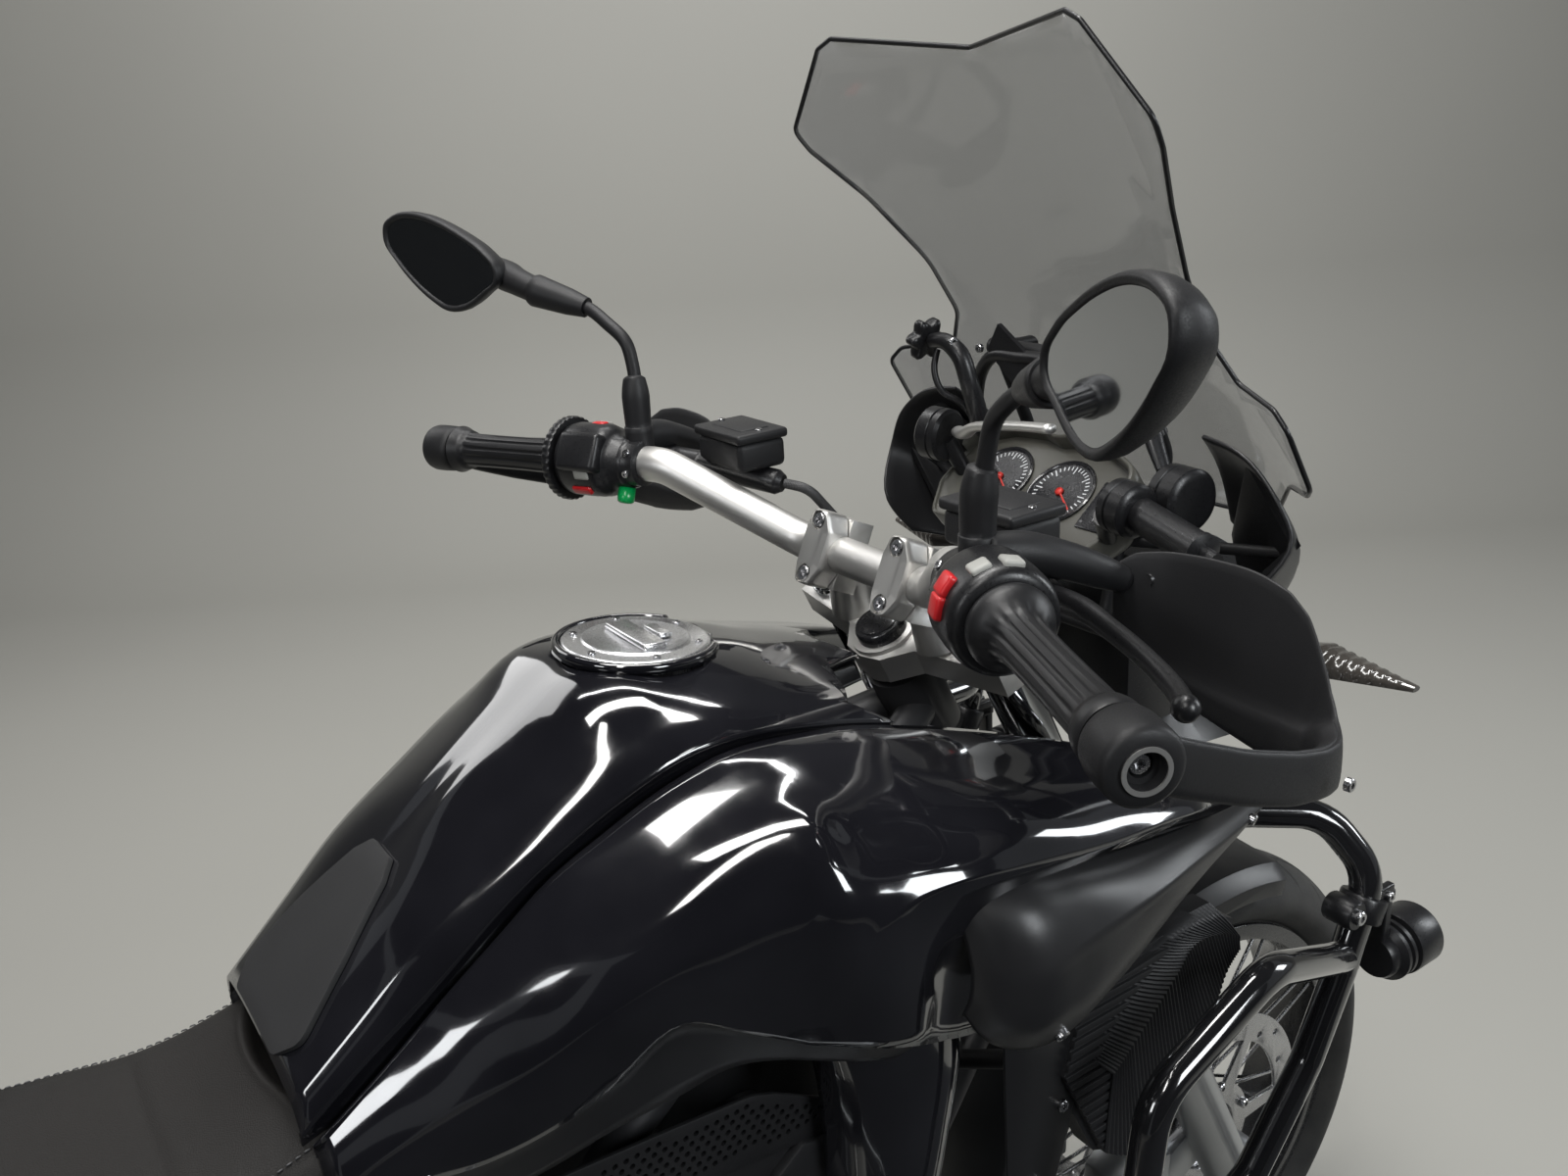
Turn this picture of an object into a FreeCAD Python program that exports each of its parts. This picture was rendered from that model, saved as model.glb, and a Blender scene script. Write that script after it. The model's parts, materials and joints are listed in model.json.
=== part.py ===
"""Adventure motorcycle with a flat-twin engine, standing on its centre stand.

Millimetres. +X points forward, +Y to the rider's left and +Z up. The origin is on the floor, midway
between the front of the front tyre and the end of the number-plate carrier.
Pieces of the steered front end are drawn in the steering frame: x forward and square to the steering
axis, z up along the axis, origin where the axis meets the floor.
"""
import FreeCAD
import Part
import math
import os
from FreeCAD import Vector as V

# Overall layout
LENGTH = 2207.0
WHEELBASE = 1507.0
RAKE = 25.5            # steering axis, degrees back from upright
TRAIL = 99.6
REAR_LIFT = 18.0       # the centre stand holds the rear tyre this far off the floor

# Wheels
FRONT_TYRE_R = 322.0
FRONT_TYRE_W = 120.0
FRONT_RIM_R = 241.0
FRONT_RIM_W = 80.0
REAR_TYRE_R = 318.0
REAR_TYRE_W = 170.0
REAR_RIM_R = 216.0
REAR_RIM_W = 122.0
RIM_WALL = 9.0
RIM_FLANGE = 10.0
SPOKE_R = 2.3
SPOKE_PAIRS = 10       # crossing pairs on each side of a wheel
AXLE_R = 12.5
RUNNING_GAP = 0.05     # radial clearance of a shaft in its bearing
SEAT_GAP = 0.3         # between pieces that are bolted together
MOVING_GAP = 5.0       # between pieces that move past each other

# Brakes
DISC_R = 152.5
DISC_BAND = 34.0
DISC_T = 4.5
DISC_Y = 64.0
REAR_DISC_R = 138.0
REAR_DISC_Y = 72.0

# Fork, along the steering axis
FORK_Y = 106.0
FORK_X = 30.0
SLIDER_R = 27.0
SLIDER_TOP = 745.0
STANCHION_R = 20.5
BRIDGE_Z = (700.0, 735.0)
BALL_PIN_R = 9.0
YOKE_Z = (1112.0, 1138.0)
STEM_R = 14.0
STEM_FOOT = 1046.0

# Handlebar, in the bike's frame
BAR_R = 16.0
BAR_END_R = 11.0
BAR_CENTRE = V(376.5, 0, 1092)
BAR_KNEE_Y = 86.0
BAR_ELBOW = V(300, 195, 1157)
BAR_TIP = V(191, 450, 1150)
BAR_BEND_R = 44.0
BAR_STEP_Y = 223.0      # the bar is thinner from here to its end
CLAMP_Y = 52.0
CLAMP_W = 34.0
GRIP_R = 17.0
GRIP_Y = (302.0, 424.0)
SWITCH_Y = (240.0, 290.0)
SWITCH_R = 36.0
HOUSING_R = 24.0

# Engine and running gear
ENGINE_X = (-150.0, 300.0)
ENGINE_Z = (205.0, 560.0)
ENGINE_HALF_W = 118.0
CYLINDER_Z = 450.0
CYLINDER_X = (175.0, 150.0)     # left, right: the crank offsets them
HEAD_OUT = 362.0
STAND_PIVOT = V(-95, 0, 218)
STAND_PIN_R = 15.0
STAND_HALF_W = 128.0
STAND_FOOT = V(-72, 158, 0)
SIDE_PIVOT = V(0, 172, 232)
SIDE_AXIS = V(0.03, 0.797, 0.604)
SIDE_FOLDED = V(-260, 25, -20)
CRASH_TUBE_R = 14.0
FRAME_TUBE_R = 16.0
SUBFRAME_TUBE_R = 13.0

# Body
CAP_R = 56.0
CAP_T = 9.0
CAP_CENTRE = V(157, 0, 1087)
CAP_TILT = 6.0         # the filler leans forward
FILLER_R = 40.0
FILLER_DEPTH = 70.0
SEAM_GAP = 0.4
LAMP_BACK = 588.0
SCREEN_T = 4.0
SCREEN_R = 380.0       # plan curvature
SCREEN_SLOPE = 0.64    # forward run for each unit of drop
SCREEN_TOP = V(495, 0, 1490)

FRONT_X = LENGTH / 2 - FRONT_TYRE_R
REAR_X = FRONT_X - WHEELBASE
FRONT_AXLE = V(FRONT_X, 0, FRONT_TYRE_R)
REAR_AXLE = V(REAR_X, 0, REAR_TYRE_R + REAR_LIFT)
AXIS_FOOT = V(FRONT_X + TRAIL, 0, 0)
COS_RAKE = math.cos(math.radians(RAKE))
SIN_RAKE = math.sin(math.radians(RAKE))
FORWARD = V(COS_RAKE, 0, SIN_RAKE)
UP_AXIS = V(-SIN_RAKE, 0, COS_RAKE)
Y = V(0, 1, 0)
X = V(1, 0, 0)
Z = V(0, 0, 1)


# Drawing helpers
def in_steering(point):
    """The steering-frame coordinates of a point of the bike."""
    d = point - AXIS_FOOT
    return V(d.dot(FORWARD), d.y, d.dot(UP_AXIS))


def steered(shape):
    """A shape drawn in the steering frame, set in the bike."""
    placed = shape.copy()
    placed.Placement = FreeCAD.Placement(AXIS_FOOT, FreeCAD.Rotation(Y, -RAKE)).multiply(placed.Placement)
    return placed


def flip(point):
    return V(point.x, -point.y, point.z)


def mirrored(shape):
    return shape.mirror(V(0, 0, 0), Y)


def pair(shape):
    """The left piece and its mirror image, as two solids."""
    return Part.makeCompound([shape, mirrored(shape)])


def fuse(*shapes):
    return shapes[0].fuse(list(shapes[1:])).removeSplitter()


def rod(a, b, r):
    return Part.makeCylinder(r, (b - a).Length, a, b - a)


def cone(a, b, ra, rb):
    return Part.makeCone(ra, rb, (b - a).Length, a, b - a)


def block(x0, x1, y0, y1, z0, z1):
    return Part.makeBox(x1 - x0, y1 - y0, z1 - z0, V(x0, y0, z0))


def loop(points):
    return Part.makePolygon(list(points) + [points[0]])


def slab(points, thickness):
    """A flat outline of 3-D points thickened along a vector."""
    return Part.Face(loop(points)).extrude(thickness)


def side_slab(outline_xz, y0, y1):
    return slab([V(x, y0, z) for x, z in outline_xz], V(0, y1 - y0, 0))


def plan_slab(outline_xy, z0, z1):
    return slab([V(x, y, z0) for x, y in outline_xy], V(0, 0, z1 - z0))


def front_slab(outline_yz, x0, x1):
    return slab([V(x0, y, z) for y, z in outline_yz], V(x1 - x0, 0, 0))


def path(points, bend):
    """Straight runs joined by tangent arcs of radius bend, or less where a run is short."""
    edges = []
    start = points[0]
    for i in range(1, len(points) - 1):
        before, corner, after = points[i - 1], points[i], points[i + 1]
        a = (before - corner).normalize()
        b = (after - corner).normalize()
        half = (math.pi - a.getAngle(b)) / 2
        room = 0.45 * min((before - corner).Length, (after - corner).Length)
        cut = min(bend * math.tan(half), room)
        p, q = corner + a * cut, corner + b * cut
        radius = cut / math.tan(half)
        middle = (a + b).normalize()
        centre = corner + middle * math.hypot(radius, cut)
        edges.append(Part.LineSegment(start, p).toShape())
        edges.append(Part.Arc(p, centre - middle * radius, q).toShape())
        start = q
    edges.append(Part.LineSegment(start, points[-1]).toShape())
    return Part.Wire(edges)


def tube(points, r, bend=60.0):
    if len(points) == 2:
        return rod(points[0], points[1], r)
    spine = path(points, bend)
    section = Part.Wire(Part.makeCircle(r, points[0], points[1] - points[0]))
    return spine.makePipeShell([section], True, True)


def loft(sections):
    """A solid with flat-sided steps between closed outlines that have the same number of points."""
    return Part.makeLoft([loop(s) for s in sections], True, True)


def ring(centre, y0, y1, outer, inner):
    a, b = centre + Y * y0, centre + Y * y1
    return rod(a, b, outer).cut(rod(a, b, inner))


def turned(edges, centre, angle=360.0):
    """A section in (y, radius) turned about the wheel axis through centre."""
    face = Part.Face(Part.Wire(edges))
    face.translate(centre)
    return face.revolve(centre, Y, angle)


def section_point(y, r):
    return V(r, y, 0)


def line(a, b):
    return Part.LineSegment(a, b).toShape()


def arc(a, b, c):
    return Part.Arc(a, b, c).toShape()


def chain(points):
    return [line(points[i], points[i + 1]) for i in range(len(points) - 1)]


def save(name, shape):
    shape.exportStep(os.path.join("parts", name + ".step"))


# Wheels
def tyre(centre, radius, width, rim_r, rim_w):
    half, bead = width / 2, rim_w / 2
    wall = 12.0
    p = section_point
    toe, heel = p(bead - wall, rim_r), p(bead, rim_r)
    heel_top = p(bead, rim_r + RIM_FLANGE + 1)
    bulge = p(half, rim_r + 0.42 * (radius - rim_r))
    shoulder = p(half - 9, radius - 26)
    inner = [p(half - wall, rim_r + 0.42 * (radius - rim_r)), p(half - wall - 12, radius - 36), p(0, radius - wall)]

    def other(q):
        return V(q.x, -q.y, q.z)

    edges = [line(toe, heel), line(heel, heel_top), arc(heel_top, bulge, shoulder),
             arc(shoulder, p(0, radius), other(shoulder)), arc(other(shoulder), other(bulge), other(heel_top)),
             line(other(heel_top), other(heel)), line(other(heel), other(toe))]
    edges += chain([other(toe), other(inner[0]), other(inner[1]), inner[2], inner[1], inner[0], toe])
    return turned(edges, centre)


def rim(centre, rim_r, rim_w):
    bead = rim_w / 2
    lip = 6.0
    p = section_point
    half = [p(0, rim_r), p(bead + SEAT_GAP, rim_r), p(bead + SEAT_GAP, rim_r + RIM_FLANGE),
            p(bead + lip, rim_r + RIM_FLANGE), p(bead + lip, rim_r - RIM_WALL), p(bead - 8, rim_r - RIM_WALL),
            p(bead - 16, rim_r - RIM_WALL - 3), p(0, rim_r - RIM_WALL - 3)]
    other = [V(q.x, -q.y, q.z) for q in reversed(half[1:-1])]
    return turned(chain(half + other + [half[0]]), centre)


def spokes(centre, flange_r, flange_y, rim_r, rim_w, offset=0.0):
    """Crossed spokes from the hub's flanges to the ledges at the rim's edges."""
    seat_r = rim_r - RIM_WALL - SEAT_GAP - 1.0
    seat_y = rim_w / 2 - 1.0
    made = []
    pitch = 2 * math.pi / SPOKE_PAIRS
    for side in (1, -1):
        for i in range(SPOKE_PAIRS):
            for lean in (1, -1):
                at_rim = pitch * (i + 0.25 * side) + lean * 0.045
                at_hub = at_rim + lean * 0.42
                inner = centre + V(flange_r * math.cos(at_hub), side * flange_y + offset, flange_r * math.sin(at_hub))
                outer = centre + V(seat_r * math.cos(at_rim), side * seat_y, seat_r * math.sin(at_rim))
                made.append(rod(inner, outer, SPOKE_R))
    return made


def front_hub():
    flange_y, flange_r, barrel_r = 30.0, 50.0, 30.0
    disc_seat = DISC_Y - DISC_T / 2 - SEAT_GAP
    body = [ring(FRONT_AXLE, -disc_seat, disc_seat, barrel_r, AXLE_R + RUNNING_GAP)]
    for side in (1, -1):
        a, b = sorted((side * (flange_y - 4), side * (flange_y + 4)))
        body.append(ring(FRONT_AXLE, a, b, flange_r + 5, barrel_r - 2))
        a, b = sorted((side * (disc_seat - 12), side * disc_seat))
        body.append(ring(FRONT_AXLE, a, b, 46.0, barrel_r - 2))
    return fuse(*body, *spokes(FRONT_AXLE, flange_r, flange_y, FRONT_RIM_R, FRONT_RIM_W))


def disc(centre, y, outer, bolt_r, arms):
    """A drilled brake disc on its carrier."""
    y0, y1 = y - DISC_T / 2, y + DISC_T / 2
    band = ring(centre, y0, y1, outer, outer - DISC_BAND)
    carrier = ring(centre, y0, y1, bolt_r + 10, bolt_r - 14)
    pieces = [band, carrier]
    for i in range(arms):
        a = 2 * math.pi * i / arms
        across = V(-math.sin(a), 0, math.cos(a))
        out = V(math.cos(a), 0, math.sin(a))
        root, tip = centre + out * (bolt_r - 4), centre + out * (outer - DISC_BAND + 4)
        outline = [root - across * 11, root + across * 11, tip + across * 7, tip - across * 7]
        pieces.append(slab([q + Y * y0 for q in outline], Y * DISC_T))
    solid = fuse(*pieces)
    holes = []
    for i in range(2 * arms):
        for step in (0, 1):
            a = 2 * math.pi * (i + 0.3 + 0.4 * step) / (2 * arms)
            r = outer - DISC_BAND * (0.3 + 0.4 * step)
            at = centre + V(r * math.cos(a), 0, r * math.sin(a))
            holes.append(rod(at + Y * (y0 - 1), at + Y * (y1 + 1), 4.0))
    return solid.cut(holes)


# Steered front end
def fork_sliders():
    """The lower legs with their bridge, its ball-joint socket, and the wheel spindle."""
    axle = in_steering(FRONT_AXLE)
    leg = rod(V(FORK_X, FORK_Y, axle.z - 22), V(FORK_X, FORK_Y, SLIDER_TOP), SLIDER_R)
    seal = rod(V(FORK_X, FORK_Y, SLIDER_TOP - 26), V(FORK_X, FORK_Y, SLIDER_TOP), SLIDER_R + 4)
    lug = rod(V(axle.x, FORK_Y - SLIDER_R, axle.z), V(axle.x, FORK_Y + SLIDER_R, axle.z), 25.0)
    hanger = block(-34, FORK_X - 10, 80, 94, axle.z + 40, axle.z + 88)
    left = fuse(leg, seal, lug, hanger)
    boss = rod(V(0, 0, BRIDGE_Z[0] - 8), V(0, 0, BRIDGE_Z[1]), 30.0)
    plan = [(-24, -18), (-24, 18), (14, FORK_Y - 22), (14, FORK_Y), (50, FORK_Y), (50, FORK_Y - 24), (34, 30)]
    plan += [(x, -y) for x, y in reversed(plan[2:])]
    bridge = plan_slab(plan, BRIDGE_Z[0], BRIDGE_Z[1])
    socket = rod(V(0, 0, BRIDGE_Z[1] - 28), V(0, 0, BRIDGE_Z[1] + 1), BALL_PIN_R + RUNNING_GAP)
    reach = FORK_Y + SLIDER_R
    spindle = rod(V(axle.x, -reach - 7, axle.z), V(axle.x, reach + 7, axle.z), AXLE_R)
    return steered(fuse(left, mirrored(left), boss, bridge, spindle).cut(socket))


def fork_stanchions():
    return steered(pair(rod(V(FORK_X, FORK_Y, SLIDER_TOP), V(FORK_X, FORK_Y, YOKE_Z[1] + 6), STANCHION_R)))


CLAMP_OUT = V(-0.65, 0, 0.76).normalize()       # towards the rider, in the steering frame
CLAMP_UP = V(0.76, 0, 0.65).normalize()


def clamp_half(n0, n1, bolt_faces):
    """One side of a handlebar clamp, as an outline across the bar."""
    centre = in_steering(BAR_CENTRE)
    reach, chamfer = 31.0, 9.0
    corners = [(n0, -reach), (n0, reach), (n1 - chamfer if bolt_faces else n1, reach),
               (n1, reach - chamfer if bolt_faces else reach), (n1, -reach + chamfer if bolt_faces else -reach),
               (n1 - chamfer if bolt_faces else n1, -reach)]
    corners = list(dict.fromkeys(corners))
    points = [centre + CLAMP_OUT * n + CLAMP_UP * t + Y * (CLAMP_Y - CLAMP_W / 2) for n, t in corners]
    bore = rod(centre, centre + Y * 120, BAR_R + 0.1)
    return slab(points, Y * CLAMP_W).cut(bore)


def top_yoke():
    centre = in_steering(BAR_CENTRE)
    plan = [(-30, 0), (-26, 22), (-4, 44), (8, FORK_Y + 26), (38, FORK_Y + 30), (58, FORK_Y + 8), (50, FORK_Y - 28),
            (22, 40), (26, 0)]
    plan += [(x, -y) for x, y in reversed(plan[1:-1])]
    plate = plan_slab(plan, YOKE_Z[0], YOKE_Z[1])
    boss = rod(V(0, 0, YOKE_Z[0] - 4), V(0, 0, YOKE_Z[1] + 4), 28.0)
    nut = rod(V(0, 0, YOKE_Z[1] + 4), V(0, 0, YOKE_Z[1] + 12), 20.0)
    stem = rod(V(0, 0, STEM_FOOT), V(0, 0, YOKE_Z[0]), STEM_R)
    risers = []
    for s in (1, -1):
        foot = V(14, s * (CLAMP_Y + 6), YOKE_Z[1] - 2)
        head = V(centre.x + 10, s * CLAMP_Y, centre.z - 14)
        risers.append(cone(foot, head, 21.0, 16.5))
    bore = rod(centre - Y * 90, centre + Y * 90, BAR_R + 0.1)
    seats = [clamp_half(-24, -0.6, False)]
    seats.append(mirrored(seats[0]))
    solid = fuse(plate, boss, nut, stem, *seats, *risers)
    legs = pair(rod(V(FORK_X, FORK_Y, YOKE_Z[0] - 1), V(FORK_X, FORK_Y, YOKE_Z[1] + 7), STANCHION_R + 0.05))
    return steered(solid.cut([bore, legs]))


def bar_clamps():
    return steered(pair(clamp_half(0.6, 24, True)))


def handlebar():
    step = on_grip(BAR_STEP_Y)
    half = [step, BAR_ELBOW, BAR_CENTRE + Y * BAR_KNEE_Y]
    spine = half + [flip(p) for p in reversed(half)]
    thin = [rod(side(step), side(BAR_TIP), BAR_END_R) for side in (lambda p: p, flip)]
    return fuse(tube(spine, BAR_R, BAR_BEND_R), *thin)


def on_grip(y, out=0.0):
    """A point of the left grip's axis at that y, or moved out from it, forward and level."""
    along = BAR_TIP - BAR_ELBOW
    point = BAR_ELBOW + along * ((y - BAR_ELBOW.y) / along.y)
    return point + V(along.y, -along.x, 0).normalize() * out


def sleeve(y0, y1, outer, inner=BAR_END_R):
    return rod(on_grip(y0), on_grip(y1), outer).cut(rod(on_grip(y0 - 1), on_grip(y1 + 1), inner + 0.1))


def grips():
    barrel = sleeve(GRIP_Y[0], GRIP_Y[1], GRIP_R)
    collar = cone(on_grip(GRIP_Y[0]), on_grip(GRIP_Y[0] + 14), 27.0, GRIP_R)
    collar = collar.cut(rod(on_grip(280), on_grip(340), BAR_END_R + 0.1))
    return pair(fuse(barrel, collar))


def switchgear():
    drum = sleeve(SWITCH_Y[0], SWITCH_Y[1], SWITCH_R)
    collar = sleeve(SWITCH_Y[1], GRIP_Y[0] - SEAT_GAP, 31.0)
    body = fuse(drum, collar)
    key = block(-12, 12, -9, 9, 0, 7)
    keys = []
    for turn, y in ((35, 252), (62, 272), (118, 262), (150, 250)):
        a = math.radians(turn)
        out = V(-math.cos(a), 0, math.sin(a))
        one = key.copy()
        one.Placement = FreeCAD.Placement(on_grip(y) + out * (SWITCH_R - 3), FreeCAD.Rotation(Z, out))
        keys.append(one.cut(rod(on_grip(200), on_grip(320), SWITCH_R - 0.5)))
    return pair(fuse(body, *keys))


MIRROR_FOOT = V(294, 226, 1188)
PUMP_ROOT = V(330, 236, 1150)
PUMP_END = V(384, 128, 1136)


def control_levers():
    """Master cylinders with their square reservoirs, the levers, and the mirror bosses."""
    band = rod(on_grip(BAR_STEP_Y + 1), on_grip(SWITCH_Y[0] - 2), 24.0)
    pump = rod(PUMP_ROOT, PUMP_END, 12.0)
    neck = rod(on_grip(229), V(334, 232, 1150), 11.0)
    pot = block(340, 394, 132, 208, 1150, 1186)
    lever = [V(332, 236, 1144), on_grip(300, 62), on_grip(360, 62), on_grip(402, 54)]
    blade = tube([p - Z * 6 for p in lever], 6.0, 80.0)
    boss = rod(V(MIRROR_FOOT.x, MIRROR_FOOT.y, 1150), MIRROR_FOOT, 12.0)
    knob = Part.makeSphere(8.0, lever[-1] - Z * 6)
    solid = fuse(band, neck, pump, pot, blade, boss, knob)
    bar = [rod(on_grip(190), on_grip(BAR_STEP_Y), BAR_R + 0.1), rod(on_grip(200), on_grip(300), BAR_END_R + 0.1)]
    return pair(solid.cut(bar))


def hand_guards():
    """A concave shield on an arm that comes forward from the bar end."""
    front = [(392, 268), (396, 330), (388, 400), (366, 446), (340, 462)]
    back = [(336, 457), (361, 441), (383, 398), (391, 329), (387, 267)]
    shape = [(255, 1128), (262, 1160), (300, 1170), (400, 1177), (432, 1168), (450, 1136), (480, 1122), (480, 1076),
             (440, 1066), (380, 1072), (330, 1090), (290, 1112)]
    shield = plan_slab(front + back, 1050, 1200).common(front_slab(shape, 330, 400))
    arm_steps = ((188, 454, 470, 1130, 1172), (300, 456, 472, 1088, 1142), (346, 448, 467, 1072, 1124),
                 (370, 430, 449, 1070, 1116))
    arm = loft([[V(x, y0, z0), V(x, y1, z0), V(x, y1, z1), V(x, y0, z1)] for x, y0, y1, z0, z1 in arm_steps])
    housing = rod(on_grip(GRIP_Y[1] + SEAT_GAP), on_grip(462), HOUSING_R)
    bore = rod(on_grip(GRIP_Y[1]), on_grip(450.5), BAR_END_R + 0.1)
    return pair(fuse(shield, arm, housing).cut(bore))


MIRROR = {"outer": V(181, 476, 1352), "low": V(199, 418, 1288), "top": V(193, 436, 1374), "inner": V(242, 334, 1316)}


def mirror_outline(grow, back):
    """The glass outline as points, grown from its centre and moved forward of the glass."""
    centre = (MIRROR["outer"] + MIRROR["low"] + MIRROR["top"] + MIRROR["inner"]) * 0.25
    side = (MIRROR["inner"] - MIRROR["outer"]).normalize()
    tall = (MIRROR["top"] - MIRROR["low"])
    normal = side.cross(tall).normalize()
    if normal.x < 0:
        normal = normal * -1
    tall = normal.cross(side) * (1 if normal.cross(side).z > 0 else -1)
    # across (towards the rider) and up, from the middle of the glass
    shape = [(-76, 4), (-66, 34), (-34, 46), (12, 42), (52, 20), (74, -8), (58, -28), (18, -44), (-20, -48), (-52, -34),
             (-70, -14)]
    return [centre + side * (a * grow) + tall * (b * grow) + normal * back for a, b in shape], normal, centre, side


def mirrors():
    rear, _, centre, side = mirror_outline(1.0, 0.0)
    shell = loft([mirror_outline(1.07, -1.5)[0], mirror_outline(1.07, 10)[0], mirror_outline(0.9, 26)[0],
                  mirror_outline(0.5, 38)[0]])
    recess = loft([mirror_outline(0.985, -3)[0], mirror_outline(0.985, 3.5)[0]])
    joint = V(282, 282, 1292)
    neck_root = centre + side * 62 + mirror_outline(1.0, 0.0)[1] * 14
    neck = cone(joint, neck_root, 9.0, 15.0)
    foot = MIRROR_FOOT + Z * SEAT_GAP
    stem = tube([foot + Z * 2, V(297, 232, 1256), joint, joint + (neck_root - joint) * 0.15], 6.0, 22.0)
    boot = cone(foot, foot + Z * 42, 12.0, 9.5)
    return pair(fuse(shell, neck, stem, boot).cut(recess))


def mirror_glasses():
    glass = loft([mirror_outline(0.975, 0.5)[0], mirror_outline(0.975, 3.2)[0]])
    return pair(glass)


def calipers():
    """A four-piston block over the rear edge of each front disc."""
    axle = in_steering(FRONT_AXLE)
    slot = DISC_T / 2 + MOVING_GAP
    mid = math.radians(150)
    out = V(math.cos(mid), 0, math.sin(mid))
    across = V(-math.sin(mid), 0, math.cos(mid))
    corners = [(108, -50), (108, 50), (160, 56), (184, 38), (184, -38), (160, -56)]
    body = slab([axle + out * r + across * t + Y * 46 for r, t in corners], Y * 52)
    gap = rod(axle + Y * (DISC_Y - slot), axle + Y * (DISC_Y + slot), DISC_R + MOVING_GAP)
    return steered(pair(body.cut(gap).cut(block(-34.3, 60, 79.7, 94.3, axle.z + 39.7, axle.z + 88.3))))


def front_fender():
    clear, sheet, half, drop = 11.0, 3.5, 70.0, 34.0
    r = FRONT_TYRE_R + clear
    p = section_point
    shoulder_r, shoulder_y = r - 16, half - 12
    outer = [p(half + sheet, r - drop), p(half + sheet, shoulder_r), p(shoulder_y, r + sheet - 4), p(0, r + sheet)]
    inner = [p(0, r), p(shoulder_y - 2, r - 4.5), p(half, shoulder_r - 1), p(half, r - drop)]
    right = [V(q.x, -q.y, q.z) for q in reversed(outer[:-1])]
    right_inner = [V(q.x, -q.y, q.z) for q in reversed(inner[1:])]
    strip = turned(chain(outer + right + right_inner + inner + [outer[0]]), FRONT_AXLE, 112)
    strip.rotate(FRONT_AXLE, Y, 112 - 184)
    strip.rotate(FRONT_AXLE, Y, -112)
    axle = in_steering(FRONT_AXLE)
    stay = block(FORK_X - 14, FORK_X + 14, half + sheet - 1, FORK_Y - SLIDER_R - SEAT_GAP, axle.z + 270, axle.z + 300)
    return fuse(strip, steered(stay), steered(mirrored(stay)))


def hoses():
    """Brake and clutch hoses from the master cylinders, down in front of the fork legs to its bridge."""
    pump, knee = in_steering(PUMP_END), in_steering(PUMP_END * 1.2 - PUMP_ROOT * 0.2)
    front = FORK_X + 38
    route = [pump + (knee - pump) * 0.02, knee, V(front, FORK_Y - 2, YOKE_Z[1] + 16), V(front, FORK_Y - 2, 800),
             V(FORK_X + 10, 70, BRIDGE_Z[1] + 34), V(FORK_X + 10, 70, BRIDGE_Z[1] + SEAT_GAP)]
    hose = tube(route, 4.5, 40.0)
    return steered(pair(hose))


# Frame, engine and running gear
SHOCK_TOP = V(367.4, 0, 938.5)
SHOCK_FOOT = V(470, 0, 640)


def main_frame():
    """Steering-head housing and the tubes down to the engine."""
    head_top = V(0, 0, YOKE_Z[0] - 4 - MOVING_GAP)
    head = steered(rod(V(0, 0, 1030), head_top, 30.0))
    top = AXIS_FOOT + UP_AXIS * 1066
    runs = [
        [top + V(-6, 14, -6), V(250, 92, 900), V(60, 104, 760), V(-60, 104, 640), V(-118, 104, 520)],
        [top + V(-8, 24, -22), V(330, 80, 800), V(290, 92, 690), V(258, 100, 575)],
        [V(250, 92, 900), V(290, 92, 690)],
        [V(60, 104, 760), V(120, 104, 575)],
    ]
    left = [tube(run, FRAME_TUBE_R, 70.0) for run in runs]
    ties = [rod(SHOCK_TOP - Y * 50, SHOCK_TOP + Y * 50, 14.0), rod(V(-60, -104, 640), V(-60, 104, 640), 14.0)]
    solid = fuse(head, *left, *[mirrored(s) for s in left], *ties)
    bore = steered(rod(V(0, 0, STEM_FOOT - 2), V(0, 0, YOKE_Z[0]), STEM_R + RUNNING_GAP))
    return solid.cut([bore, engine_space()])


def rear_subframe():
    """Seat rails, bolted to the engine and the main frame."""
    left = [
        tube([V(-20, 104, 680), V(-180, 110, 768), V(-420, 116, 768), V(-470, 116, 800), V(-640, 110, 826),
              V(-860, 92, 838)], SUBFRAME_TUBE_R, 60.0),
        tube([V(-99, 104, 560), V(-330, 116, 640), V(-640, 112, 812)], SUBFRAME_TUBE_R, 80.0),
    ]
    ties = [rod(V(x, -y, z), V(x, y, z), SUBFRAME_TUBE_R) for x, y, z in
            ((-180, 110, 768), (-420, 116, 768), (-760, 100, 832.5), (-858, 92, 838))]
    solid = fuse(*left, *[mirrored(s) for s in left], *ties).cut([engine_space(), main_frame()])
    return max(solid.Solids, key=lambda s: s.Volume)


def telelever():
    """The wishbone that carries the fork's ball joint, and its pin."""
    ball = AXIS_FOOT + UP_AXIS * (BRIDGE_Z[1] + MOVING_GAP)
    tip = ball + UP_AXIS * 12
    pin = rod(ball - UP_AXIS * (MOVING_GAP + 24), ball + UP_AXIS * 4, BALL_PIN_R)
    cup = rod(ball, ball + UP_AXIS * 26, 22.0)
    bush_r = 15.0
    pivot = V(ENGINE_X[1] + bush_r + SEAT_GAP, 0, 540)
    legs = [tube([tip + V(-8, 0, 0), SHOCK_FOOT + Y * s * 44, pivot + Y * s * 96], 14.0, 60.0) for s in (1, -1)]
    bush = rod(pivot - Y * 104, pivot + Y * 104, bush_r)
    saddle = rod(SHOCK_FOOT - Y * 44, SHOCK_FOOT + Y * 44, 14.0)
    return fuse(pin, cup, *legs, bush, saddle)


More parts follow.
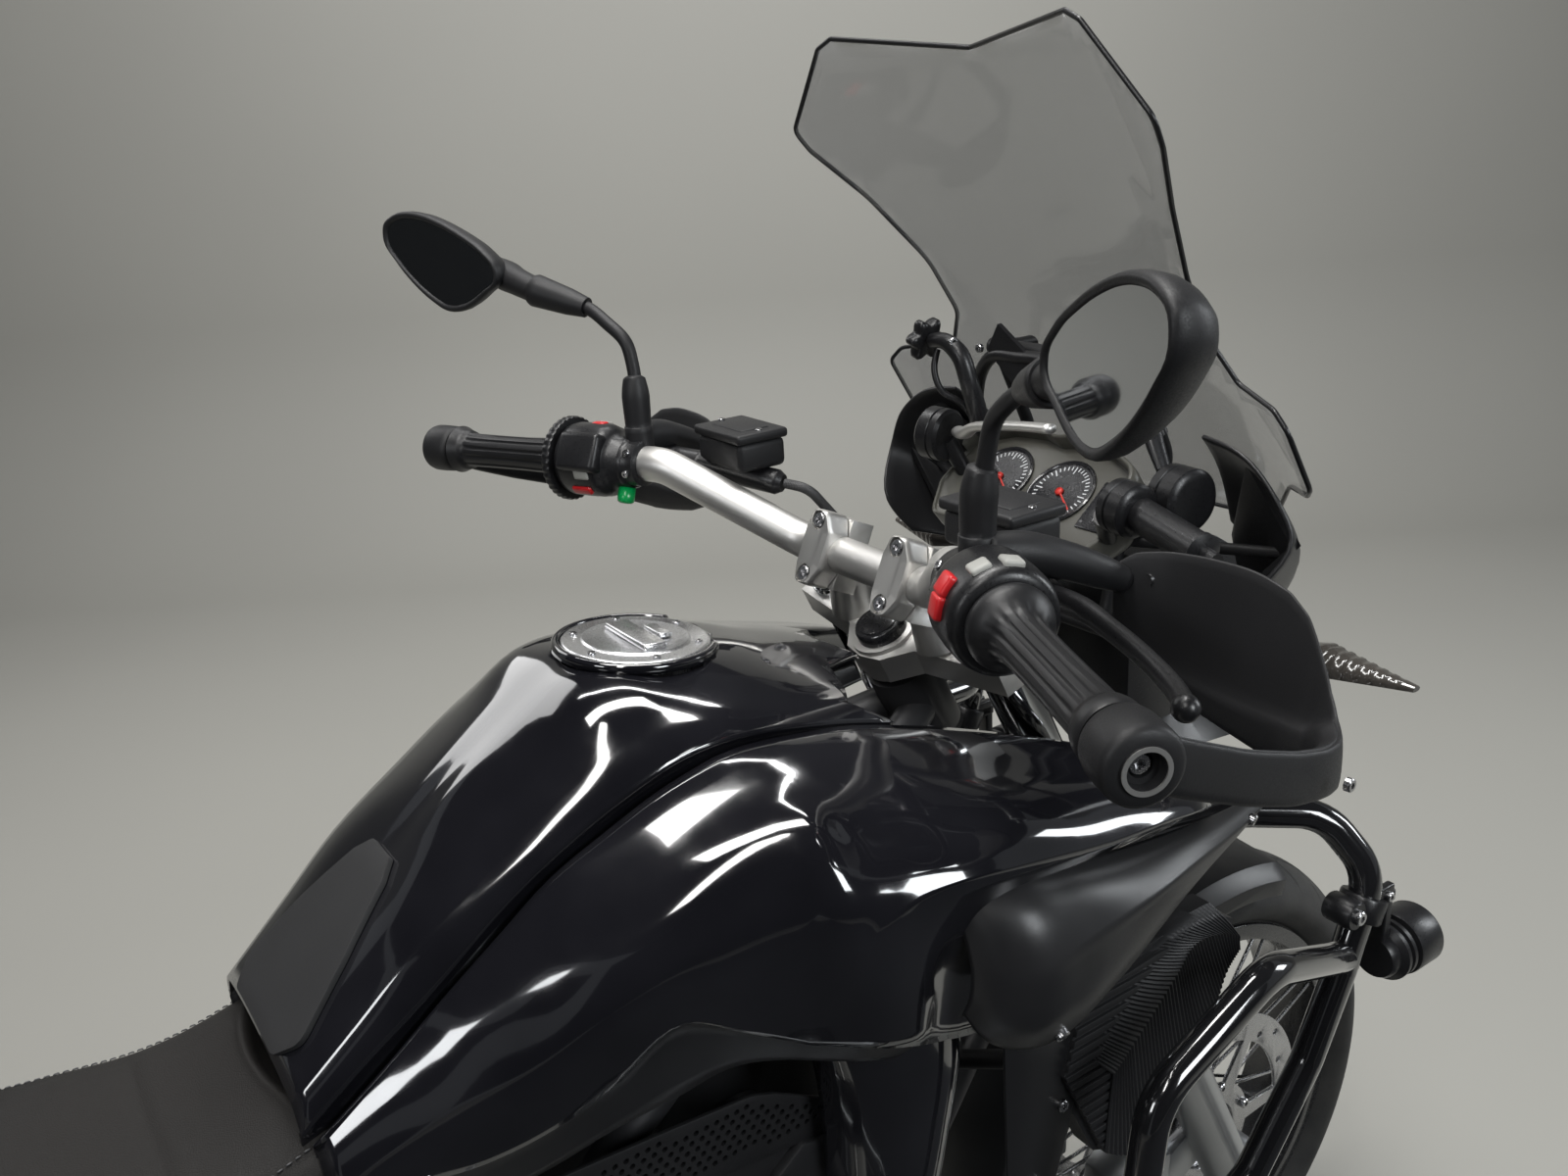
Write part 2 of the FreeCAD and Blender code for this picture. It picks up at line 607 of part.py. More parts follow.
def shock(low, high, body_r, coil_r, pitch, wire):
    """A damper between two cross tubes of 14 mm radius, with the coils as plain rings."""
    along = (high - low).normalize()
    low, high = low + along * 14.3, high - along * 14.3
    length = (high - low).Length
    coils = [rod(low + along * (30 + i * pitch), low + along * (30 + i * pitch + wire), coil_r)
             for i in range(int((length - 60) / pitch) + 1)]
    return fuse(rod(low, high, body_r), *coils)


def shock_absorbers():
    front = shock(SHOCK_FOOT, SHOCK_TOP, 13.0, 24.0, 19.0, 8.0)
    rear = shock(V(-300, 56, 425), V(-180, 56, 768), 16.0, 32.0, 24.0, 9.0)
    return Part.makeCompound([front, rear])


def engine_space():
    x0, x1 = ENGINE_X
    return block(x0 - SEAT_GAP, x1 + SEAT_GAP, -ENGINE_HALF_W - SEAT_GAP, ENGINE_HALF_W + SEAT_GAP, 0,
                 ENGINE_Z[1] + SEAT_GAP)


def engine_block():
    """Crankcase and gearbox as one housing, with ribs, the nose cover and the stands' lugs."""
    x0, x1 = ENGINE_X
    z0, z1 = ENGINE_Z
    profile = [(x0, z0 + 95), (x0 + 50, z0 + 58), (112, z0 + 58), (138, z0 + 8), (x1 - 50, z0 + 8), (x1, z0 + 75),
               (x1, z1 - 10), (x1 - 10, z1), (60, z1), (-40, z1 - 6), (x0, z1 - 30)]
    core = side_slab(profile, -ENGINE_HALF_W + 14, ENGINE_HALF_W - 14)
    belly = side_slab([(x0 + 20, z0 + 100), (x0 + 60, z0 + 66), (100, z0 + 66), (140, z0 + 40), (x1 - 40, z0 + 60),
                       (x1 - 30, z1 - 90), (40, z1 - 60), (x0 + 20, z1 - 90)], -ENGINE_HALF_W, ENGINE_HALF_W)
    nose = rod(V(x1 - 10, 0, CYLINDER_Z - 20), V(x1 + 16, 0, CYLINDER_Z - 20), 88.0)
    ribs = [side_slab([(x0 + 6, z), (x1 - 70, z), (x1 - 70, z + 6), (x0 + 6, z + 6)], -ENGINE_HALF_W + 6,
                      ENGINE_HALF_W - 6) for z in (z0 + 100, z0 + 130, z1 - 120)]
    pin_bore = rod(STAND_PIVOT - Y * 200, STAND_PIVOT + Y * 200, STAND_PIN_R + RUNNING_GAP)
    ears = []
    for s in (1, -1):
        y0, y1 = sorted((s * 90, s * 103))
        ears.append(side_slab([(-120, 198), (-70, 198), (-58, 290), (-136, 300)], y0, y1).cut(pin_bore))
    boss = SIDE_PIVOT - SIDE_AXIS * 44, SIDE_PIVOT - SIDE_AXIS * 13.5
    lug = fuse(block(-24, 24, 112, 142, 212, 300), rod(boss[0], boss[1], 18.0),
               rod(boss[0], SIDE_PIVOT + SIDE_AXIS * 16, 8.0))
    return fuse(core, belly, nose, *ribs, *ears, lug)


def cylinder(side, x):
    """One finned barrel with its head and cover, reaching out to that side."""
    flange = ENGINE_HALF_W + SEAT_GAP
    barrel = rod(V(x, flange, CYLINDER_Z), V(x, 215, CYLINDER_Z), 66.0)
    fins = [block(x - 74, x + 74, y, y + 4, CYLINDER_Z - 70, CYLINDER_Z + 70) for y in (136, 150, 164, 178, 192, 206)]
    steps = [(212, 78, 76), (240, 94, 78), (318, 88, 70), (346, 74, 56), (HEAD_OUT, 50, 36)]
    sections = []
    for y, a, b in steps:
        shift = (y - 212) * 0.05
        c = 0.38
        ring_points = [(-a, -b * c), (-a, b * c), (-a * 0.55, b), (a * 0.6, b), (a, b * c), (a, -b * c),
                       (a * 0.6, -b), (-a * 0.55, -b)]
        sections.append([V(x + px, y, CYLINDER_Z + pz - shift) for px, pz in ring_points])
    head = loft(sections)
    plug = rod(V(x, 330, CYLINDER_Z), V(x, HEAD_OUT + 4, CYLINDER_Z), 20.0)
    solid = fuse(barrel, *fins, head, plug)
    return solid if side > 0 else mirrored(solid)


def cylinders():
    return Part.makeCompound([cylinder(1, CYLINDER_X[0]), cylinder(-1, CYLINDER_X[1])])


def airbox():
    """Air box on top of the engine, with an intake pipe down to each head."""
    stations = ((-30, 62, ENGINE_Z[1] + SEAT_GAP, 838), (60, 68, ENGINE_Z[1] + SEAT_GAP, 866),
                (250, 66, ENGINE_Z[1] + SEAT_GAP, 880), (290, 50, 600, 860))
    case = loft([[V(x, -w, z0), V(x, w, z0), V(x, w, z1 - 30), V(x, w - 20, z1), V(x, -w + 20, z1), V(x, -w, z1 - 30)]
                 for x, w, z0, z1 in stations])
    pipes = [tube([V(x, s * 236, 500), V(x, s * 232, 590), V(x + 12, s * 60, 690)], 23.0, 60.0)
             for x, s in ((CYLINDER_X[0] - 8, 1), (CYLINDER_X[1] + 8, -1))]
    return fuse(case, *pipes).cut(cylinders())


def skid_plate():
    sheet = 4.0
    outer = [(-60, 188), (60, 182), (250, 190), (330, 268), (352, 380), (352 - sheet, 384), (326 - sheet, 272),
             (248, 190 + sheet), (60, 182 + sheet), (-60, 188 + sheet)]
    tray = side_slab(outer, -112, 112)
    cheek = side_slab([(-60, 188), (60, 182), (250, 190), (330, 268), (300, 262), (230, 222), (60, 210), (-40, 210)],
                      112, 116)
    posts = [rod(V(190, y, 188), V(190, y, ENGINE_Z[0] + 8 - SEAT_GAP), 10.0) for y in (60, -60)]
    slots = [block(60 + i * 46, 84 + i * 46, -40, 40, 170, 200) for i in range(4)]
    return fuse(tray, cheek, mirrored(cheek), *posts).cut(slots)


def exhaust():
    """Header pipes from under both heads, a crossover behind the sump, and the silencer on the right."""
    pipe_r = 19.0
    left = tube([V(205, 268, 380), V(205, 268, 326), V(190, 215, 243), V(95, 150, 234), V(62, -100, 236),
                 V(20, -150, 265)], pipe_r, 60.0)
    right = tube([V(182, -268, 380), V(182, -268, 326), V(160, -214, 267), V(20, -152, 266), V(-190, -156, 267),
                  V(-300, -196, 318), V(-352, -206, 350)], pipe_r, 60.0)
    steps = [(-346, 22, 22, 350), (-392, 48, 44, 366), (-430, 56, 62, 380), (-620, 60, 70, 432), (-760, 58, 68, 470),
             (-806, 44, 52, 482)]
    sections = []
    for x, a, b, z in steps:
        outline = [(0.45, -1), (1, -0.5), (1, 0.5), (0.45, 1), (-0.45, 1), (-1, 0.5), (-1, -0.5), (-0.45, -1)]
        sections.append([V(x + 0.25 * (z0 * b), -212 + y0 * a, z + z0 * b) for y0, z0 in outline])
    can = loft(sections)
    outlet = rod(V(-780, -212, 474), V(-826, -212, 486), 24.0)
    hollow = rod(V(-796, -212, 478), V(-830, -212, 487), 20.0)
    return fuse(left, right, can, outlet).cut([hollow, cylinders()])


def swingarm():
    """Single-sided shaft-drive arm on the left, with the bevel housing and the wheel's stub axle."""
    arm_y = 128.0
    steps = [(-152, 34, 52, 402), (-250, 30, 46, 396), (-520, 27, 40, 366), (-690, 28, 42, 348)]
    sections = []
    for x, a, b, z in steps:
        outline = [(-0.6, -1), (0.6, -1), (1, -0.4), (1, 0.4), (0.6, 1), (-0.6, 1), (-1, 0.4), (-1, -0.4)]
        sections.append([V(x, arm_y + y0 * a, z + z0 * b) for y0, z0 in outline])
    beam = loft(sections)
    axle = REAR_AXLE
    case = rod(axle + Y * 92, axle + Y * 168, 74.0)
    cover = cone(axle + Y * 168, axle + Y * 182, 60.0, 48.0)
    stub = rod(axle - Y * 40, axle + Y * 92, 20.0)
    strut = tube([V(-152, 150, 492), V(-400, 152, 452), V(-706, 150, 392)], 9.0, 200.0)
    knuckle = rod(V(-152, -70, 402), V(-152, 160, 402), 30.0)
    link = block(-190, -152, 140, 160, 420, 500)
    shock_lug = rod(V(-300, 40, 425), V(-300, 112, 425), 14.0)
    return fuse(beam, case, cover, stub, strut, knuckle, link, shock_lug).cut(engine_space())


def rear_hub():
    """A broad open hub on the bevel housing's stub, with its crossed spokes."""
    flange_y = 28.0
    barrel = ring(REAR_AXLE, -46, 86, 44.0, 20.0 + RUNNING_GAP)
    flanges = [ring(REAR_AXLE, s * flange_y - 5, s * flange_y + 5, 66.0, 40.0) for s in (1, -1)]
    nut = ring(REAR_AXLE, -54, -46, 34.0, 20.0 + RUNNING_GAP)
    seat = ring(REAR_AXLE, 52, REAR_DISC_Y - DISC_T / 2 - SEAT_GAP, 60.0, 40.0)
    return fuse(barrel, *flanges, nut, seat, *spokes(REAR_AXLE, 60.0, flange_y, REAR_RIM_R, REAR_RIM_W))


def rear_caliper():
    slot = DISC_T / 2 + MOVING_GAP
    out = V(math.cos(math.radians(62)), 0, math.sin(math.radians(62)))
    across = V(-out.z, 0, out.x)
    corners = [(100, -34), (100, 34), (150, 38), (166, 24), (166, -24), (150, -38)]
    body = slab([REAR_AXLE + out * r + across * t + Y * 58 for r, t in corners], Y * 42)
    gap = rod(REAR_AXLE + Y * (REAR_DISC_Y - slot), REAR_AXLE + Y * (REAR_DISC_Y + slot), REAR_DISC_R + MOVING_GAP)
    ear = slab([REAR_AXLE + out * r + across * t + Y * 92 for r, t in ((60, -20), (60, 20), (140, 24), (140, -24))],
               Y * 12)
    case = rod(REAR_AXLE + Y * 80, REAR_AXLE + Y * 170, 74.0 + SEAT_GAP)
    return fuse(body.cut(gap), ear).cut(case)


# Bodywork
def tank_outline(x, top, shoulder, seam, depth):
    """Half-section of the tank's centre cover: crown height, shoulder and seam as (y, z)."""
    half = [(0, top), (shoulder[0] * 0.55, top - 0.12 * (top - shoulder[1])), shoulder, seam, (seam[0] - 6, seam[1] - depth)]
    left = [V(x, y, z) for y, z in half]
    return left + [flip(p) for p in reversed(left[1:])]


# x, crown z, shoulder (y, z), seam (y, z), side depth
TANK_STATIONS = (
    (-156, 892, (64, 886), (94, 866), 40),
    (-62, 972, (72, 962), (106, 940), 60),
    (20, 1034, (76, 1024), (112, 1000), 80),
    (95, 1082, (82, 1070), (118, 1034), 90),
    (150, 1084, (86, 1072), (122, 1048), 90),
    (222, 1074, (86, 1064), (124, 1040), 90),
    (318, 1040, (80, 1034), (124, 1014), 60),
    (360, 1024, (62, 1018), (112, 1000), 46),
)


def cap_frame():
    """The filler's middle, its upward normal and its forward direction."""
    turn = FreeCAD.Rotation(Y, CAP_TILT)
    return CAP_CENTRE, turn.multVec(Z), turn.multVec(X)


def cap_hinge():
    centre, up, ahead = cap_frame()
    return centre + ahead * (CAP_R + 1) - up * (CAP_T / 2 - 0.4)


def fork_sweep():
    """The space that the stanchions and the top yoke swing through, which the tank's nose keeps clear of."""
    reach, open_angle, far = FORK_Y + 41, math.radians(141), 300.0
    bx, by = far * math.cos(open_angle), far * math.sin(open_angle)
    wedge = [(0, 0), (bx, by), (0, far), (far, far), (far, -far), (0, -far), (bx, -by)]
    low = rod(V(0, 0, SLIDER_TOP), V(0, 0, YOKE_Z[0] - 6), reach - 10).cut(rod(V(0, 0, 700), Z * 1200, 84.0))
    high = rod(V(0, 0, YOKE_Z[0] - 6), V(0, 0, YOKE_Z[1] + 60), reach)
    hub = rod(V(0, 0, 900), V(0, 0, YOKE_Z[1] + 60), 56.0)
    return steered(low.fuse(high).common(plan_slab(wedge, 700, 1300)).fuse(hub))


def tank_cover():
    """The centre cover over the fuel tank, with the filler neck and the cap's hinge pin."""
    body = loft([tank_outline(*station) for station in TANK_STATIONS])
    centre, up, _ = cap_frame()
    pocket = rod(centre - up * CAP_T, centre + up * 60, CAP_R + MOVING_GAP)
    collar = rod(centre - up * 40, centre - up * CAP_T, CAP_R + MOVING_GAP + 6)
    filler = rod(centre - up * FILLER_DEPTH, centre, FILLER_R)
    hinge = cap_hinge()
    notch = rod(hinge - Y * 14, hinge + Y * 14, 10.0)
    pin = rod(hinge - Y * 27, hinge + Y * 27, 2.5)
    posts = [rod(V(250, s * 92, 905), V(250, s * 92, 965), 11.0).cut(main_frame()) for s in (1, -1)]
    posts = [max(p.Solids, key=lambda q: q.BoundBox.ZMax) for p in posts]
    return fuse(fuse(body, collar, *posts).cut([pocket, filler, fork_sweep(), notch]), pin)


def fuel_cap():
    """A hinged filler cap with a raised middle, and its hinge knuckle at the front."""
    centre, up, _ = cap_frame()
    base = centre - up * (CAP_T - 0.4)
    hinge = cap_hinge()
    plate = rod(base, base + up * CAP_T, CAP_R)
    inner = rod(base + up * (CAP_T - 2), base + up * (CAP_T + 2), CAP_R * 0.66)
    plug = rod(base - up * 22, base + up, FILLER_R - 10)
    knuckle = rod(hinge - Y * 11, hinge + Y * 11, CAP_T / 2)
    return fuse(plate, inner, plug, knuckle).cut(rod(hinge - Y * 20, hinge + Y * 20, 2.5 + RUNNING_GAP))


# x, seam (y, z), bulge (y, z), waist (y, z), hem (y, z)
SIDE_STATIONS = (
    (-150, (97, 856), (112, 834), (118, 824), (108, 806)),
    (-62, (109, 930), (152, 884), (154, 820), (140, 780)),
    (20, (115, 990), (188, 936), (184, 836), (156, 764)),
    (95, (121, 1024), (216, 978), (218, 880), (182, 794)),
    (160, (125, 1038), (238, 994), (254, 905), (216, 824)),
    (230, (127, 1030), (262, 992), (282, 935), (256, 880)),
    (318, (127, 1004), (268, 985), (290, 948), (264, 908)),
    (420, (150, 970), (268, 968), (288, 948), (262, 926)),
    (520, (190, 935), (252, 935), (274, 918), (244, 904)),
)


def tank_sides():
    """Gloss side panels that run forward from the knee into the shoulder of the radiator shroud."""
    wall = 12.0
    sections = []
    for x, seam, bulge, waist, hem in SIDE_STATIONS:
        outer = [(seam[0] + SEAM_GAP, seam[1]), bulge, waist, hem]
        inner = [(hem[0] - wall, hem[1] + 2), (waist[0] - wall - 4, waist[1] - 2), (bulge[0] - wall, bulge[1] - wall),
                 (seam[0] + SEAM_GAP + 1, seam[1] - wall)]
        sections.append([V(x, y, z) for y, z in outer + inner])
    foot = rod(V(60, 104 + FRAME_TUBE_R + SEAT_GAP, 762), V(60, 172, 792), 9.0)
    return pair(fuse(loft(sections), foot).cut([main_frame(), fork_sweep()]))


def side_trims():
    """Perforated covers under the side panels."""
    plate = side_slab([(-50, 778), (-34, 790), (20, 756), (95, 786), (150, 812), (160, 706), (60, 660), (-40, 700)],
                      140, 144)
    foot = rod(V(0, 104 + FRAME_TUBE_R + SEAT_GAP, 700), V(0, 141, 700), 8.0)
    return pair(fuse(plate, foot).cut([main_frame(), tank_sides()]))


def tank_pad():
    """The rubber pad at the rear of the tank, lying on the centre cover."""
    half = [(-152, 0), (-152, 42), (-132, 56), (-92, 62), (-68, 56), (-62, 30), (-57, 0)]
    plan = half + [(x, -y) for x, y in reversed(half[1:-1])]
    cover = loft([tank_outline(*station) for station in TANK_STATIONS])
    raised, lifted = cover.copy(), cover.copy()
    raised.translate(Z * SEAT_GAP)
    lifted.translate(Z * (SEAT_GAP + 5))
    return plan_slab(plan, 850, 1050).common(lifted).cut(raised)


# x, upper edge (y, z), ridge (y, z), lower edge (y, z)
SHROUD_STATIONS = (
    (230, (256, 880), (262, 820), (244, 752)),
    (318, (264, 908), (298, 850), (258, 766)),
    (420, (262, 926), (302, 868), (264, 802)),
    (520, (244, 904), (284, 866), (246, 818)),
    (600, (236, 884), (256, 872), (224, 848)),
    (664, (214, 882), (224, 874), (202, 864)),
)


def radiator_shrouds():
    """Matte shrouds hung from the side panels' hems and running forward to a point."""
    wall = 7.0
    sections = []
    for x, upper, ridge, lower in SHROUD_STATIONS:
        upper = (upper[0], upper[1] - SEAM_GAP)
        inner = [(lower[0] - wall, lower[1] + 4), (ridge[0] - wall - 4, ridge[1]), (upper[0] - wall, upper[1] - 1)]
        sections.append([V(x, y, z) for y, z in (upper, ridge, lower) + tuple(inner)])
    return pair(loft(sections))


def radiators():
    """One core on each side behind its ribbed cover, carried from the frame."""
    outline = [(392, 790), (540, 800), (586, 776), (560, 700), (470, 598), (420, 620), (372, 720)]
    core = slab([V(x, 200, z) for x, z in outline], V(0, 22, 0))
    cover = slab([V(x * 0.94 + 29, 222, 42 + z * 0.94) for x, z in outline], V(0, 8, 0))
    grooves = [block(360, 620, 227, 231, z, z + 4) for z in range(620, 800, 10)]
    bracket = rod(V(292, 88, 694), V(400, 206, 712), 8.0)
    solid = fuse(core, cover, bracket).cut(grooves + [main_frame()])
    return pair(max(solid.Solids, key=lambda q: q.Volume))


def screen_sheet(thickness, inset=0.0):
    """The screen's curved sheet, before its outline is cut."""
    rise = 460.0
    slant = V(-SCREEN_SLOPE, 0, 1)
    back = SCREEN_TOP + slant * 40 - slant * rise
    centre = back - X * SCREEN_R
    outer_r, inner_r = SCREEN_R - inset, SCREEN_R - inset - thickness
    outer = Part.Face(Part.Wire(Part.makeCircle(outer_r, centre, Z)))
    inner = Part.Face(Part.Wire(Part.makeCircle(inner_r, centre, Z)))
    return outer.cut(inner).extrude(slant * rise)


# Half of the screen's outline from the front, (y, z)
SCREEN_OUTLINE = ((0, 1488), (136, 1503), (150, 1497), (206, 1434), (204, 1420), (176, 1370), (152, 1310), (150, 1262),
                  (172, 1226), (222, 1216), (236, 1200), (236, 1150), (222, 1140), (196, 1138), (150, 1100), (90, 1078),
                  (0, 1072))


def windscreen():
    outline = list(SCREEN_OUTLINE) + [(-y, z) for y, z in reversed(SCREEN_OUTLINE[1:-1])]
    return screen_sheet(SCREEN_T).common(front_slab(outline, 300, 900))


def headlamp():
    """A twin-lens lamp housing under the screen."""
    profile = [(604, 905), (LAMP_BACK, 935), (LAMP_BACK, 1056), (604, 1066), (700, 1066), (742, 1040), (752, 950), (700, 905)]
    shell = side_slab(profile, -96, 96)
    lenses = [rod(V(715, y, 985), V(754, y, 985), 38.0) for y in (44, -44)]
    return fuse(shell, *lenses)


def beak():
    """The high front mudguard under the lamp, tapering to its tip."""
    lamp_floor = 905 - SEAT_GAP
    stations = ((640, 106, lamp_floor, 44), (696, 98, lamp_floor, 44), (750, 84, 886, 40), (830, 58, 852, 30),
                (905, 26, 818, 16))
    wall = 5.0
    sections = []
    for x, half, z, drop in stations:
        outer = [(-half, z - drop), (-half * 0.55, z), (half * 0.55, z), (half, z - drop)]
        inner = [(half - wall, z - drop), (half * 0.55 - 2, z - wall), (-half * 0.55 + 2, z - wall), (-half + wall, z - drop)]
        sections.append([V(x, y, zz) for y, zz in outer + inner])
    return loft(sections)


def cockpit_carrier():
    """A boom from the steering head to the lamp, the stays of dials and screen, and the side cheeks."""
    root = AXIS_FOOT + UP_AXIS * 1066 + FORWARD * (30 + SEAT_GAP)
    knee = root + FORWARD * 62
    boom = tube([root, knee, V(LAMP_BACK - SEAT_GAP, 0, knee.z)], 12.0, 40.0)
    tie = rod(V(566, -88, 1010), V(566, 88, 1010), 8.0)
    rest = rod(V(585.5, -92, 1085.8), V(585.5, 92, 1085.8), 7.0)
    bar = rod(V(602, -92, 1232), V(602, 92, 1232), 8.0)
    stay = tube([V(566, 84, 1008), V(585.5, 84, 1085.8), V(636, 84, 1126), V(642, 84, 1150), V(602, 84, 1232)],
                6.0, 25.0)
    pad = rod(V(602, 84, 1232), V(668, 84, 1232), 5.0).cut(screen_sheet(80 + SCREEN_T + SEAT_GAP, -80))
    cheek_back = [(192, 1168), (240, 1110), (190, 1050), (182, 1052), (231, 1108), (185, 1165)]
    cheek_front = [(118, 1074), (136, 1010), (112, 944), (104, 946), (127, 1008), (110, 1070)]
    cheek = loft([[V(616, y, z) for y, z in cheek_back], [V(702, y, z) for y, z in cheek_front]])
    strut = rod(V(585.5, 84, 1085.8), V(640, 218, 1092), 5.0)
    boss = rod(V(664, 150, 1000), V(664, 190, 1000), 10.0)
    side = fuse(stay, pad, cheek, strut, boss)
    return fuse(boom, tie, rest, bar, side, mirrored(side))


def instruments():
    """The dial pod facing the rider."""
    face = V(-0.62, 0, 0.78).normalize()
    up = V(0.78, 0, 0.62).normalize()
    centre = V(560, 0, 1118)
    outline = [(-112, -10), (-104, 40), (-60, 58), (60, 58), (104, 40), (112, -10), (92, -48), (-92, -48)]
    pod = slab([centre + Y * a + up * b - face * 34 for a, b in outline], face * 34)
    hood = slab([centre + Y * a + up * b for a, b in ((-104, 40), (-60, 58), (60, 58), (104, 40), (98, 36), (58, 52),
                                                        (-58, 52), (-98, 36))], face * 16)
    return fuse(pod, hood)


def indicators():
    """Arrow-shaped lamps on short stalks, a pair at the front and a pair at the tail."""
    made = []
    for x, y, z, reach in ((664, 190 + SEAT_GAP, 1000, 104), (-1004, 60, 742, 70)):
        sections = [[V(x - 20 * k, y + d, z - 12 * k), V(x + 20 * k, y + d, z - 12 * k), V(x + 24 * k, y + d, z + 2 * k),
                     V(x + 10 * k, y + d, z + 13 * k), V(x - 14 * k, y + d, z + 12 * k)]
                    for d, k in ((20, 0.7), (40, 1.0), (reach, 0.7), (reach + 26, 0.15))]
        lamp = loft(sections)
        stalk = rod(V(x, y, z), V(x, y + 24, z), 7.0)
        one = fuse(lamp, stalk)
        made += [one, mirrored(one)]
    return Part.makeCompound(made)


def seat(stations):
    """A plain cushion from (x, half width, top z, thickness) stations."""
    sections = []
    for x, half, top, thick in stations:
        outline = [(0, top), (half * 0.7, top - 4), (half, top - 22), (half * 0.94, top - thick)]
        left = [V(x, y, z) for y, z in outline]
        sections.append(left + [flip(p) for p in reversed(left[1:])])
    return loft(sections)


def seat_rider():
    rest = 768 + SUBFRAME_TUBE_R + 0.4      # the cushion lies on the rails
    return seat(((-158, 92, 872, 60), (-200, 104, 856, 62), (-280, 140, 848, 848 - rest), (-380, 160, 856, 856 - rest),
                 (-446, 150, 884, 80)))


def seat_passenger():
    return seat(((-449, 130, 905, 60), (-520, 140, 916, 68), (-640, 126, 914, 914 - 839.5), (-730, 104, 912, 912 - 844.6)))


def rear_rack():
    """Luggage plate on its posts, with a grab handle on each side."""
    z = 926.0
    plate = block(-930, -742, -104, 104, z, z + 8)
    slots = [block(-910, -762, y, y + 14, z - 1, z + 9) for y in (-52, -7, 38)]
    holes = [rod(V(x, y, z - 1), V(x, y, z + 9), 3.3) for x in (-916, -756) for y in (-75, 75)]
    handle = tube([V(-520, 114 + SUBFRAME_TUBE_R + 0.5, 808), V(-520, 188, 808), V(-560, 192, 870), V(-700, 170, 922),
                   V(-800, 90, 930)], 9.0, 34.0)
    posts = [rod(V(x, y, 836), V(x, y, z + 1), 9.0) for x, y in ((-772, 99), (-848, 93))]
    solid = fuse(plate, handle, mirrored(handle), *posts, *[mirrored(p) for p in posts]).cut(slots + holes)
    solid = solid.cut(rear_subframe())
    return max(solid.Solids, key=lambda q: q.Volume)


def tail_unit():
    """Tail lamp on the subframe's end, with the plate carrier below it."""
    face = -858 - SUBFRAME_TUBE_R - SEAT_GAP
    lamp = loft([[V(face, -60, 820), V(face, 60, 820), V(face, 52, 866), V(face, -52, 866)],
                 [V(-948, -50, 836), V(-948, 50, 836), V(-948, 44, 864), V(-948, -44, 864)]])
    arm = loft([[V(-904, -40, 836), V(-904, 40, 836), V(-876, 40, 824), V(-876, -40, 824)],
                [V(-1016, -52, 742), V(-1016, 52, 742), V(-996, 52, 728), V(-996, -52, 728)],
                [V(-LENGTH / 2 + 6, -60, 620), V(-LENGTH / 2 + 6, 60, 620), V(-LENGTH / 2 + 14, 60, 618),
                 V(-LENGTH / 2 + 14, -60, 618)]])
    plate = slab([V(-1062, -90, 700), V(-1062, 90, 700), V(-LENGTH / 2 + 4, 90, 590), V(-LENGTH / 2 + 4, -90, 590)],
                 V(-4, 0, 0))
    stalk = [rod(V(-1004, s * 40, 742), V(-1004, s * (60 - SEAT_GAP), 742), 6.0) for s in (1, -1)]
    return fuse(lamp, arm, plate, *stalk)


def footrests():
    """Hanger plates with the rider's and passenger's pegs, the gear lever and the brake pedal."""
    hanger = side_slab([(-150, 600), (-200, 600), (-300, 470), (-330, 400), (-300, 396), (-240, 440), (-200, 400),
                        (-176, 310), (-176, 292), (-144, 292), (-150, 400)], 168, 174)
    rider = fuse(rod(V(-160, 160, 308), V(-160, 190, 308), 14.0), block(-176, -144, 188, 282, 300, 314))
    passenger = fuse(rod(V(-312, 166, 420), V(-312, 186, 420), 10.0), block(-324, -300, 184, 262, 413, 427))
    mount = rod(V(-180, 108.2 + SUBFRAME_TUBE_R + SEAT_GAP, 588), V(-180, 170, 588), 12.0)
    pedal = tube([V(-160, 186, 312), V(-120, 186, 296), V(-40, 190, 276), V(30, 192, 276)], 5.0, 40.0)
    toe = rod(V(30, 186, 276), V(30, 226, 276), 7.0)
    solid = fuse(hanger, rider, passenger, mount, pedal, toe).cut(rear_subframe())
    return pair(max(solid.Solids, key=lambda q: q.Volume))


def crash_front():
    """The left guard's front tube, from the engine up and over to the frame."""
    return tube([V(285, 104.4, 345), V(285, 150, 345), V(420, 246, 415), V(580, 262, 532), V(650, 262, 620),
                 V(690, 262, 700), V(724, 262, 785), V(700, 225, 838), V(640, 180, 842), V(560, 168, 850),
                 V(440, 160, 868), V(330, 112, 885), V(300, 72, 922)], CRASH_TUBE_R, 50.0)


def crash_bars():
    """Engine and tank guards: a hoop round each cylinder, and an upper frame round the shroud."""
    hoop = tube([V(285, 104.4, 300), V(285, 240, 300), V(330, 388, 392), V(150, 410, 436), V(40, 360, 492),
                 V(14, 240, 560), V(96, 108, 648)], CRASH_TUBE_R, 60.0)
    upper = tube([V(330, 372, 380), V(352, 316, 560), V(392, 306, 745), V(520, 306, 800), V(655, 272, 730),
                  V(690, 262, 712)], CRASH_TUBE_R, 55.0)
    bars = fuse(hoop, upper, crash_front()).cut(main_frame())
    return pair(max(bars.Solids, key=lambda q: q.Volume))


def aux_lamps():
    """Round lamps on clamps round the crash bars' front uprights."""
    clamp = block(686, 748, 238, 286, 742, 764)
    can = rod(V(742, 262, 690), V(806, 262, 690), 30.0)
    arm = block(738, 752, 254, 270, 690, 752)
    solid = fuse(clamp, can, arm).cut(crash_front())
    return pair(max(solid.Solids, key=lambda q: q.Volume))


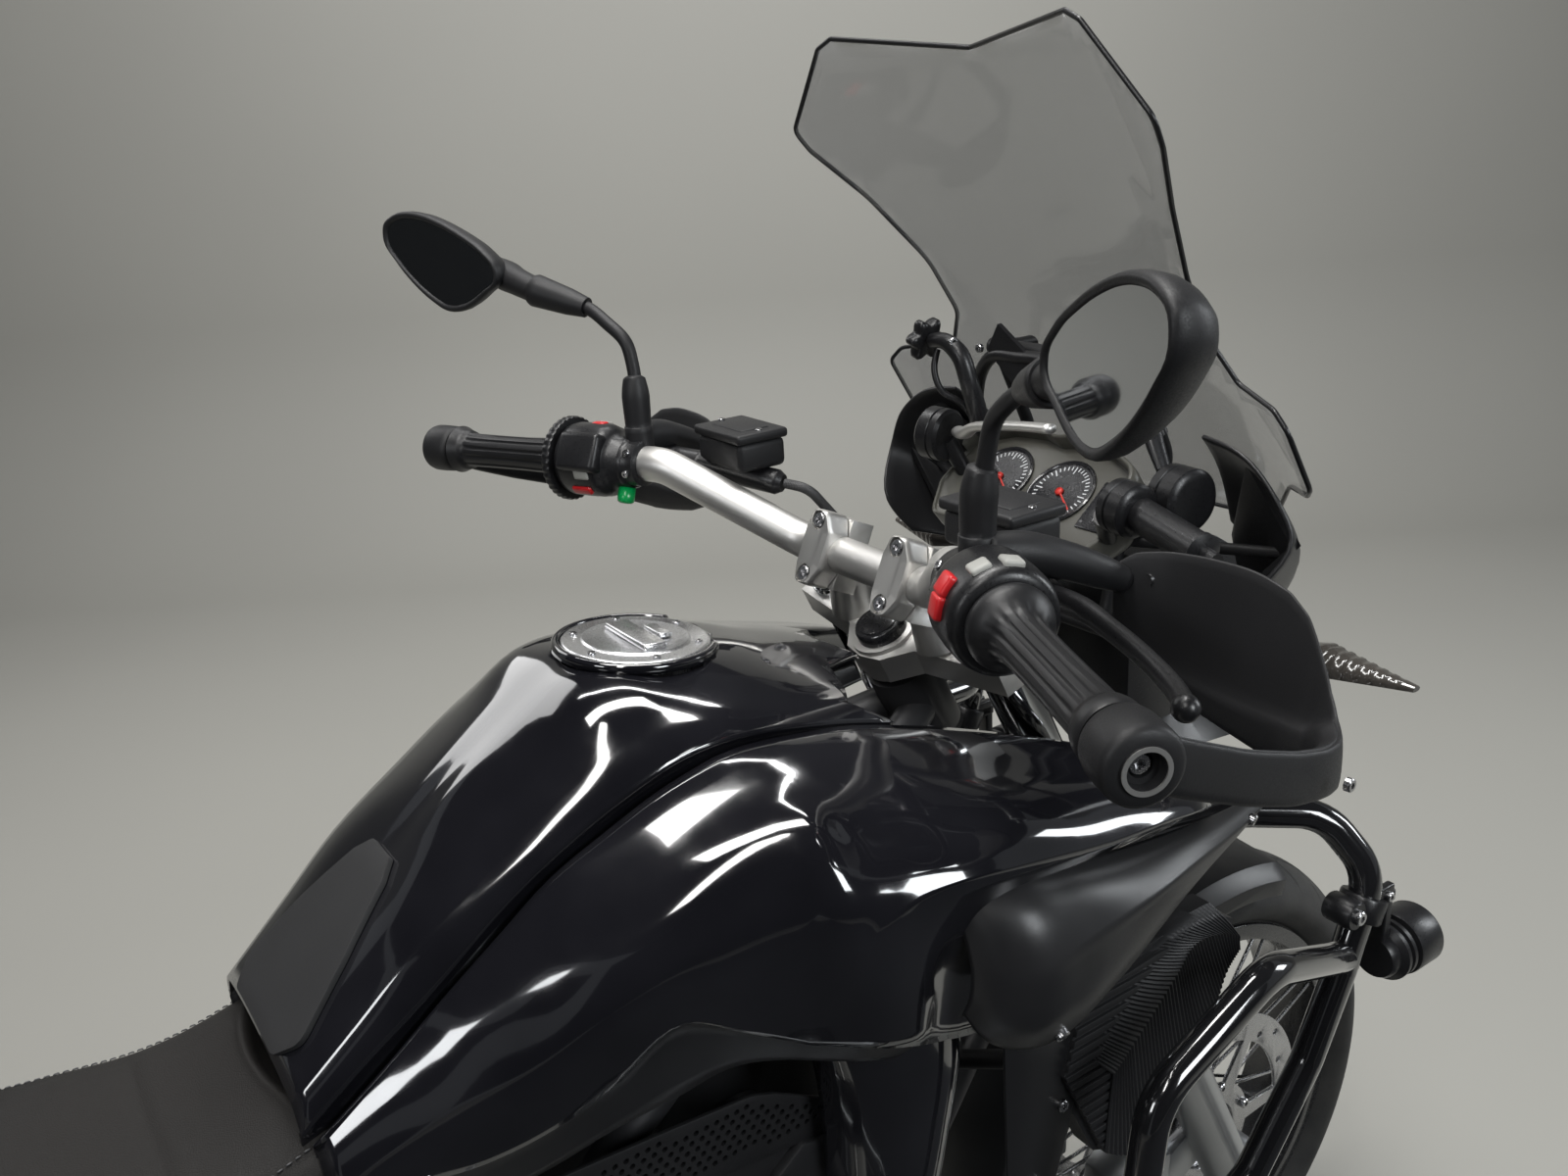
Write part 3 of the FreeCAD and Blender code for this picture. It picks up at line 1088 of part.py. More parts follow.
def centre_stand():
    """Two legs on one cross tube, with rocker feet and the lever tang on the left."""
    p = STAND_PIVOT
    bush = rod(p - Y * STAND_HALF_W, p + Y * STAND_HALF_W, STAND_PIN_R)
    knee = p + V(4, STAND_HALF_W - 8, -70)
    leg = tube([p + Y * (STAND_HALF_W - 10), knee, STAND_FOOT + V(0, 0, 12)], 13.0, 40.0)
    foot = side_slab([(-112, 0), (-40, 0), (-30, 12), (-58, 24), (-96, 22), (-122, 10)], STAND_FOOT.y - 16,
                     STAND_FOOT.y + 16)
    tie = rod(V(p.x + 6, -STAND_HALF_W, 110), V(p.x + 6, STAND_HALF_W, 110), 10.0)
    tang = tube([STAND_FOOT + V(-6, 0, 24), STAND_FOOT + V(-70, 2, 60), STAND_FOOT + V(-120, 2, 66)], 8.0, 40.0)
    return fuse(bush, leg, mirrored(leg), foot, mirrored(foot), tie, tang)


def side_stand():
    """A single leg on the left, folded back along the bike."""
    tip = SIDE_PIVOT + SIDE_FOLDED
    leg = rod(SIDE_PIVOT, tip, 10.0)
    eye = rod(SIDE_PIVOT - SIDE_AXIS * 13, SIDE_PIVOT + SIDE_AXIS * 13, 17.0)
    foot = Part.makeBox(56, 10, 36, tip + V(-34, -4, -18))
    bore = rod(SIDE_PIVOT - SIDE_AXIS * 30, SIDE_PIVOT + SIDE_AXIS * 30, 8.0 + RUNNING_GAP)
    return fuse(leg, eye, foot).cut(bore)


os.makedirs("parts", exist_ok=True)
for tyre_name, args in (("front_tyre", (FRONT_AXLE, FRONT_TYRE_R, FRONT_TYRE_W, FRONT_RIM_R, FRONT_RIM_W)),
                        ("rear_tyre", (REAR_AXLE, REAR_TYRE_R, REAR_TYRE_W, REAR_RIM_R, REAR_RIM_W))):
    save(tyre_name, tyre(*args))
save("front_rim", rim(FRONT_AXLE, FRONT_RIM_R, FRONT_RIM_W))
save("rear_rim", rim(REAR_AXLE, REAR_RIM_R, REAR_RIM_W))
save("front_hub", front_hub())
save("rear_hub", rear_hub())
save("front_discs", pair(disc(FRONT_AXLE, DISC_Y, DISC_R, 56.0, 6)))
save("rear_disc", disc(REAR_AXLE, REAR_DISC_Y, REAR_DISC_R, 62.0, 5))
PIECES = {
    "fork_sliders": fork_sliders, "fork_stanchions": fork_stanchions, "top_yoke": top_yoke,
    "bar_clamps": bar_clamps, "handlebar": handlebar, "grips": grips, "switchgear": switchgear,
    "control_levers": control_levers, "hand_guards": hand_guards, "mirrors": mirrors,
    "mirror_glasses": mirror_glasses, "front_calipers": calipers, "front_fender": front_fender,
    "brake_hoses": hoses, "main_frame": main_frame, "rear_subframe": rear_subframe,
    "telelever_arm": telelever, "shock_absorbers": shock_absorbers, "engine_block": engine_block,
    "cylinder_heads": cylinders, "airbox": airbox, "skid_plate": skid_plate, "exhaust": exhaust,
    "swingarm": swingarm, "rear_caliper": rear_caliper, "tank_cover": tank_cover, "fuel_cap": fuel_cap,
    "tank_sides": tank_sides, "side_trims": side_trims, "tank_pad": tank_pad,
    "radiator_shrouds": radiator_shrouds, "radiators": radiators, "windscreen": windscreen,
    "headlamp": headlamp, "beak": beak, "cockpit_carrier": cockpit_carrier, "instruments": instruments,
    "indicators": indicators, "seat_rider": seat_rider, "seat_passenger": seat_passenger,
    "rear_rack": rear_rack, "tail_unit": tail_unit, "footrests": footrests, "crash_bars": crash_bars,
    "aux_lamps": aux_lamps, "centre_stand": centre_stand, "side_stand": side_stand,
}
for piece, make in PIECES.items():
    save(piece, make())
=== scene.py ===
# %% [markdown]
# # An adventure motorcycle, dressed over its solid model
#
# The solid model already says where every piece is, in metres, with the wheels
# on the floor at z = 0, forward along +X and the left side along +Y.  This
# lesson gives each piece the surface that the real one shows: gloss paint,
# grained plastic, rubber, vinyl, and several kinds of metal.  Pieces whose solid
# is too plain are built again here as smooth meshes in the same place.

import json
import math
import bpy
import bmesh
from mathutils import Matrix, Vector

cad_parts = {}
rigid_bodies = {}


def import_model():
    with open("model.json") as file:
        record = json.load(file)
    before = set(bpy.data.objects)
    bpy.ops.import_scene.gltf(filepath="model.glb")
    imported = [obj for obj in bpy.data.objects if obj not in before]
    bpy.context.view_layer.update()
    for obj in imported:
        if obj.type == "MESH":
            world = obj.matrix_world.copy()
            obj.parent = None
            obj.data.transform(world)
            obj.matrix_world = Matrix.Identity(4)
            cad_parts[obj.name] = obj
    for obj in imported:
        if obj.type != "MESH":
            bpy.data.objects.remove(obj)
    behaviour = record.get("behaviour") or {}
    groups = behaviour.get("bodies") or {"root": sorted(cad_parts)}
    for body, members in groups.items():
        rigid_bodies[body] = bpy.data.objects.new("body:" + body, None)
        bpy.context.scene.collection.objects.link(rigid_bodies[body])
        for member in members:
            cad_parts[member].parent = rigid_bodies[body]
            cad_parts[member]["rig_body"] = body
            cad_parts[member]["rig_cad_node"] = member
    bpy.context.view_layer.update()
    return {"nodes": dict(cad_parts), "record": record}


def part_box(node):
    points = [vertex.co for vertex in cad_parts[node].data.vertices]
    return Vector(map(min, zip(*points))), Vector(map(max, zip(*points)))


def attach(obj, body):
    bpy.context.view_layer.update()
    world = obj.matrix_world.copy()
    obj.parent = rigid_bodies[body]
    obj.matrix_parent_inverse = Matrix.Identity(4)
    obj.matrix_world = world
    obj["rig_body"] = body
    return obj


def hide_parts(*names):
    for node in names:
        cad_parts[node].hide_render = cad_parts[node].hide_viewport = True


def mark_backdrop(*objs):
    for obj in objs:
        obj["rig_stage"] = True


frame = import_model()
NODES = frame["nodes"]
BODY_OF = {node: body for body, members in frame["record"]["behaviour"]["bodies"].items() for node in members}
print("solid nodes:", len(NODES))

# The wheels' middles, as x and z in millimetres
FRONT_AXLE, REAR_AXLE = (781.5, 322), (-725.5, 336)

# %% [markdown]
# ## Camera
#
# The photograph looks down over the rider's right shoulder from just behind the
# tank.  A camera is placed by three things: where it stands, which way its own
# axes point, and its focal length.  Directions are written as unit vectors, and
# they become the columns of a rotation matrix.

# %% Camera
PIXELS_WIDE = 1600
FOCAL_PIXELS = 1368.09
EYE = Vector((-0.26024, -0.83918, 1.45384))
LOOK = Vector((0.51738, 0.78621, -0.33793)).normalized()
RIGHT = Vector((0.82249, -0.56589, -0.05732)).normalized()

camera_data = bpy.data.cameras.new("camera")
camera_data.sensor_width = 36.0
camera_data.lens = 36.0 * FOCAL_PIXELS / PIXELS_WIDE
camera_data.clip_start = 0.02
camera = bpy.data.objects.new("camera", camera_data)
bpy.context.scene.collection.objects.link(camera)
up = RIGHT.cross(LOOK).normalized()
turn = Matrix((RIGHT, up, -LOOK)).transposed().to_4x4()
camera.matrix_world = Matrix.Translation(EYE) @ turn
bpy.context.scene.camera = camera
print("lens, mm:", round(camera_data.lens, 2))

# %% [markdown]
# ## Floor, wall and light
#
# Gloss black paint has almost no colour of its own: what it shows is a mirror
# image of the room.  So the room matters.  Broad lamps stand where a showroom
# has its windows, which draws long soft streaks along the tank, and the
# backdrop is a plain pale floor that curves up into a wall.  Dark cards and a
# dark mat give the paint something dark to mirror.  They lie outside this
# picture, but they show when the camera goes round to the sides or above.


# %% Mesh helpers
def make_mesh(name, points, faces, smooth=True):
    mesh = bpy.data.meshes.new(name)
    mesh.from_pydata([tuple(p) for p in points], [], [tuple(f) for f in faces])
    mesh.validate()
    thing = bpy.data.objects.new(name, mesh)
    bpy.context.scene.collection.objects.link(thing)
    if smooth:
        mesh.shade_smooth()
    return thing


def grid_faces(rows, columns, around=False, offset=0):
    """Quads of a grid of points written row by row."""
    faces = []
    for r in range(rows - 1):
        for c in range(columns if around else columns - 1):
            d = (c + 1) % columns
            a = offset + r * columns
            faces.append((a + c, a + d, a + columns + d, a + columns + c))
    return faces


# %% Floor and wall
def backdrop():
    """A floor that bends up into a wall on the side that the camera sees."""
    reach, bend, steps = 4.2, 0.8, 10
    profile = [(-reach, 0.0)] + [(reach - bend + bend * math.sin(a), bend - bend * math.cos(a))
                                 for a in [math.pi / 2 * i / steps
                                           for i in range(steps + 1)]] + [(reach, 4.5)]
    along = Vector((-0.78621, 0.51738, 0)).normalized()
    ahead = Vector((0.51738, 0.78621, 0)).normalized()
    points = [ahead * d + along * side + Vector((0, 0, z)) for d, z in profile for side in (-9.0, 9.0)]
    return make_mesh("floor", points, grid_faces(len(profile), 2))


def plain_floor_paint():
    paint = bpy.data.materials.new("pale_floor")
    paint.use_nodes = True
    tree = paint.node_tree
    shader = tree.nodes["Principled BSDF"]
    place = tree.nodes.new("ShaderNodeTexCoord")
    cloud = tree.nodes.new("ShaderNodeTexNoise")
    cloud.inputs["Scale"].default_value = 0.6
    ramp = tree.nodes.new("ShaderNodeValToRGB")
    ramp.color_ramp.elements[0].color = (0.27, 0.265, 0.245, 1)
    ramp.color_ramp.elements[1].color = (0.31, 0.305, 0.28, 1)
    tree.links.new(place.outputs["Object"], cloud.inputs["Vector"])
    tree.links.new(cloud.outputs["Fac"], ramp.inputs["Fac"])
    tree.links.new(ramp.outputs["Color"], shader.inputs["Base Color"])
    shader.inputs["Roughness"].default_value = 0.75
    return paint


floor = backdrop()
floor.data.materials.append(plain_floor_paint())

# %% Lamps
scene = bpy.context.scene
scene.view_settings.view_transform = "Standard"
world = bpy.data.worlds.new("room")
scene.world = world
world.use_nodes = True
world.node_tree.nodes["Background"].inputs["Color"].default_value = (0.80, 0.84, 0.88, 1)
world.node_tree.nodes["Background"].inputs["Strength"].default_value = 0.20


def window_lamp(name, place, target, width, height, watts, colour=(1, 1, 1)):
    data = bpy.data.lights.new(name, "AREA")
    data.shape = "RECTANGLE"
    data.size, data.size_y, data.energy, data.color = width, height, watts, colour
    lamp = bpy.data.objects.new(name, data)
    bpy.context.scene.collection.objects.link(lamp)
    lamp.location = place
    lamp.rotation_euler = (Vector(target) - Vector(place)).to_track_quat("-Z", "Y").to_euler()
    return lamp


LAMPS = (
    ("ceiling_lamp", (0.2, 0.2, 3.7), (0.2, 0, 0.8), 2.2, 0.5, 80, (1.0, 0.99, 0.97)),
    ("ceiling_strip", (-0.9, -0.9, 3.7), (0.0, 0, 0.8), 0.35, 2.6, 55, (1.0, 0.99, 0.97)),
    ("right_window", (0.7, -3.0, 2.3), (0.2, 0, 0.9), 0.9, 1.2, 55, (0.93, 0.97, 1.0)),
    ("front_window", (4.0, -1.6, 2.2), (0.4, 0, 0.9), 0.8, 1.6, 50, (0.93, 0.97, 1.0)),
    ("rear_window", (-3.2, -0.8, 2.4), (0, 0, 0.9), 0.8, 0.8, 22, (0.96, 0.98, 1.0)),
    ("left_fill", (-0.5, 3.0, 2.8), (0, 0, 0.8), 1.6, 1.2, 18, (1, 1, 1)),
    ("wall_wash", (0.9, 1.5, 3.6), (2.2, 3.4, 0.8), 2.6, 0.5, 95, (1, 1, 1)),
)
for settings in LAMPS:
    window_lamp(*settings)


def dark_card(name, place, target, width, height):
    """A dark panel out of the picture: gloss black only looks black where it mirrors something dark."""
    corners = [(-width / 2, -height / 2, 0), (width / 2, -height / 2, 0), (width / 2, height / 2, 0),
               (-width / 2, height / 2, 0)]
    turn = (Vector(target) - Vector(place)).to_track_quat("-Z", "Y")
    card = make_mesh(name, [turn @ Vector(c) + Vector(place) for c in corners], [(0, 1, 2, 3)], smooth=False)
    paint = bpy.data.materials.get("dark_card") or bpy.data.materials.new("dark_card")
    paint.use_nodes = True
    paint.node_tree.nodes["Principled BSDF"].inputs["Base Color"].default_value = (0.012, 0.013, 0.015, 1)
    paint.node_tree.nodes["Principled BSDF"].inputs["Roughness"].default_value = 0.9
    card.data.materials.append(paint)
    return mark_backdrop(card)


dark_card("ceiling_card", (0, 0, 4.0), (0, 0, 0), 9.0, 9.0)
dark_card("right_card", (-0.6, -4.2, 1.7), (0, 0, 1.0), 8.0, 3.8)
dark_card("rear_card", (-4.6, 0.6, 1.7), (0, 0, 1.0), 7.0, 3.6)
dark_card("floor_mat", (-0.55, -1.95, 0.003), (-0.55, -1.95, 1.0), 3.6, 3.1)
print("lamps:", len(LAMPS))

# %% [markdown]
# ## Finishes
#
# Every finish here is the same short chain: a place on the object feeds noise
# patterns, and these vary the colour, the roughness and the bump a little.  The
# amounts differ: paint wants almost no bump, and moulded plastic a fine grain.
# Sizes are in features per metre, so 900 means a grain of about a millimetre.


# %% Node helpers
def add(tree, kind, **values):
    node = tree.nodes.new("ShaderNode" + kind)
    for key, value in values.items():
        if key in node.inputs:
            node.inputs[key].default_value = value
        else:
            setattr(node, key, value)
    return node


def start_finish(name):
    paint = bpy.data.materials.new(name)
    paint.use_nodes = True
    tree = paint.node_tree
    return paint, tree, tree.nodes["Principled BSDF"], add(tree, "TexCoord").outputs["Object"]


def noise(tree, place, scale, detail=3.0, stretch=None):
    if stretch:
        turned = add(tree, "Mapping")
        turned.inputs["Scale"].default_value = stretch
        tree.links.new(place, turned.inputs["Vector"])
        place = turned.outputs["Vector"]
    cloud = add(tree, "TexNoise", Scale=scale, Detail=detail)
    tree.links.new(place, cloud.inputs["Vector"])
    return cloud.outputs["Fac"]


def remap(tree, value, low, high, start=0.3, end=0.7):
    node = add(tree, "MapRange")
    node.inputs["From Min"].default_value = start
    node.inputs["From Max"].default_value = end
    node.inputs["To Min"].default_value = low
    node.inputs["To Max"].default_value = high
    tree.links.new(value, node.inputs["Value"])
    return node.outputs["Result"]


def blend_colour(tree, value, first, second, start=0.3, end=0.7):
    ramp = add(tree, "ValToRGB")
    ramp.color_ramp.elements[0].position = start
    ramp.color_ramp.elements[1].position = end
    ramp.color_ramp.elements[0].color = (*first, 1)
    ramp.color_ramp.elements[1].color = (*second, 1)
    tree.links.new(value, ramp.inputs["Fac"])
    return ramp.outputs["Color"]


def bump(tree, shader, height, depth, strength=0.5):
    node = add(tree, "Bump", Strength=strength, Distance=depth)
    tree.links.new(height, node.inputs["Height"])
    tree.links.new(node.outputs["Normal"], shader.inputs["Normal"])
    return node


# %% One recipe for plain finishes
def plain_finish(name, colour, rough, metal=0.0, tone=0.12, patch=9.0, grain=900.0,
                 depth=0.00006, spread=0.06, coat=0.0, stretch=None, specular=0.5):
    paint, tree, shader, place = start_finish(name)
    cloud = noise(tree, place, patch)
    dark = [c * (1 - tone) for c in colour]
    light = [min(1.0, c * (1 + tone) + 0.002) for c in colour]
    tree.links.new(blend_colour(tree, cloud, dark, light), shader.inputs["Base Color"])
    fine = noise(tree, place, grain, 4.0, stretch)
    tree.links.new(remap(tree, fine, max(0.02, rough - spread), min(1, rough + spread)),
                   shader.inputs["Roughness"])
    if depth:
        bump(tree, shader, fine, depth)
    shader.inputs["Metallic"].default_value = metal
    shader.inputs["Specular IOR Level"].default_value = specular
    shader.inputs["Coat Weight"].default_value = coat
    shader.inputs["Coat Roughness"].default_value = 0.04
    return paint


PLAIN = {
    "gloss_paint": ((0.006, 0.006, 0.008), 0.10, dict(coat=1.0, tone=0.2, depth=0.0, spread=0.03, grain=40)),
    "satin_shroud": ((0.011, 0.011, 0.012), 0.36, dict(specular=0.4, grain=1500, depth=0.00005, spread=0.07)),
    "grained_plastic": ((0.010, 0.010, 0.011), 0.50, dict(specular=0.32, grain=1100, depth=0.00012,
                                                          spread=0.10)),
    "smooth_plastic": ((0.008, 0.008, 0.009), 0.34, dict(specular=0.4, grain=700, depth=0.00004,
                                                         spread=0.08)),
    "grip_rubber": ((0.008, 0.008, 0.009), 0.42, dict(specular=0.4, grain=1400, depth=0.00010)),
    "pad_rubber": ((0.011, 0.011, 0.012), 0.66, dict(grain=1700, depth=0.00014)),
    "frame_powder": ((0.020, 0.020, 0.022), 0.44, dict(grain=2200, depth=0.00005)),
    "gloss_bar": ((0.008, 0.008, 0.009), 0.12, dict(coat=1.0, depth=0.0, spread=0.03, grain=60)),
    "satin_alloy": ((0.66, 0.65, 0.63), 0.44, dict(metal=1.0, tone=0.05, grain=2600, depth=0.00003)),
    "cast_alloy": ((0.36, 0.37, 0.38), 0.46, dict(metal=0.9, tone=0.12, grain=700, depth=0.00022)),
    "engine_alloy": ((0.16, 0.165, 0.17), 0.50, dict(metal=0.85, tone=0.15, grain=650, depth=0.00025)),
    "fork_alloy": ((0.42, 0.43, 0.44), 0.34, dict(metal=0.95, tone=0.06, grain=1500, depth=0.00005)),
    "hard_chrome": ((0.70, 0.71, 0.72), 0.08, dict(metal=1.0, tone=0.03, grain=90, depth=0.0, spread=0.03)),
    "brushed_cap": ((0.70, 0.70, 0.71), 0.28, dict(metal=1.0, tone=0.04, grain=500, depth=0.00003,
                                                   stretch=(1, 12, 1))),
    "disc_steel": ((0.46, 0.46, 0.47), 0.28, dict(metal=1.0, tone=0.06, grain=900, depth=0.00002)),
    "screw_steel": ((0.45, 0.45, 0.46), 0.25, dict(metal=1.0, tone=0.08, grain=900, depth=0.00002)),
    "rim_black": ((0.014, 0.014, 0.015), 0.26, dict(coat=0.4, grain=900, depth=0.00002)),
    "exhaust_steel": ((0.44, 0.42, 0.39), 0.30, dict(metal=1.0, tone=0.14, patch=6, grain=1200,
                                                     depth=0.00003)),
    "spring_black": ((0.015, 0.015, 0.016), 0.3, dict(coat=0.3, grain=900, depth=0.00003)),
    "seat_thread": ((0.05, 0.05, 0.052), 0.55, dict(grain=1500, depth=0.00003)),
    "button_grey": ((0.30, 0.30, 0.28), 0.50, dict(grain=1500, depth=0.00005)),
    "button_red": ((0.45, 0.012, 0.015), 0.34, dict(grain=1500, depth=0.00003)),
    "button_green": ((0.0, 0.26, 0.06), 0.26, dict(grain=1500, depth=0.00002)),
    "cluster_grey": ((0.075, 0.073, 0.062), 0.36, dict(grain=1300, depth=0.00005)),
    "amber_lens": ((0.50, 0.14, 0.01), 0.16, dict(coat=0.6, grain=300, depth=0.00002)),
    "red_lens": ((0.36, 0.008, 0.010), 0.14, dict(coat=0.6, grain=300, depth=0.00002)),
    "smoked_lens": ((0.05, 0.045, 0.04), 0.14, dict(coat=0.6, grain=300, depth=0.00002)),
    "lamp_mirror": ((0.72, 0.74, 0.76), 0.07, dict(metal=1.0, tone=0.03, grain=200, depth=0.00002)),
    "dial_black": ((0.010, 0.010, 0.012), 0.30, dict(coat=0.8, grain=600, depth=0.0)),
    "dial_mark": ((0.75, 0.76, 0.78), 0.40, dict(tone=0.03, grain=600, depth=0.0)),
    "needle_red": ((0.60, 0.03, 0.02), 0.35, dict(tone=0.05, grain=600, depth=0.0)),
}
FINISH = {name: plain_finish(name, colour, rough, **extra) for name, (colour, rough, extra) in PLAIN.items()}
print("plain finishes:", len(FINISH))

# %% [markdown]
# ## Finishes with a pattern of their own
#
# Vinyl has a leather-like grain of small closed cells, which a Voronoi pattern
# gives.  Tyre rubber is dusty in its low places.  A braided hose shows two sets
# of crossing strands.  The screen lets light through, and the mirrors are
# polished metal under glass.


# %% Vinyl, tyre, braid, screen and mirror
def vinyl_finish():
    paint, tree, shader, place = start_finish("seat_vinyl")
    cells = add(tree, "TexVoronoi", Scale=620.0, feature="DISTANCE_TO_EDGE")
    tree.links.new(place, cells.inputs["Vector"])
    grain = remap(tree, cells.outputs["Distance"], 0.0, 1.0, 0.0, 0.16)
    cloud = noise(tree, place, 5.0, 5.0)
    tree.links.new(blend_colour(tree, cloud, (0.0045, 0.0038, 0.0034), (0.0085, 0.0072, 0.0064)),
                   shader.inputs["Base Color"])
    tree.links.new(remap(tree, cloud, 0.56, 0.70), shader.inputs["Roughness"])
    shader.inputs["Specular IOR Level"].default_value = 0.30
    bump(tree, shader, grain, 0.0003, 0.55)
    shader.inputs["Sheen Weight"].default_value = 0.0
    return paint


def tyre_finish():
    paint, tree, shader, place = start_finish("tyre_rubber")
    cloud = noise(tree, place, 26.0, 6.0)
    tree.links.new(blend_colour(tree, cloud, (0.012, 0.012, 0.012), (0.030, 0.029, 0.027)),
                   shader.inputs["Base Color"])
    fine = noise(tree, place, 900.0)
    tree.links.new(remap(tree, fine, 0.62, 0.82), shader.inputs["Roughness"])
    bump(tree, shader, fine, 0.0002)
    return paint


def braid_finish():
    paint, tree, shader, place = start_finish("braided_hose")
    waves = []
    for direction in ("X", "Z"):
        wave = add(tree, "TexWave", Scale=260.0, bands_direction=direction, Distortion=0.5)
        tree.links.new(place, wave.inputs["Vector"])
        waves.append(wave.outputs["Fac"])
    both = add(tree, "Math", operation="MULTIPLY")
    tree.links.new(waves[0], both.inputs[0])
    tree.links.new(waves[1], both.inputs[1])
    tree.links.new(blend_colour(tree, both.outputs[0], (0.012, 0.012, 0.013), (0.05, 0.05, 0.052), 0.0, 0.8),
                   shader.inputs["Base Color"])
    shader.inputs["Roughness"].default_value = 0.5
    bump(tree, shader, both.outputs[0], 0.0004)
    return paint


def screen_finish():
    paint, tree, shader, place = start_finish("tinted_screen")
    haze = noise(tree, place, 3.0)
    tree.links.new(blend_colour(tree, haze, (0.20, 0.205, 0.215), (0.24, 0.245, 0.255)),
                   shader.inputs["Base Color"])
    tree.links.new(remap(tree, noise(tree, place, 40.0), 0.03, 0.08), shader.inputs["Roughness"])
    shader.inputs["Alpha"].default_value = 0.36
    shader.inputs["Coat Weight"].default_value = 0.6
    return paint


def mirror_finish():
    paint, tree, shader, place = start_finish("mirror_glass")
    tree.links.new(blend_colour(tree, noise(tree, place, 8.0), (0.74, 0.76, 0.78), (0.80, 0.82, 0.84)),
                   shader.inputs["Base Color"])
    shader.inputs["Metallic"].default_value = 1.0
    tree.links.new(remap(tree, noise(tree, place, 60.0), 0.015, 0.035), shader.inputs["Roughness"])
    return paint


FINISH.update(seat_vinyl=vinyl_finish(), tyre_rubber=tyre_finish(), braided_hose=braid_finish(),
              tinted_screen=screen_finish(), mirror_glass=mirror_finish())

# %% [markdown]
# ## Which finish goes on which solid
#
# The solids come in with plain grey paint.  Giving a solid its finish is a
# matter of filling its material slots, and its mesh isn't touched.

# %% Dress the solids
NODE_FINISH = {
    "front_tyre": "tyre_rubber", "rear_tyre": "tyre_rubber", "front_rim": "rim_black",
    "rear_rim": "rim_black",
    "front_hub": "screw_steel", "rear_hub": "screw_steel", "front_discs": "disc_steel",
    "rear_disc": "disc_steel",
    "fork_sliders": "fork_alloy", "fork_stanchions": "hard_chrome", "top_yoke": "satin_alloy",
    "bar_clamps": "satin_alloy", "handlebar": "satin_alloy", "grips": "grip_rubber",
    "switchgear": "smooth_plastic",
    "control_levers": "smooth_plastic", "hand_guards": "grained_plastic", "mirrors": "grained_plastic",
    "mirror_glasses": "mirror_glass", "front_calipers": "fork_alloy", "front_fender": "satin_shroud",
    "brake_hoses": "braided_hose", "main_frame": "frame_powder", "rear_subframe": "frame_powder",
    "telelever_arm": "frame_powder", "shock_absorbers": "spring_black", "engine_block": "engine_alloy",
    "cylinder_heads": "cast_alloy", "airbox": "grained_plastic", "skid_plate": "cast_alloy",
    "exhaust": "exhaust_steel", "swingarm": "frame_powder", "rear_caliper": "fork_alloy",
    "tank_cover": "gloss_paint", "fuel_cap": "brushed_cap", "tank_sides": "gloss_paint",
    "side_trims": "grained_plastic", "tank_pad": "pad_rubber", "radiator_shrouds": "satin_shroud",
    "radiators": "grained_plastic", "windscreen": "tinted_screen", "headlamp": "smooth_plastic",
    "beak": "satin_shroud", "cockpit_carrier": "grained_plastic", "instruments": "cluster_grey",
    "indicators": "smoked_lens", "seat_rider": "seat_vinyl", "seat_passenger": "seat_vinyl",
    "rear_rack": "frame_powder", "tail_unit": "grained_plastic", "footrests": "cast_alloy",
    "crash_bars": "gloss_bar", "aux_lamps": "smooth_plastic", "centre_stand": "frame_powder",
    "side_stand": "frame_powder",
}
for node, finish in NODE_FINISH.items():
    slots = NODES[node].data.materials
    slots.clear()
    slots.append(FINISH[finish])
print("dressed solids:", len(NODE_FINISH))

# %% [markdown]
# ## Smooth bodywork from a few measured sections
#
# A tank cover is drawn as a row of cross-sections.  A smooth curve is run
# through the matching points of all sections, and then through the points of
# each section, which gives a fine net.  Where the real panel has a crease, the
# curve is allowed to turn sharply at that column.  This way was chosen because
# every number is a place on the motorcycle, so a panel can be corrected at one
# spot without disturbing the rest.


# %% Curves and skins
def tangents(points):
    """The direction at each inner point, weighted by the lengths beside it."""
    count = len(points)
    out = []
    for i in range(count):
        if i == 0 or i == count - 1:
            out.append(None)
            continue
        before, after = points[i] - points[i - 1], points[i + 1] - points[i]
        a, b = max(before.length, 1e-6), max(after.length, 1e-6)
        out.append((before / a * b + after / b * a) / (a + b))
    return out


def through(points, steps, sharp=()):
    """A smooth curve through the points, which turns sharply at the numbered ones."""
    points = [Vector(p) for p in points]
    slopes = tangents(points)
    line = [points[0]]
    for i in range(len(points) - 1):
        p, q = points[i], points[i + 1]
        length = max((q - p).length, 1e-6)
        straight = (q - p) / length
        first = slopes[i] if slopes[i] is not None and i not in sharp else None
        last = slopes[i + 1] if slopes[i + 1] is not None and i + 1 not in sharp else None
        if first is None and last is None:
            first = last = straight
        elif first is None:
            first = straight * 1.5 - last * 0.5
        elif last is None:
            last = straight * 1.5 - first * 0.5
        for k in range(1, steps + 1):
            t = k / steps
            line.append(p * (2 * t ** 3 - 3 * t ** 2 + 1) + q * (3 * t ** 2 - 2 * t ** 3)
                        + first * length * (t ** 3 - 2 * t ** 2 + t) + last * length * (t ** 3 - t ** 2))
    return line


def skin(name, stations, along=6, across=5, sharp=(), sharp_rows=()):
    """A net through cross-sections; sharp names the columns that are creases."""
    columns = [through([row[c] for row in stations], along, sharp_rows) for c in range(len(stations[0]))]
    rows = [through([column[r] for column in columns], across, sharp) for r in range(len(columns[0]))]
    points = [p for row in rows for p in row]
    return make_mesh(name, points, grid_faces(len(rows), len(rows[0])))


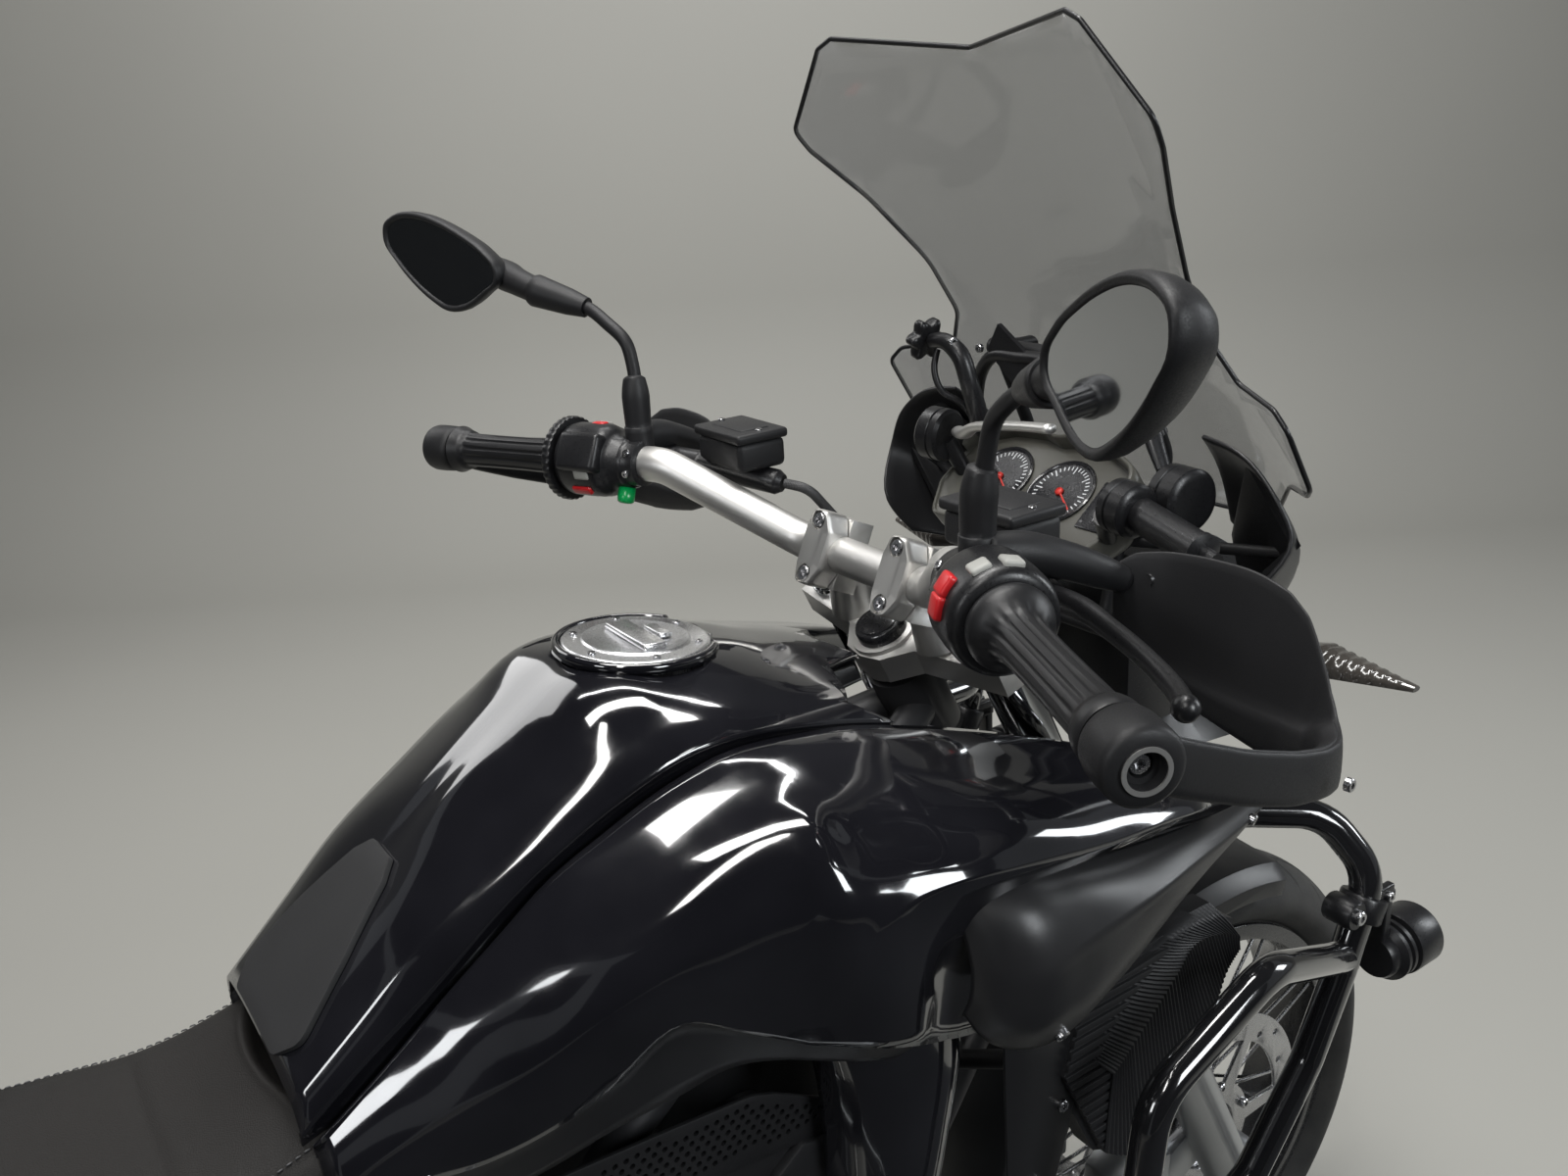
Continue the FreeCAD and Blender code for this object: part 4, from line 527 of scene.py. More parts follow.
def apply_modifiers(thing):
    """Turns what the modifiers show into the object's own plain mesh."""
    result = bpy.data.meshes.new_from_object(thing.evaluated_get(bpy.context.evaluated_depsgraph_get()))
    thing.modifiers.clear()
    thing.data = result
    return thing


def round_edges(thing, width, segments, angle=None):
    """Rounds the edges, and with an angle only those that turn by more than it."""
    rounding = thing.modifiers.new("edges", "BEVEL")
    rounding.width, rounding.segments = width, segments
    if angle:
        rounding.limit_method, rounding.angle_limit = "ANGLE", math.radians(angle)
    return apply_modifiers(thing)


def crisp(thing, angle):
    """Shades the edges that turn by more than the angle as sharp ones."""
    thing.data.set_sharp_from_angle(angle=math.radians(angle))


def outward(thing, merge=0.00002):
    """Merges doubled points and turns every face outwards."""
    net = bmesh.new()
    net.from_mesh(thing.data)
    bmesh.ops.remove_doubles(net, verts=net.verts, dist=merge)
    bmesh.ops.recalc_face_normals(net, faces=net.faces)
    net.to_mesh(thing.data)
    net.free()
    thing.data.shade_smooth()
    return thing


def faces_towards(thing, direction):
    """Turns an open skin over when it looks the wrong way."""
    net = bmesh.new()
    net.from_mesh(thing.data)
    bmesh.ops.recalc_face_normals(net, faces=net.faces)
    total = sum((f.normal * f.calc_area() for f in net.faces), Vector())
    if total.dot(Vector(direction)) < 0:
        bmesh.ops.reverse_faces(net, faces=net.faces)
    net.to_mesh(thing.data)
    net.free()
    thing.data.shade_smooth()
    return thing


def wall(thing, thickness, inward=True):
    """Gives an open skin its thickness behind the face that shows."""
    shell = thing.modifiers.new("wall", "SOLIDIFY")
    shell.thickness = thickness
    shell.offset = -1.0 if inward else 1.0
    shell.use_even_offset = True
    return apply_modifiers(thing)


def mirror_copy(thing, name):
    """The same piece on the other side of the motorcycle."""
    other = thing.copy()
    other.data = thing.data.copy()
    other.name = name
    bpy.context.scene.collection.objects.link(other)
    net = bmesh.new()
    net.from_mesh(other.data)
    for v in net.verts:
        v.co.y = -v.co.y
    bmesh.ops.reverse_faces(net, faces=net.faces)
    net.to_mesh(other.data)
    net.free()
    other.data.shade_smooth()
    return other


def dress(thing, finish, body, *nodes):
    """Paints a finished piece, lets it ride on its body, and lets it stand for its solids."""
    thing.data.materials.clear()
    thing.data.materials.append(FINISH[finish])
    if nodes:
        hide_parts(*nodes)
    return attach(thing, body)


def dress_both(thing, right_name, finish, body, *nodes):
    """Dresses a piece of the left side, and its mirror image on the right."""
    dress(thing, finish, body, *nodes)
    return dress(mirror_copy(thing, right_name), finish, body)


def mm(*values):
    """A place or a direction written in millimetres."""
    return Vector(values) / 1000


def metres(profile):
    """A profile for the lathe, written as (radius, height) in millimetres."""
    return [(radius / 1000, height / 1000) for radius, height in profile]


# %% [markdown]
# ## The tank's centre cover
#
# The cover is nearly flat across the top, has a soft edge beside the filler, a
# crease that runs its whole length, and a short flank down to the seam.

# %% Tank cover
# x, then (y, z) of: middle, inner edge, soft edge, crease, seam
TANK_ROWS = (
    (-156, (0, 893), (30, 892), (58, 889), (84, 884), (94, 864)),
    (-110, (0, 934), (30, 934), (60, 932), (88, 924), (100, 902)),
    (-62, (0, 975), (24, 976), (58, 976), (92, 966), (106, 938)),
    (-6, (0, 1022), (20, 1023), (44, 1019), (93, 1004), (110, 982)),
    (41, (0, 1055), (24, 1055), (52, 1050), (94, 1034), (114, 1011)),
    (87, (0, 1082), (32, 1082), (64, 1078), (96, 1057), (118, 1033)),
    (115, (0, 1087), (36, 1087), (70, 1080), (97, 1064), (120, 1043)),
    (150, (0, 1084), (38, 1083), (71, 1076), (98, 1066), (122, 1048)),
    (190, (0, 1081), (36, 1080), (69, 1072), (98, 1062), (123.5, 1045)),
    (226, (0, 1074), (30, 1073), (58, 1067), (97, 1055), (124, 1038)),
    (262, (0, 1062), (22, 1061), (48, 1057), (96, 1046), (124, 1029)),
    (306, (0, 1048), (20, 1047), (46, 1044), (94, 1034), (124, 1016)),
    (345, (0, 1034), (20, 1033), (44, 1030), (84, 1020), (117, 1004)),
    (360, (0, 1027), (20, 1026), (42, 1023), (74, 1013), (110, 998)),
)


def tank_row(x, middle, inner, soft, crease, seam):
    flank = ((crease[0] + seam[0]) / 2 + 1.5, (crease[1] + seam[1]) / 2 + 1.5)
    rolled, skirt = (seam[0] - 1.5, seam[1] - 5), (seam[0] - 8, seam[1] - 34)
    half = [middle, inner, soft, crease, flank, seam, rolled, skirt]
    return [mm(x, -y, z) for y, z in reversed(half[1:])] + [mm(x, y, z) for y, z in half]


def cut_by(thing, cutter):
    """Takes the cutter's volume out of a closed piece, then throws the cutter away."""
    tool = thing.modifiers.new("cut", "BOOLEAN")
    tool.operation, tool.solver, tool.object = "DIFFERENCE", "MANIFOLD", cutter
    apply_modifiers(thing)
    bpy.data.objects.remove(cutter)
    return thing


def lathe(name, profile, centre, axis, steps=64):
    """A round piece from (radius, height) pairs, turned about an axis."""
    axis = Vector(axis).normalized()
    side = axis.orthogonal().normalized()
    other = axis.cross(side)
    points, faces = [], []
    ring = len(profile)
    for k in range(steps):
        a = 2 * math.pi * k / steps
        out = side * math.cos(a) + other * math.sin(a)
        points += [Vector(centre) + axis * h + out * r for r, h in profile]
    for k in range(steps):
        j = (k + 1) % steps
        faces += [(k * ring + i, j * ring + i, j * ring + i + 1, k * ring + i + 1) for i in range(ring - 1)]
    return outward(make_mesh(name, points, faces))


tank = skin("tank_skin", [tank_row(*row) for row in TANK_ROWS], along=5, across=4, sharp=(4, 10, 2, 12))
faces_towards(tank, (0, 0, 1))
wall(tank, 0.004)

AXIS_FOOT = Vector((0.8811, 0, 0))
AXIS_UP = Vector((-0.4305, 0, 0.9026)).normalized()
AXIS_AHEAD = Vector((AXIS_UP.z, 0, -AXIS_UP.x))


def swept_block(name, profile, spread, steps=72):
    """A closed block swept about the steering axis, spread to each side of ahead.

    The corners are (radius, height).
    """
    points = []
    for k in range(steps + 1):
        a = math.radians(spread) * (2 * k / steps - 1)
        out = AXIS_AHEAD * math.cos(a) + Vector((0, 1, 0)) * math.sin(a)
        points += [AXIS_FOOT + AXIS_UP * h + out * r for r, h in profile]
    many = len(profile)
    faces = [(k * many + i, k * many + (i + 1) % many, (k + 1) * many + (i + 1) % many, (k + 1) * many + i)
             for k in range(steps) for i in range(many)]
    faces += [tuple(range(many)), tuple(range(steps * many, (steps + 1) * many))]
    return outward(make_mesh(name, points, faces))


def fork_sweep(thing):
    """Clears the space that the fork's tubes and the top yoke pass through as they turn."""
    cut_by(thing, swept_block("tube_space", [(0.080, 0.745), (0.141, 0.745), (0.141, 1.110), (0.080, 1.110)],
                              144))
    cut_by(thing, swept_block("yoke_space", [(0.050, 1.100), (0.151, 1.100), (0.151, 1.200), (0.050, 1.200)],
                              144))
    cut_by(thing, lathe("head_space", [(0.0, 0.900), (0.058, 0.900), (0.058, 1.200), (0.0, 1.200)], AXIS_FOOT,
                        AXIS_UP, 96))
    print(thing.name, "cleared for the fork:", len(thing.data.polygons), "faces")


fork_sweep(tank)

# %% [markdown]
# ## The gloss side panels
#
# From the seam the panel swells out over the knees.  A sharp edge then starts
# low behind the knee, climbs, and runs forward as the lower edge of a wing.
# Under that edge the panel turns in, and a leg of it goes down in front of the
# perforated trim.

# %% Side panels
# x, then (y, z) of: seam, upper, swell, knee, edge, under, lower, lip, inward step, bottom
SIDE_STEPS = 5
LIP_COLUMN = 9
SIDE_ROWS = (
    (-150, (96, 857), (103, 851), (109, 843), (113, 834), (116, 826), (116, 822), (115, 818), (114, 814),
     (106, 804), (94, 798)),
    (-100, (104, 897), (116, 889), (126, 876), (133, 860), (136, 846), (136, 838), (134, 828), (132, 820),
     (124, 800), (108, 793)),
    (-62, (109, 929), (128, 920), (143, 902), (152, 880), (155, 862), (155, 850), (153, 836), (150, 828),
     (142, 796), (126, 788)),
    (-20, (112, 960), (140, 948), (160, 928), (172, 906), (175, 888), (174, 872), (170, 852), (167, 844),
     (160, 812), (142, 804)),
    (20, (115, 989), (150, 976), (174, 958), (188, 936), (192, 916), (190, 898), (185, 876), (181, 868),
     (174, 830), (155, 822)),
    (62, (118, 1009), (158, 998), (188, 982), (204, 958), (208, 934), (207, 925), (206, 912), (194, 904),
     (186, 842), (166, 833)),
    (99, (121, 1025), (164, 1015), (198, 1000), (214, 972), (221, 928), (219, 912), (216, 893), (200, 887),
     (190, 848), (170, 839)),
    (143, (124, 1037), (172, 1028), (212, 1014), (232, 978), (233, 903), (229, 884), (223, 866), (206, 860),
     (198, 838), (178, 829)),
    (163, (125, 1038), (176, 1030), (220, 1016), (246, 978), (250, 930), (240, 890), (232, 860), (214, 853),
     (206, 832), (186, 823)),
    (188, (126, 1036), (180, 1028), (221, 1007), (246, 983), (257, 954), (252, 900), (243, 853), (224, 845),
     (214, 824), (194, 815)),
    (215, (126.5, 1032), (184, 1024), (226, 1002), (249, 983), (259, 966), (252, 908), (244, 842), (224, 833),
     (214, 812), (194, 803)),
    (248, (127, 1026), (188, 1018), (234, 999), (257, 983), (266, 970), (246, 906), (232, 822), (216, 815),
     (208, 800), (192, 792)),
    (300, (127, 1010), (192, 1004), (240, 992), (262, 978), (270, 963), (240, 900), (226, 806), (212, 800),
     (206, 790), (194, 784)),
    (385, (140, 982), (200, 980), (240, 970), (258, 958), (266, 946), (242, 915), (226, 866), (214, 862),
     (210, 854), (200, 850)),
    (459, (166, 958), (210, 956), (238, 950), (252, 942), (258, 934), (238, 916), (228, 900), (221, 897),
     (217, 894), (211, 891)),
    (504, (184, 940), (212, 939), (232, 934), (243, 928), (248, 921), (233, 910), (225, 901), (220, 899),
     (216, 896), (212, 894)),
    (536, (196, 922), (210, 921), (222, 918), (229, 913), (232, 907), (224, 903), (219, 899), (216, 897),
     (213, 895), (211, 893)),
)


def side_row(x, *places):
    """A section of the side panel, with two more places tucked under the tank cover."""
    seam = places[0]
    edge = [(seam[0] + 1.0, seam[1] - 22), (seam[0] + 1.2, seam[1] - 4)]
    return [mm(x, y, z) for y, z in [*edge, *places]]


side_panel = skin("left_side_skin", [side_row(*row) for row in SIDE_ROWS], along=SIDE_STEPS,
                  across=SIDE_STEPS, sharp=(6, 8, LIP_COLUMN, 10), sharp_rows=(7,))
faces_towards(side_panel, (0, 1, 0.4))
wall(side_panel, 0.003)

# %% [markdown]
# ## The radiator shrouds
#
# The shroud is satin black and hangs under the wing.  Its ridge runs forward
# and inward to a point, and the face above the ridge catches the light from the
# ceiling while the face below stays dark.

# %% Shrouds
# x, then (y, z) of: top, upper, ridge, lower, hem
SHROUD_ROWS = (
    (258, (246, 918), (251, 906), (255, 890), (253, 868), (246, 850)),
    (268, (249, 938), (262, 921), (272, 890), (269, 854), (255, 829)),
    (290, (251, 946), (273, 928), (289, 886), (283, 842), (261, 812)),
    (335, (251, 941), (276, 927), (293, 898), (286, 846), (261, 798)),
    (405, (249, 926), (271, 917), (287, 903), (277, 858), (256, 814)),
    (480, (243, 912), (258, 908), (269, 897), (261, 870), (247, 844)),
    (560, (230, 896), (238, 892), (244, 884), (240, 873), (231, 865)),
    (633, (212, 882), (216, 879), (219, 876), (216, 872), (210, 868)),
)
shroud = skin("left_shroud_skin", [[mm(x, y, z) for y, z in row] for x, *row in SHROUD_ROWS], along=6,
              across=6, sharp=(2,))
faces_towards(shroud, (0, 1, 0))
wall(shroud, 0.003)
print("body panels: tank", len(tank.data.vertices), "side", len(side_panel.data.vertices))

# %% Panels on both sides
dress(tank, "gloss_paint", "chassis", "tank_cover")
dress_both(side_panel, "right_side_skin", "gloss_paint", "chassis", "tank_sides")
dress_both(shroud, "right_shroud_skin", "satin_shroud", "chassis", "radiator_shrouds")

# %% [markdown]
# ## Tubes, rounded edges and repeated pieces
#
# Three more helpers serve most of what is left.  A swept bar is round and
# of changing thickness along a smooth path: stems, levers and hoses.  Softening
# takes a solid, joins its loose triangles and rounds its edges a little,
# because an edge with no radius at all is what makes a model look false.
# Screws, ribs and holes are one small piece repeated, which is a job for
# Geometry Nodes: a mesh of single points carries each copy's direction and
# size, and the tree puts a copy on every point.


# %% Swept bars and softened solids
def sweep(name, points, radii, sides=20, steps=6, flat=1.0, sharp=()):
    """A round bar along a smooth path; radii follow the given points, and flat squeezes it upright."""
    line = through([Vector(p) for p in points], steps, sharp)
    sizes = through([Vector((r, 0, 0)) for r in radii], steps, sharp)
    rings, up_hint = [], Vector((0, 0, 1))
    for i, p in enumerate(line):
        ahead = (line[min(i + 1, len(line) - 1)] - line[max(i - 1, 0)]).normalized()
        across = ahead.cross(up_hint)
        across = across.normalized() if across.length > 0.15 else ahead.cross(Vector((0, 1, 0))).normalized()
        if rings and across.dot(last_across) < 0:
            across = -across
        last_across = across
        upward = across.cross(ahead).normalized()
        r = sizes[i].x
        rings.append([p + across * (r * math.cos(a)) + upward * (r * flat * math.sin(a))
                      for a in [2 * math.pi * k / sides for k in range(sides)]])
    points = [q for ring in rings for q in ring]
    faces = grid_faces(len(rings), sides, around=True)
    faces += [tuple(reversed(range(sides))), tuple(range(len(points) - sides, len(points)))]
    return outward(make_mesh(name, points, faces))


def joined(name, *things):
    """Several meshes as one object."""
    net = bmesh.new()
    for thing in things:
        net.from_mesh(thing.data)
    mesh = bpy.data.meshes.new(name)
    net.to_mesh(mesh)
    net.free()
    for thing in things:
        bpy.data.objects.remove(thing)
    whole = bpy.data.objects.new(name, mesh)
    bpy.context.scene.collection.objects.link(whole)
    mesh.shade_smooth()
    return whole


def soften(node, finish, width=0.0012, segments=2, angle=32):
    """The solid's own shape with its edges rounded, standing for the solid."""
    thing = NODES[node].copy()
    thing.data = NODES[node].data.copy()
    thing.name = node + "_finished"
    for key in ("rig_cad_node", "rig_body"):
        if key in thing:
            del thing[key]
    thing.parent = None
    thing.matrix_world = Matrix.Identity(4)
    bpy.context.scene.collection.objects.link(thing)
    net = bmesh.new()
    net.from_mesh(thing.data)
    bmesh.ops.remove_doubles(net, verts=net.verts, dist=0.00003)
    bmesh.ops.dissolve_limit(net, angle_limit=math.radians(1.0), verts=net.verts, edges=net.edges)
    net.to_mesh(thing.data)
    net.free()
    round_edges(thing, width, segments, angle)
    thing.data.shade_smooth()
    crisp(thing, 40)
    return dress(thing, finish, BODY_OF[node], node)


def rounded_box(name, centre, ahead, up, size, radius=0.002):
    """A block with rounded edges: size is along ahead, across, and up."""
    ahead, up = Vector(ahead).normalized(), Vector(up).normalized()
    across = up.cross(ahead).normalized()
    up = ahead.cross(across).normalized()
    points = [Vector(centre) + ahead * (size[0] / 2 * a) + across * (size[1] / 2 * b) + up * (size[2] / 2 * c)
              for a in (-1, 1) for b in (-1, 1) for c in (-1, 1)]
    faces = [(0, 1, 3, 2), (4, 6, 7, 5), (0, 4, 5, 1), (2, 3, 7, 6), (0, 2, 6, 4), (1, 5, 7, 3)]
    thing = outward(make_mesh(name, points, faces))
    round_edges(thing, radius, 3)
    thing.data.shade_smooth()
    crisp(thing, 50)
    return thing


# %% Repeated pieces
def repeating_tree(paint):
    """A node tree that puts the template on every point, turned and stretched by the point's own values."""
    tree = bpy.data.node_groups.new("repeat_on_points", "GeometryNodeTree")
    tree.interface.new_socket("Points", in_out="INPUT", socket_type="NodeSocketGeometry")
    template = tree.interface.new_socket("Template", in_out="INPUT", socket_type="NodeSocketObject")
    tree.interface.new_socket("Geometry", in_out="OUTPUT", socket_type="NodeSocketGeometry")
    link = tree.links.new

    def node(kind, **values):
        made = tree.nodes.new(kind)
        for key, value in values.items():
            setattr(made, key, value)
        return made

    def carried(key):
        """The vector that each point carries under that name."""
        made = node("GeometryNodeInputNamedAttribute", data_type="FLOAT_VECTOR")
        made.inputs["Name"].default_value = key
        return made.outputs["Attribute"]

    start, end = node("NodeGroupInput"), node("NodeGroupOutput")
    info = node("GeometryNodeObjectInfo", transform_space="ORIGINAL")
    first = node("FunctionNodeAlignRotationToVector", axis="Z")
    second = node("FunctionNodeAlignRotationToVector", axis="X", pivot_axis="Z")
    copies = node("GeometryNodeInstanceOnPoints")
    real, painted = node("GeometryNodeRealizeInstances"), node("GeometryNodeSetMaterial")
    painted.inputs["Material"].default_value = paint
    link(start.outputs["Template"], info.inputs["Object"])
    link(carried("facing"), first.inputs["Vector"])
    link(first.outputs["Rotation"], second.inputs["Rotation"])
    link(carried("along"), second.inputs["Vector"])
    link(start.outputs["Points"], copies.inputs["Points"])
    link(info.outputs["Geometry"], copies.inputs["Instance"])
    link(second.outputs["Rotation"], copies.inputs["Rotation"])
    link(carried("stretch"), copies.inputs["Scale"])
    link(copies.outputs["Instances"], real.inputs["Geometry"])
    link(real.outputs["Geometry"], painted.inputs["Geometry"])
    link(painted.outputs["Geometry"], end.inputs["Geometry"])
    return tree, template.identifier


def repeat(name, template, spots, finish, body):
    """Copies of the template on (place, facing, along, stretch) spots, as one plain mesh."""
    mesh = bpy.data.meshes.new(name + "_points")
    mesh.from_pydata([tuple(s[0]) for s in spots], [], [])
    for index, key in ((1, "facing"), (2, "along"), (3, "stretch")):
        layer = mesh.attributes.new(key, "FLOAT_VECTOR", "POINT")
        layer.data.foreach_set("vector", [float(c) for s in spots for c in s[index]])
    thing = bpy.data.objects.new(name, mesh)
    bpy.context.scene.collection.objects.link(thing)
    tree, template_key = repeating_tree(FINISH[finish])
    nodes = thing.modifiers.new("repeat", "NODES")
    nodes.node_group = tree
    nodes[template_key] = template
    apply_modifiers(thing)
    bpy.data.objects.remove(template)
    thing.data.materials.clear()
    thing.data.materials.append(FINISH[finish])
    for polygon in thing.data.polygons:
        polygon.material_index = 0
    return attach(thing, body)


def screw_head():
    """A round head with a sunk hexagonal socket, 1 unit in radius, standing on z = 0."""
    rings = [(0.0, 0.12), (0.48, 0.12), (0.48, 0.62), (0.86, 0.62), (1.0, 0.45), (1.0, -0.3)]
    points, steps = [], 12
    for radius, height in rings:
        for k in range(steps):
            a = 2 * math.pi * k / steps
            r = radius * (0.87 if 0 < radius < 0.5 and k % 2 else 1.0)
            points.append((r * math.cos(a), r * math.sin(a), height))
    faces = grid_faces(len(rings), steps, around=True)
    head = outward(make_mesh("screw_template", points, faces), merge=0.001)
    crisp(head, 35)
    return head


def screws(name, spots, body):
    """Screw heads at (place, facing, radius)."""
    full = [(p, Vector(n).normalized(), Vector(n).orthogonal(), (r, r, r)) for p, n, r in spots]
    return repeat(name, screw_head(), full, "screw_steel", body)


def both_sides(spots):
    """The same spots and their mirror images: places and directions as vectors, then anything else."""
    return list(spots) + [tuple(Vector((v[0], -v[1], v[2])) if isinstance(v, Vector) else v for v in s)
                          for s in spots]

# %% [markdown]
# ## The filler cap
#
# The cap is a turned aluminium ring held down by six screws, with a dished
# middle and a lift-up flap over the lock.  A lathe makes the turned part.

# %% Filler cap
CAP_CENTRE, CAP_TILT = mm(157, 0, 1087), math.radians(6)
CAP_UP = Vector((math.sin(CAP_TILT), 0, math.cos(CAP_TILT)))
CAP_AHEAD = Vector((math.cos(CAP_TILT), 0, -math.sin(CAP_TILT)))
cap_profile = [(0, 0.2), (18, 0.4), (34, 1.1), (38, 1.9), (39.5, 2.1), (41, 1.0), (42, 0.6), (53, 0.6),
               (55, 0.1), (55.8, -1.0), (55.8, -8.4), (30, -8.4), (28, -14), (0, -14)]
cap = lathe("cap_ring", metres(cap_profile), CAP_CENTRE, CAP_UP, 96)
flap = rounded_box("cap_flap", CAP_CENTRE + CAP_UP * 0.003, CAP_AHEAD, CAP_UP, (0.020, 0.064, 0.0052), 0.0022)
lock = rounded_box("cap_lock", CAP_CENTRE + CAP_UP * 0.0032 + CAP_AHEAD * 0.019, CAP_AHEAD, CAP_UP,
                   (0.011, 0.026, 0.004), 0.0014)
cap = joined("filler_cap", cap, flap, lock)
crisp(cap, 42)
dress(cap, "brushed_cap", "fuel_cap", "fuel_cap")
cap_spots = []
for k in range(6):
    a = math.pi / 3 * k + 0.35
    out = CAP_AHEAD * math.cos(a) + Vector((0, 1, 0)) * math.sin(a)
    cap_spots.append((CAP_CENTRE + out * 0.0475 + CAP_UP * 0.0003, CAP_UP, 0.0032))
screws("cap_screws", cap_spots, "fuel_cap")
ring_line = [(56.6, -6), (57.2, 0.6), (58.6, 1.2), (61, 0.7), (62.5, -1.2), (62.6, -6), (56.6, -6)]
rim_spot = lathe("cap_seat_ring", metres(ring_line), CAP_CENTRE, CAP_UP, 96)
hinge_room = rounded_box("hinge_room", CAP_CENTRE + CAP_AHEAD * 0.060 - CAP_UP * 0.004, CAP_AHEAD, CAP_UP,
                         (0.030, 0.076, 0.030), 0.004)
cut_by(rim_spot, hinge_room)
dress(rim_spot, "gloss_paint", "chassis")

# The hole under the cap, and the neck that leads down into the tank
bore = [(0.0, -0.03), (0.0572, -0.03), (0.0572, 0.03), (0.0, 0.03)]
cut_by(tank, lathe("neck_hole", bore, CAP_CENTRE, CAP_UP, 96))
print("tank with its filler hole:", len(tank.data.polygons), "faces")
neck_line = [(0.0590, -0.0135), (0.0415, -0.0165), (0.0400, -0.0185), (0.0400, -0.068), (0.0, -0.068),
             (0.0, -0.0695), (0.0415, -0.0695), (0.0415, -0.0205), (0.0590, -0.0165), (0.0590, -0.0135)]
neck = lathe("filler_neck", neck_line, CAP_CENTRE, CAP_UP, 72)
crisp(neck, 40)
dress(neck, "fork_alloy", "chassis")

# %% [markdown]
# ## Rubber tank pad
#
# The pad is a thin moulding that follows the tank.  Its outline is filled with
# a grid of small squares, every corner is dropped onto the tank straight from
# above, and the sheet is then lifted and given its thickness.


# %% Pads that follow a surface
def filled_outline(outline, spacing):
    """A flat face with the given outline, cut into a grid. Points are (a, b) pairs."""
    net = bmesh.new()
    corners = [net.verts.new((a, b, 0)) for a, b in outline]
    net.faces.new(corners)
    for axis in (0, 1):
        low, high = min(p[axis] for p in outline), max(p[axis] for p in outline)
        normal = (1, 0, 0) if axis == 0 else (0, 1, 0)
        for k in range(1, max(2, int((high - low) / spacing))):
            at = low + k * spacing
            place = (at, 0, 0) if axis == 0 else (0, at, 0)
            bmesh.ops.bisect_plane(net, geom=net.verts[:] + net.edges[:] + net.faces[:], plane_co=place,
                                   plane_no=normal)
    bmesh.ops.remove_doubles(net, verts=net.verts, dist=spacing * 0.02)
    return net


def laid_sheet(name, outline, spacing, place):
    """Fills an outline with small squares and bends it with place(a, b)."""
    net = filled_outline(outline, spacing)
    for v in net.verts:
        v.co = place(v.co.x, v.co.y)
    mesh = bpy.data.meshes.new(name)
    net.to_mesh(mesh)
    net.free()
    thing = bpy.data.objects.new(name, mesh)
    bpy.context.scene.collection.objects.link(thing)
    return thing


def closed_curve(points, steps=6, sharp=()):
    """A smooth closed outline through (a, b) pairs, with sharp corners where numbered."""
    count = len(points)
    wrapped = [points[i % count] for i in range(-2, count + 3)]
    corners = {i + 2 for i in sharp} | {i + 2 + count for i in sharp} | {i + 2 - count for i in sharp}
    line = through([Vector((a, b, 0)) for a, b in wrapped], steps, corners)
    return [(p.x, p.y) for p in line[2 * steps:(2 + count) * steps]]


def rounded_outline(corners, steps=5):
    """A closed outline through corners written as (a, b, radius), with each corner rounded off."""
    line, count = [], len(corners)
    for i, (a, b, radius) in enumerate(corners):
        here = Vector((a, b))
        before, after = (Vector(corners[(i + k) % count][:2]) - here for k in (-1, 1))
        half = before.angle(after) / 2
        cut = min(radius / max(math.tan(half), 0.05), 0.46 * before.length, 0.46 * after.length)
        start, end = here + before.normalized() * cut, here + after.normalized() * cut
        for k in range(steps + 1):
            t = k / steps
            p = start * (1 - t) ** 2 + here * (2 * t * (1 - t)) + end * t ** 2
            if not line or (Vector(line[-1]) - p).length > 1e-4 * cut:
                line.append((p.x, p.y))
    return line


def onto(surface, x, y, lift):
    """The point of a surface straight below (x, y), raised along its own slope."""
    hit, place, normal, _ = surface.ray_cast(Vector((x, y, 2.0)), Vector((0, 0, -1)))
    if not hit:
        hit, place, normal, _ = surface.ray_cast(Vector((x, y * 0.96, 2.0)), Vector((0, 0, -1)))
    return place + (normal if normal.z > 0 else -normal) * lift


pad_half = [(-50, 17, 5), (-61, 29, 8), (-100, 49, 60), (-138, 63, 10), (-153, 46, 12)]
pad_corners = pad_half + [(x, -y, r) for x, y, r in reversed(pad_half)]
pad_line = rounded_outline([(x * 0.001, y * 0.001, r * 0.001) for x, y, r in pad_corners])
pad = laid_sheet("tank_pad_moulding", pad_line, 0.008, lambda x, y: onto(tank, x, y, 0.0005))
faces_towards(pad, (0, 0, 1))
wall(pad, 0.0042, inward=False)
round_edges(pad, 0.0014, 3, 50)
outward(pad)
dress(pad, "pad_rubber", "chassis", "tank_pad")
print("pad points", len(pad.data.vertices))

# %% [markdown]
# ## The touring screen
#
# The screen is bent from a flat sheet, so every point of it follows from its
# height and its distance from the middle.  The outline is drawn from the front
# and the same filling helper bends it.  A thin dark band runs round the edge,
# where light is caught inside the sheet.

# %% Screen
SCREEN_RADIUS, SCREEN_LEAN = 380.0, 0.64


def on_screen(y, z, back=0.0):
    """A point of the screen's front face at that distance from the middle and that height, in mm."""
    bow = SCREEN_RADIUS - math.sqrt(SCREEN_RADIUS ** 2 - y * y)
    return mm(495 - SCREEN_LEAN * (z - 1490) - bow - back, y, z)


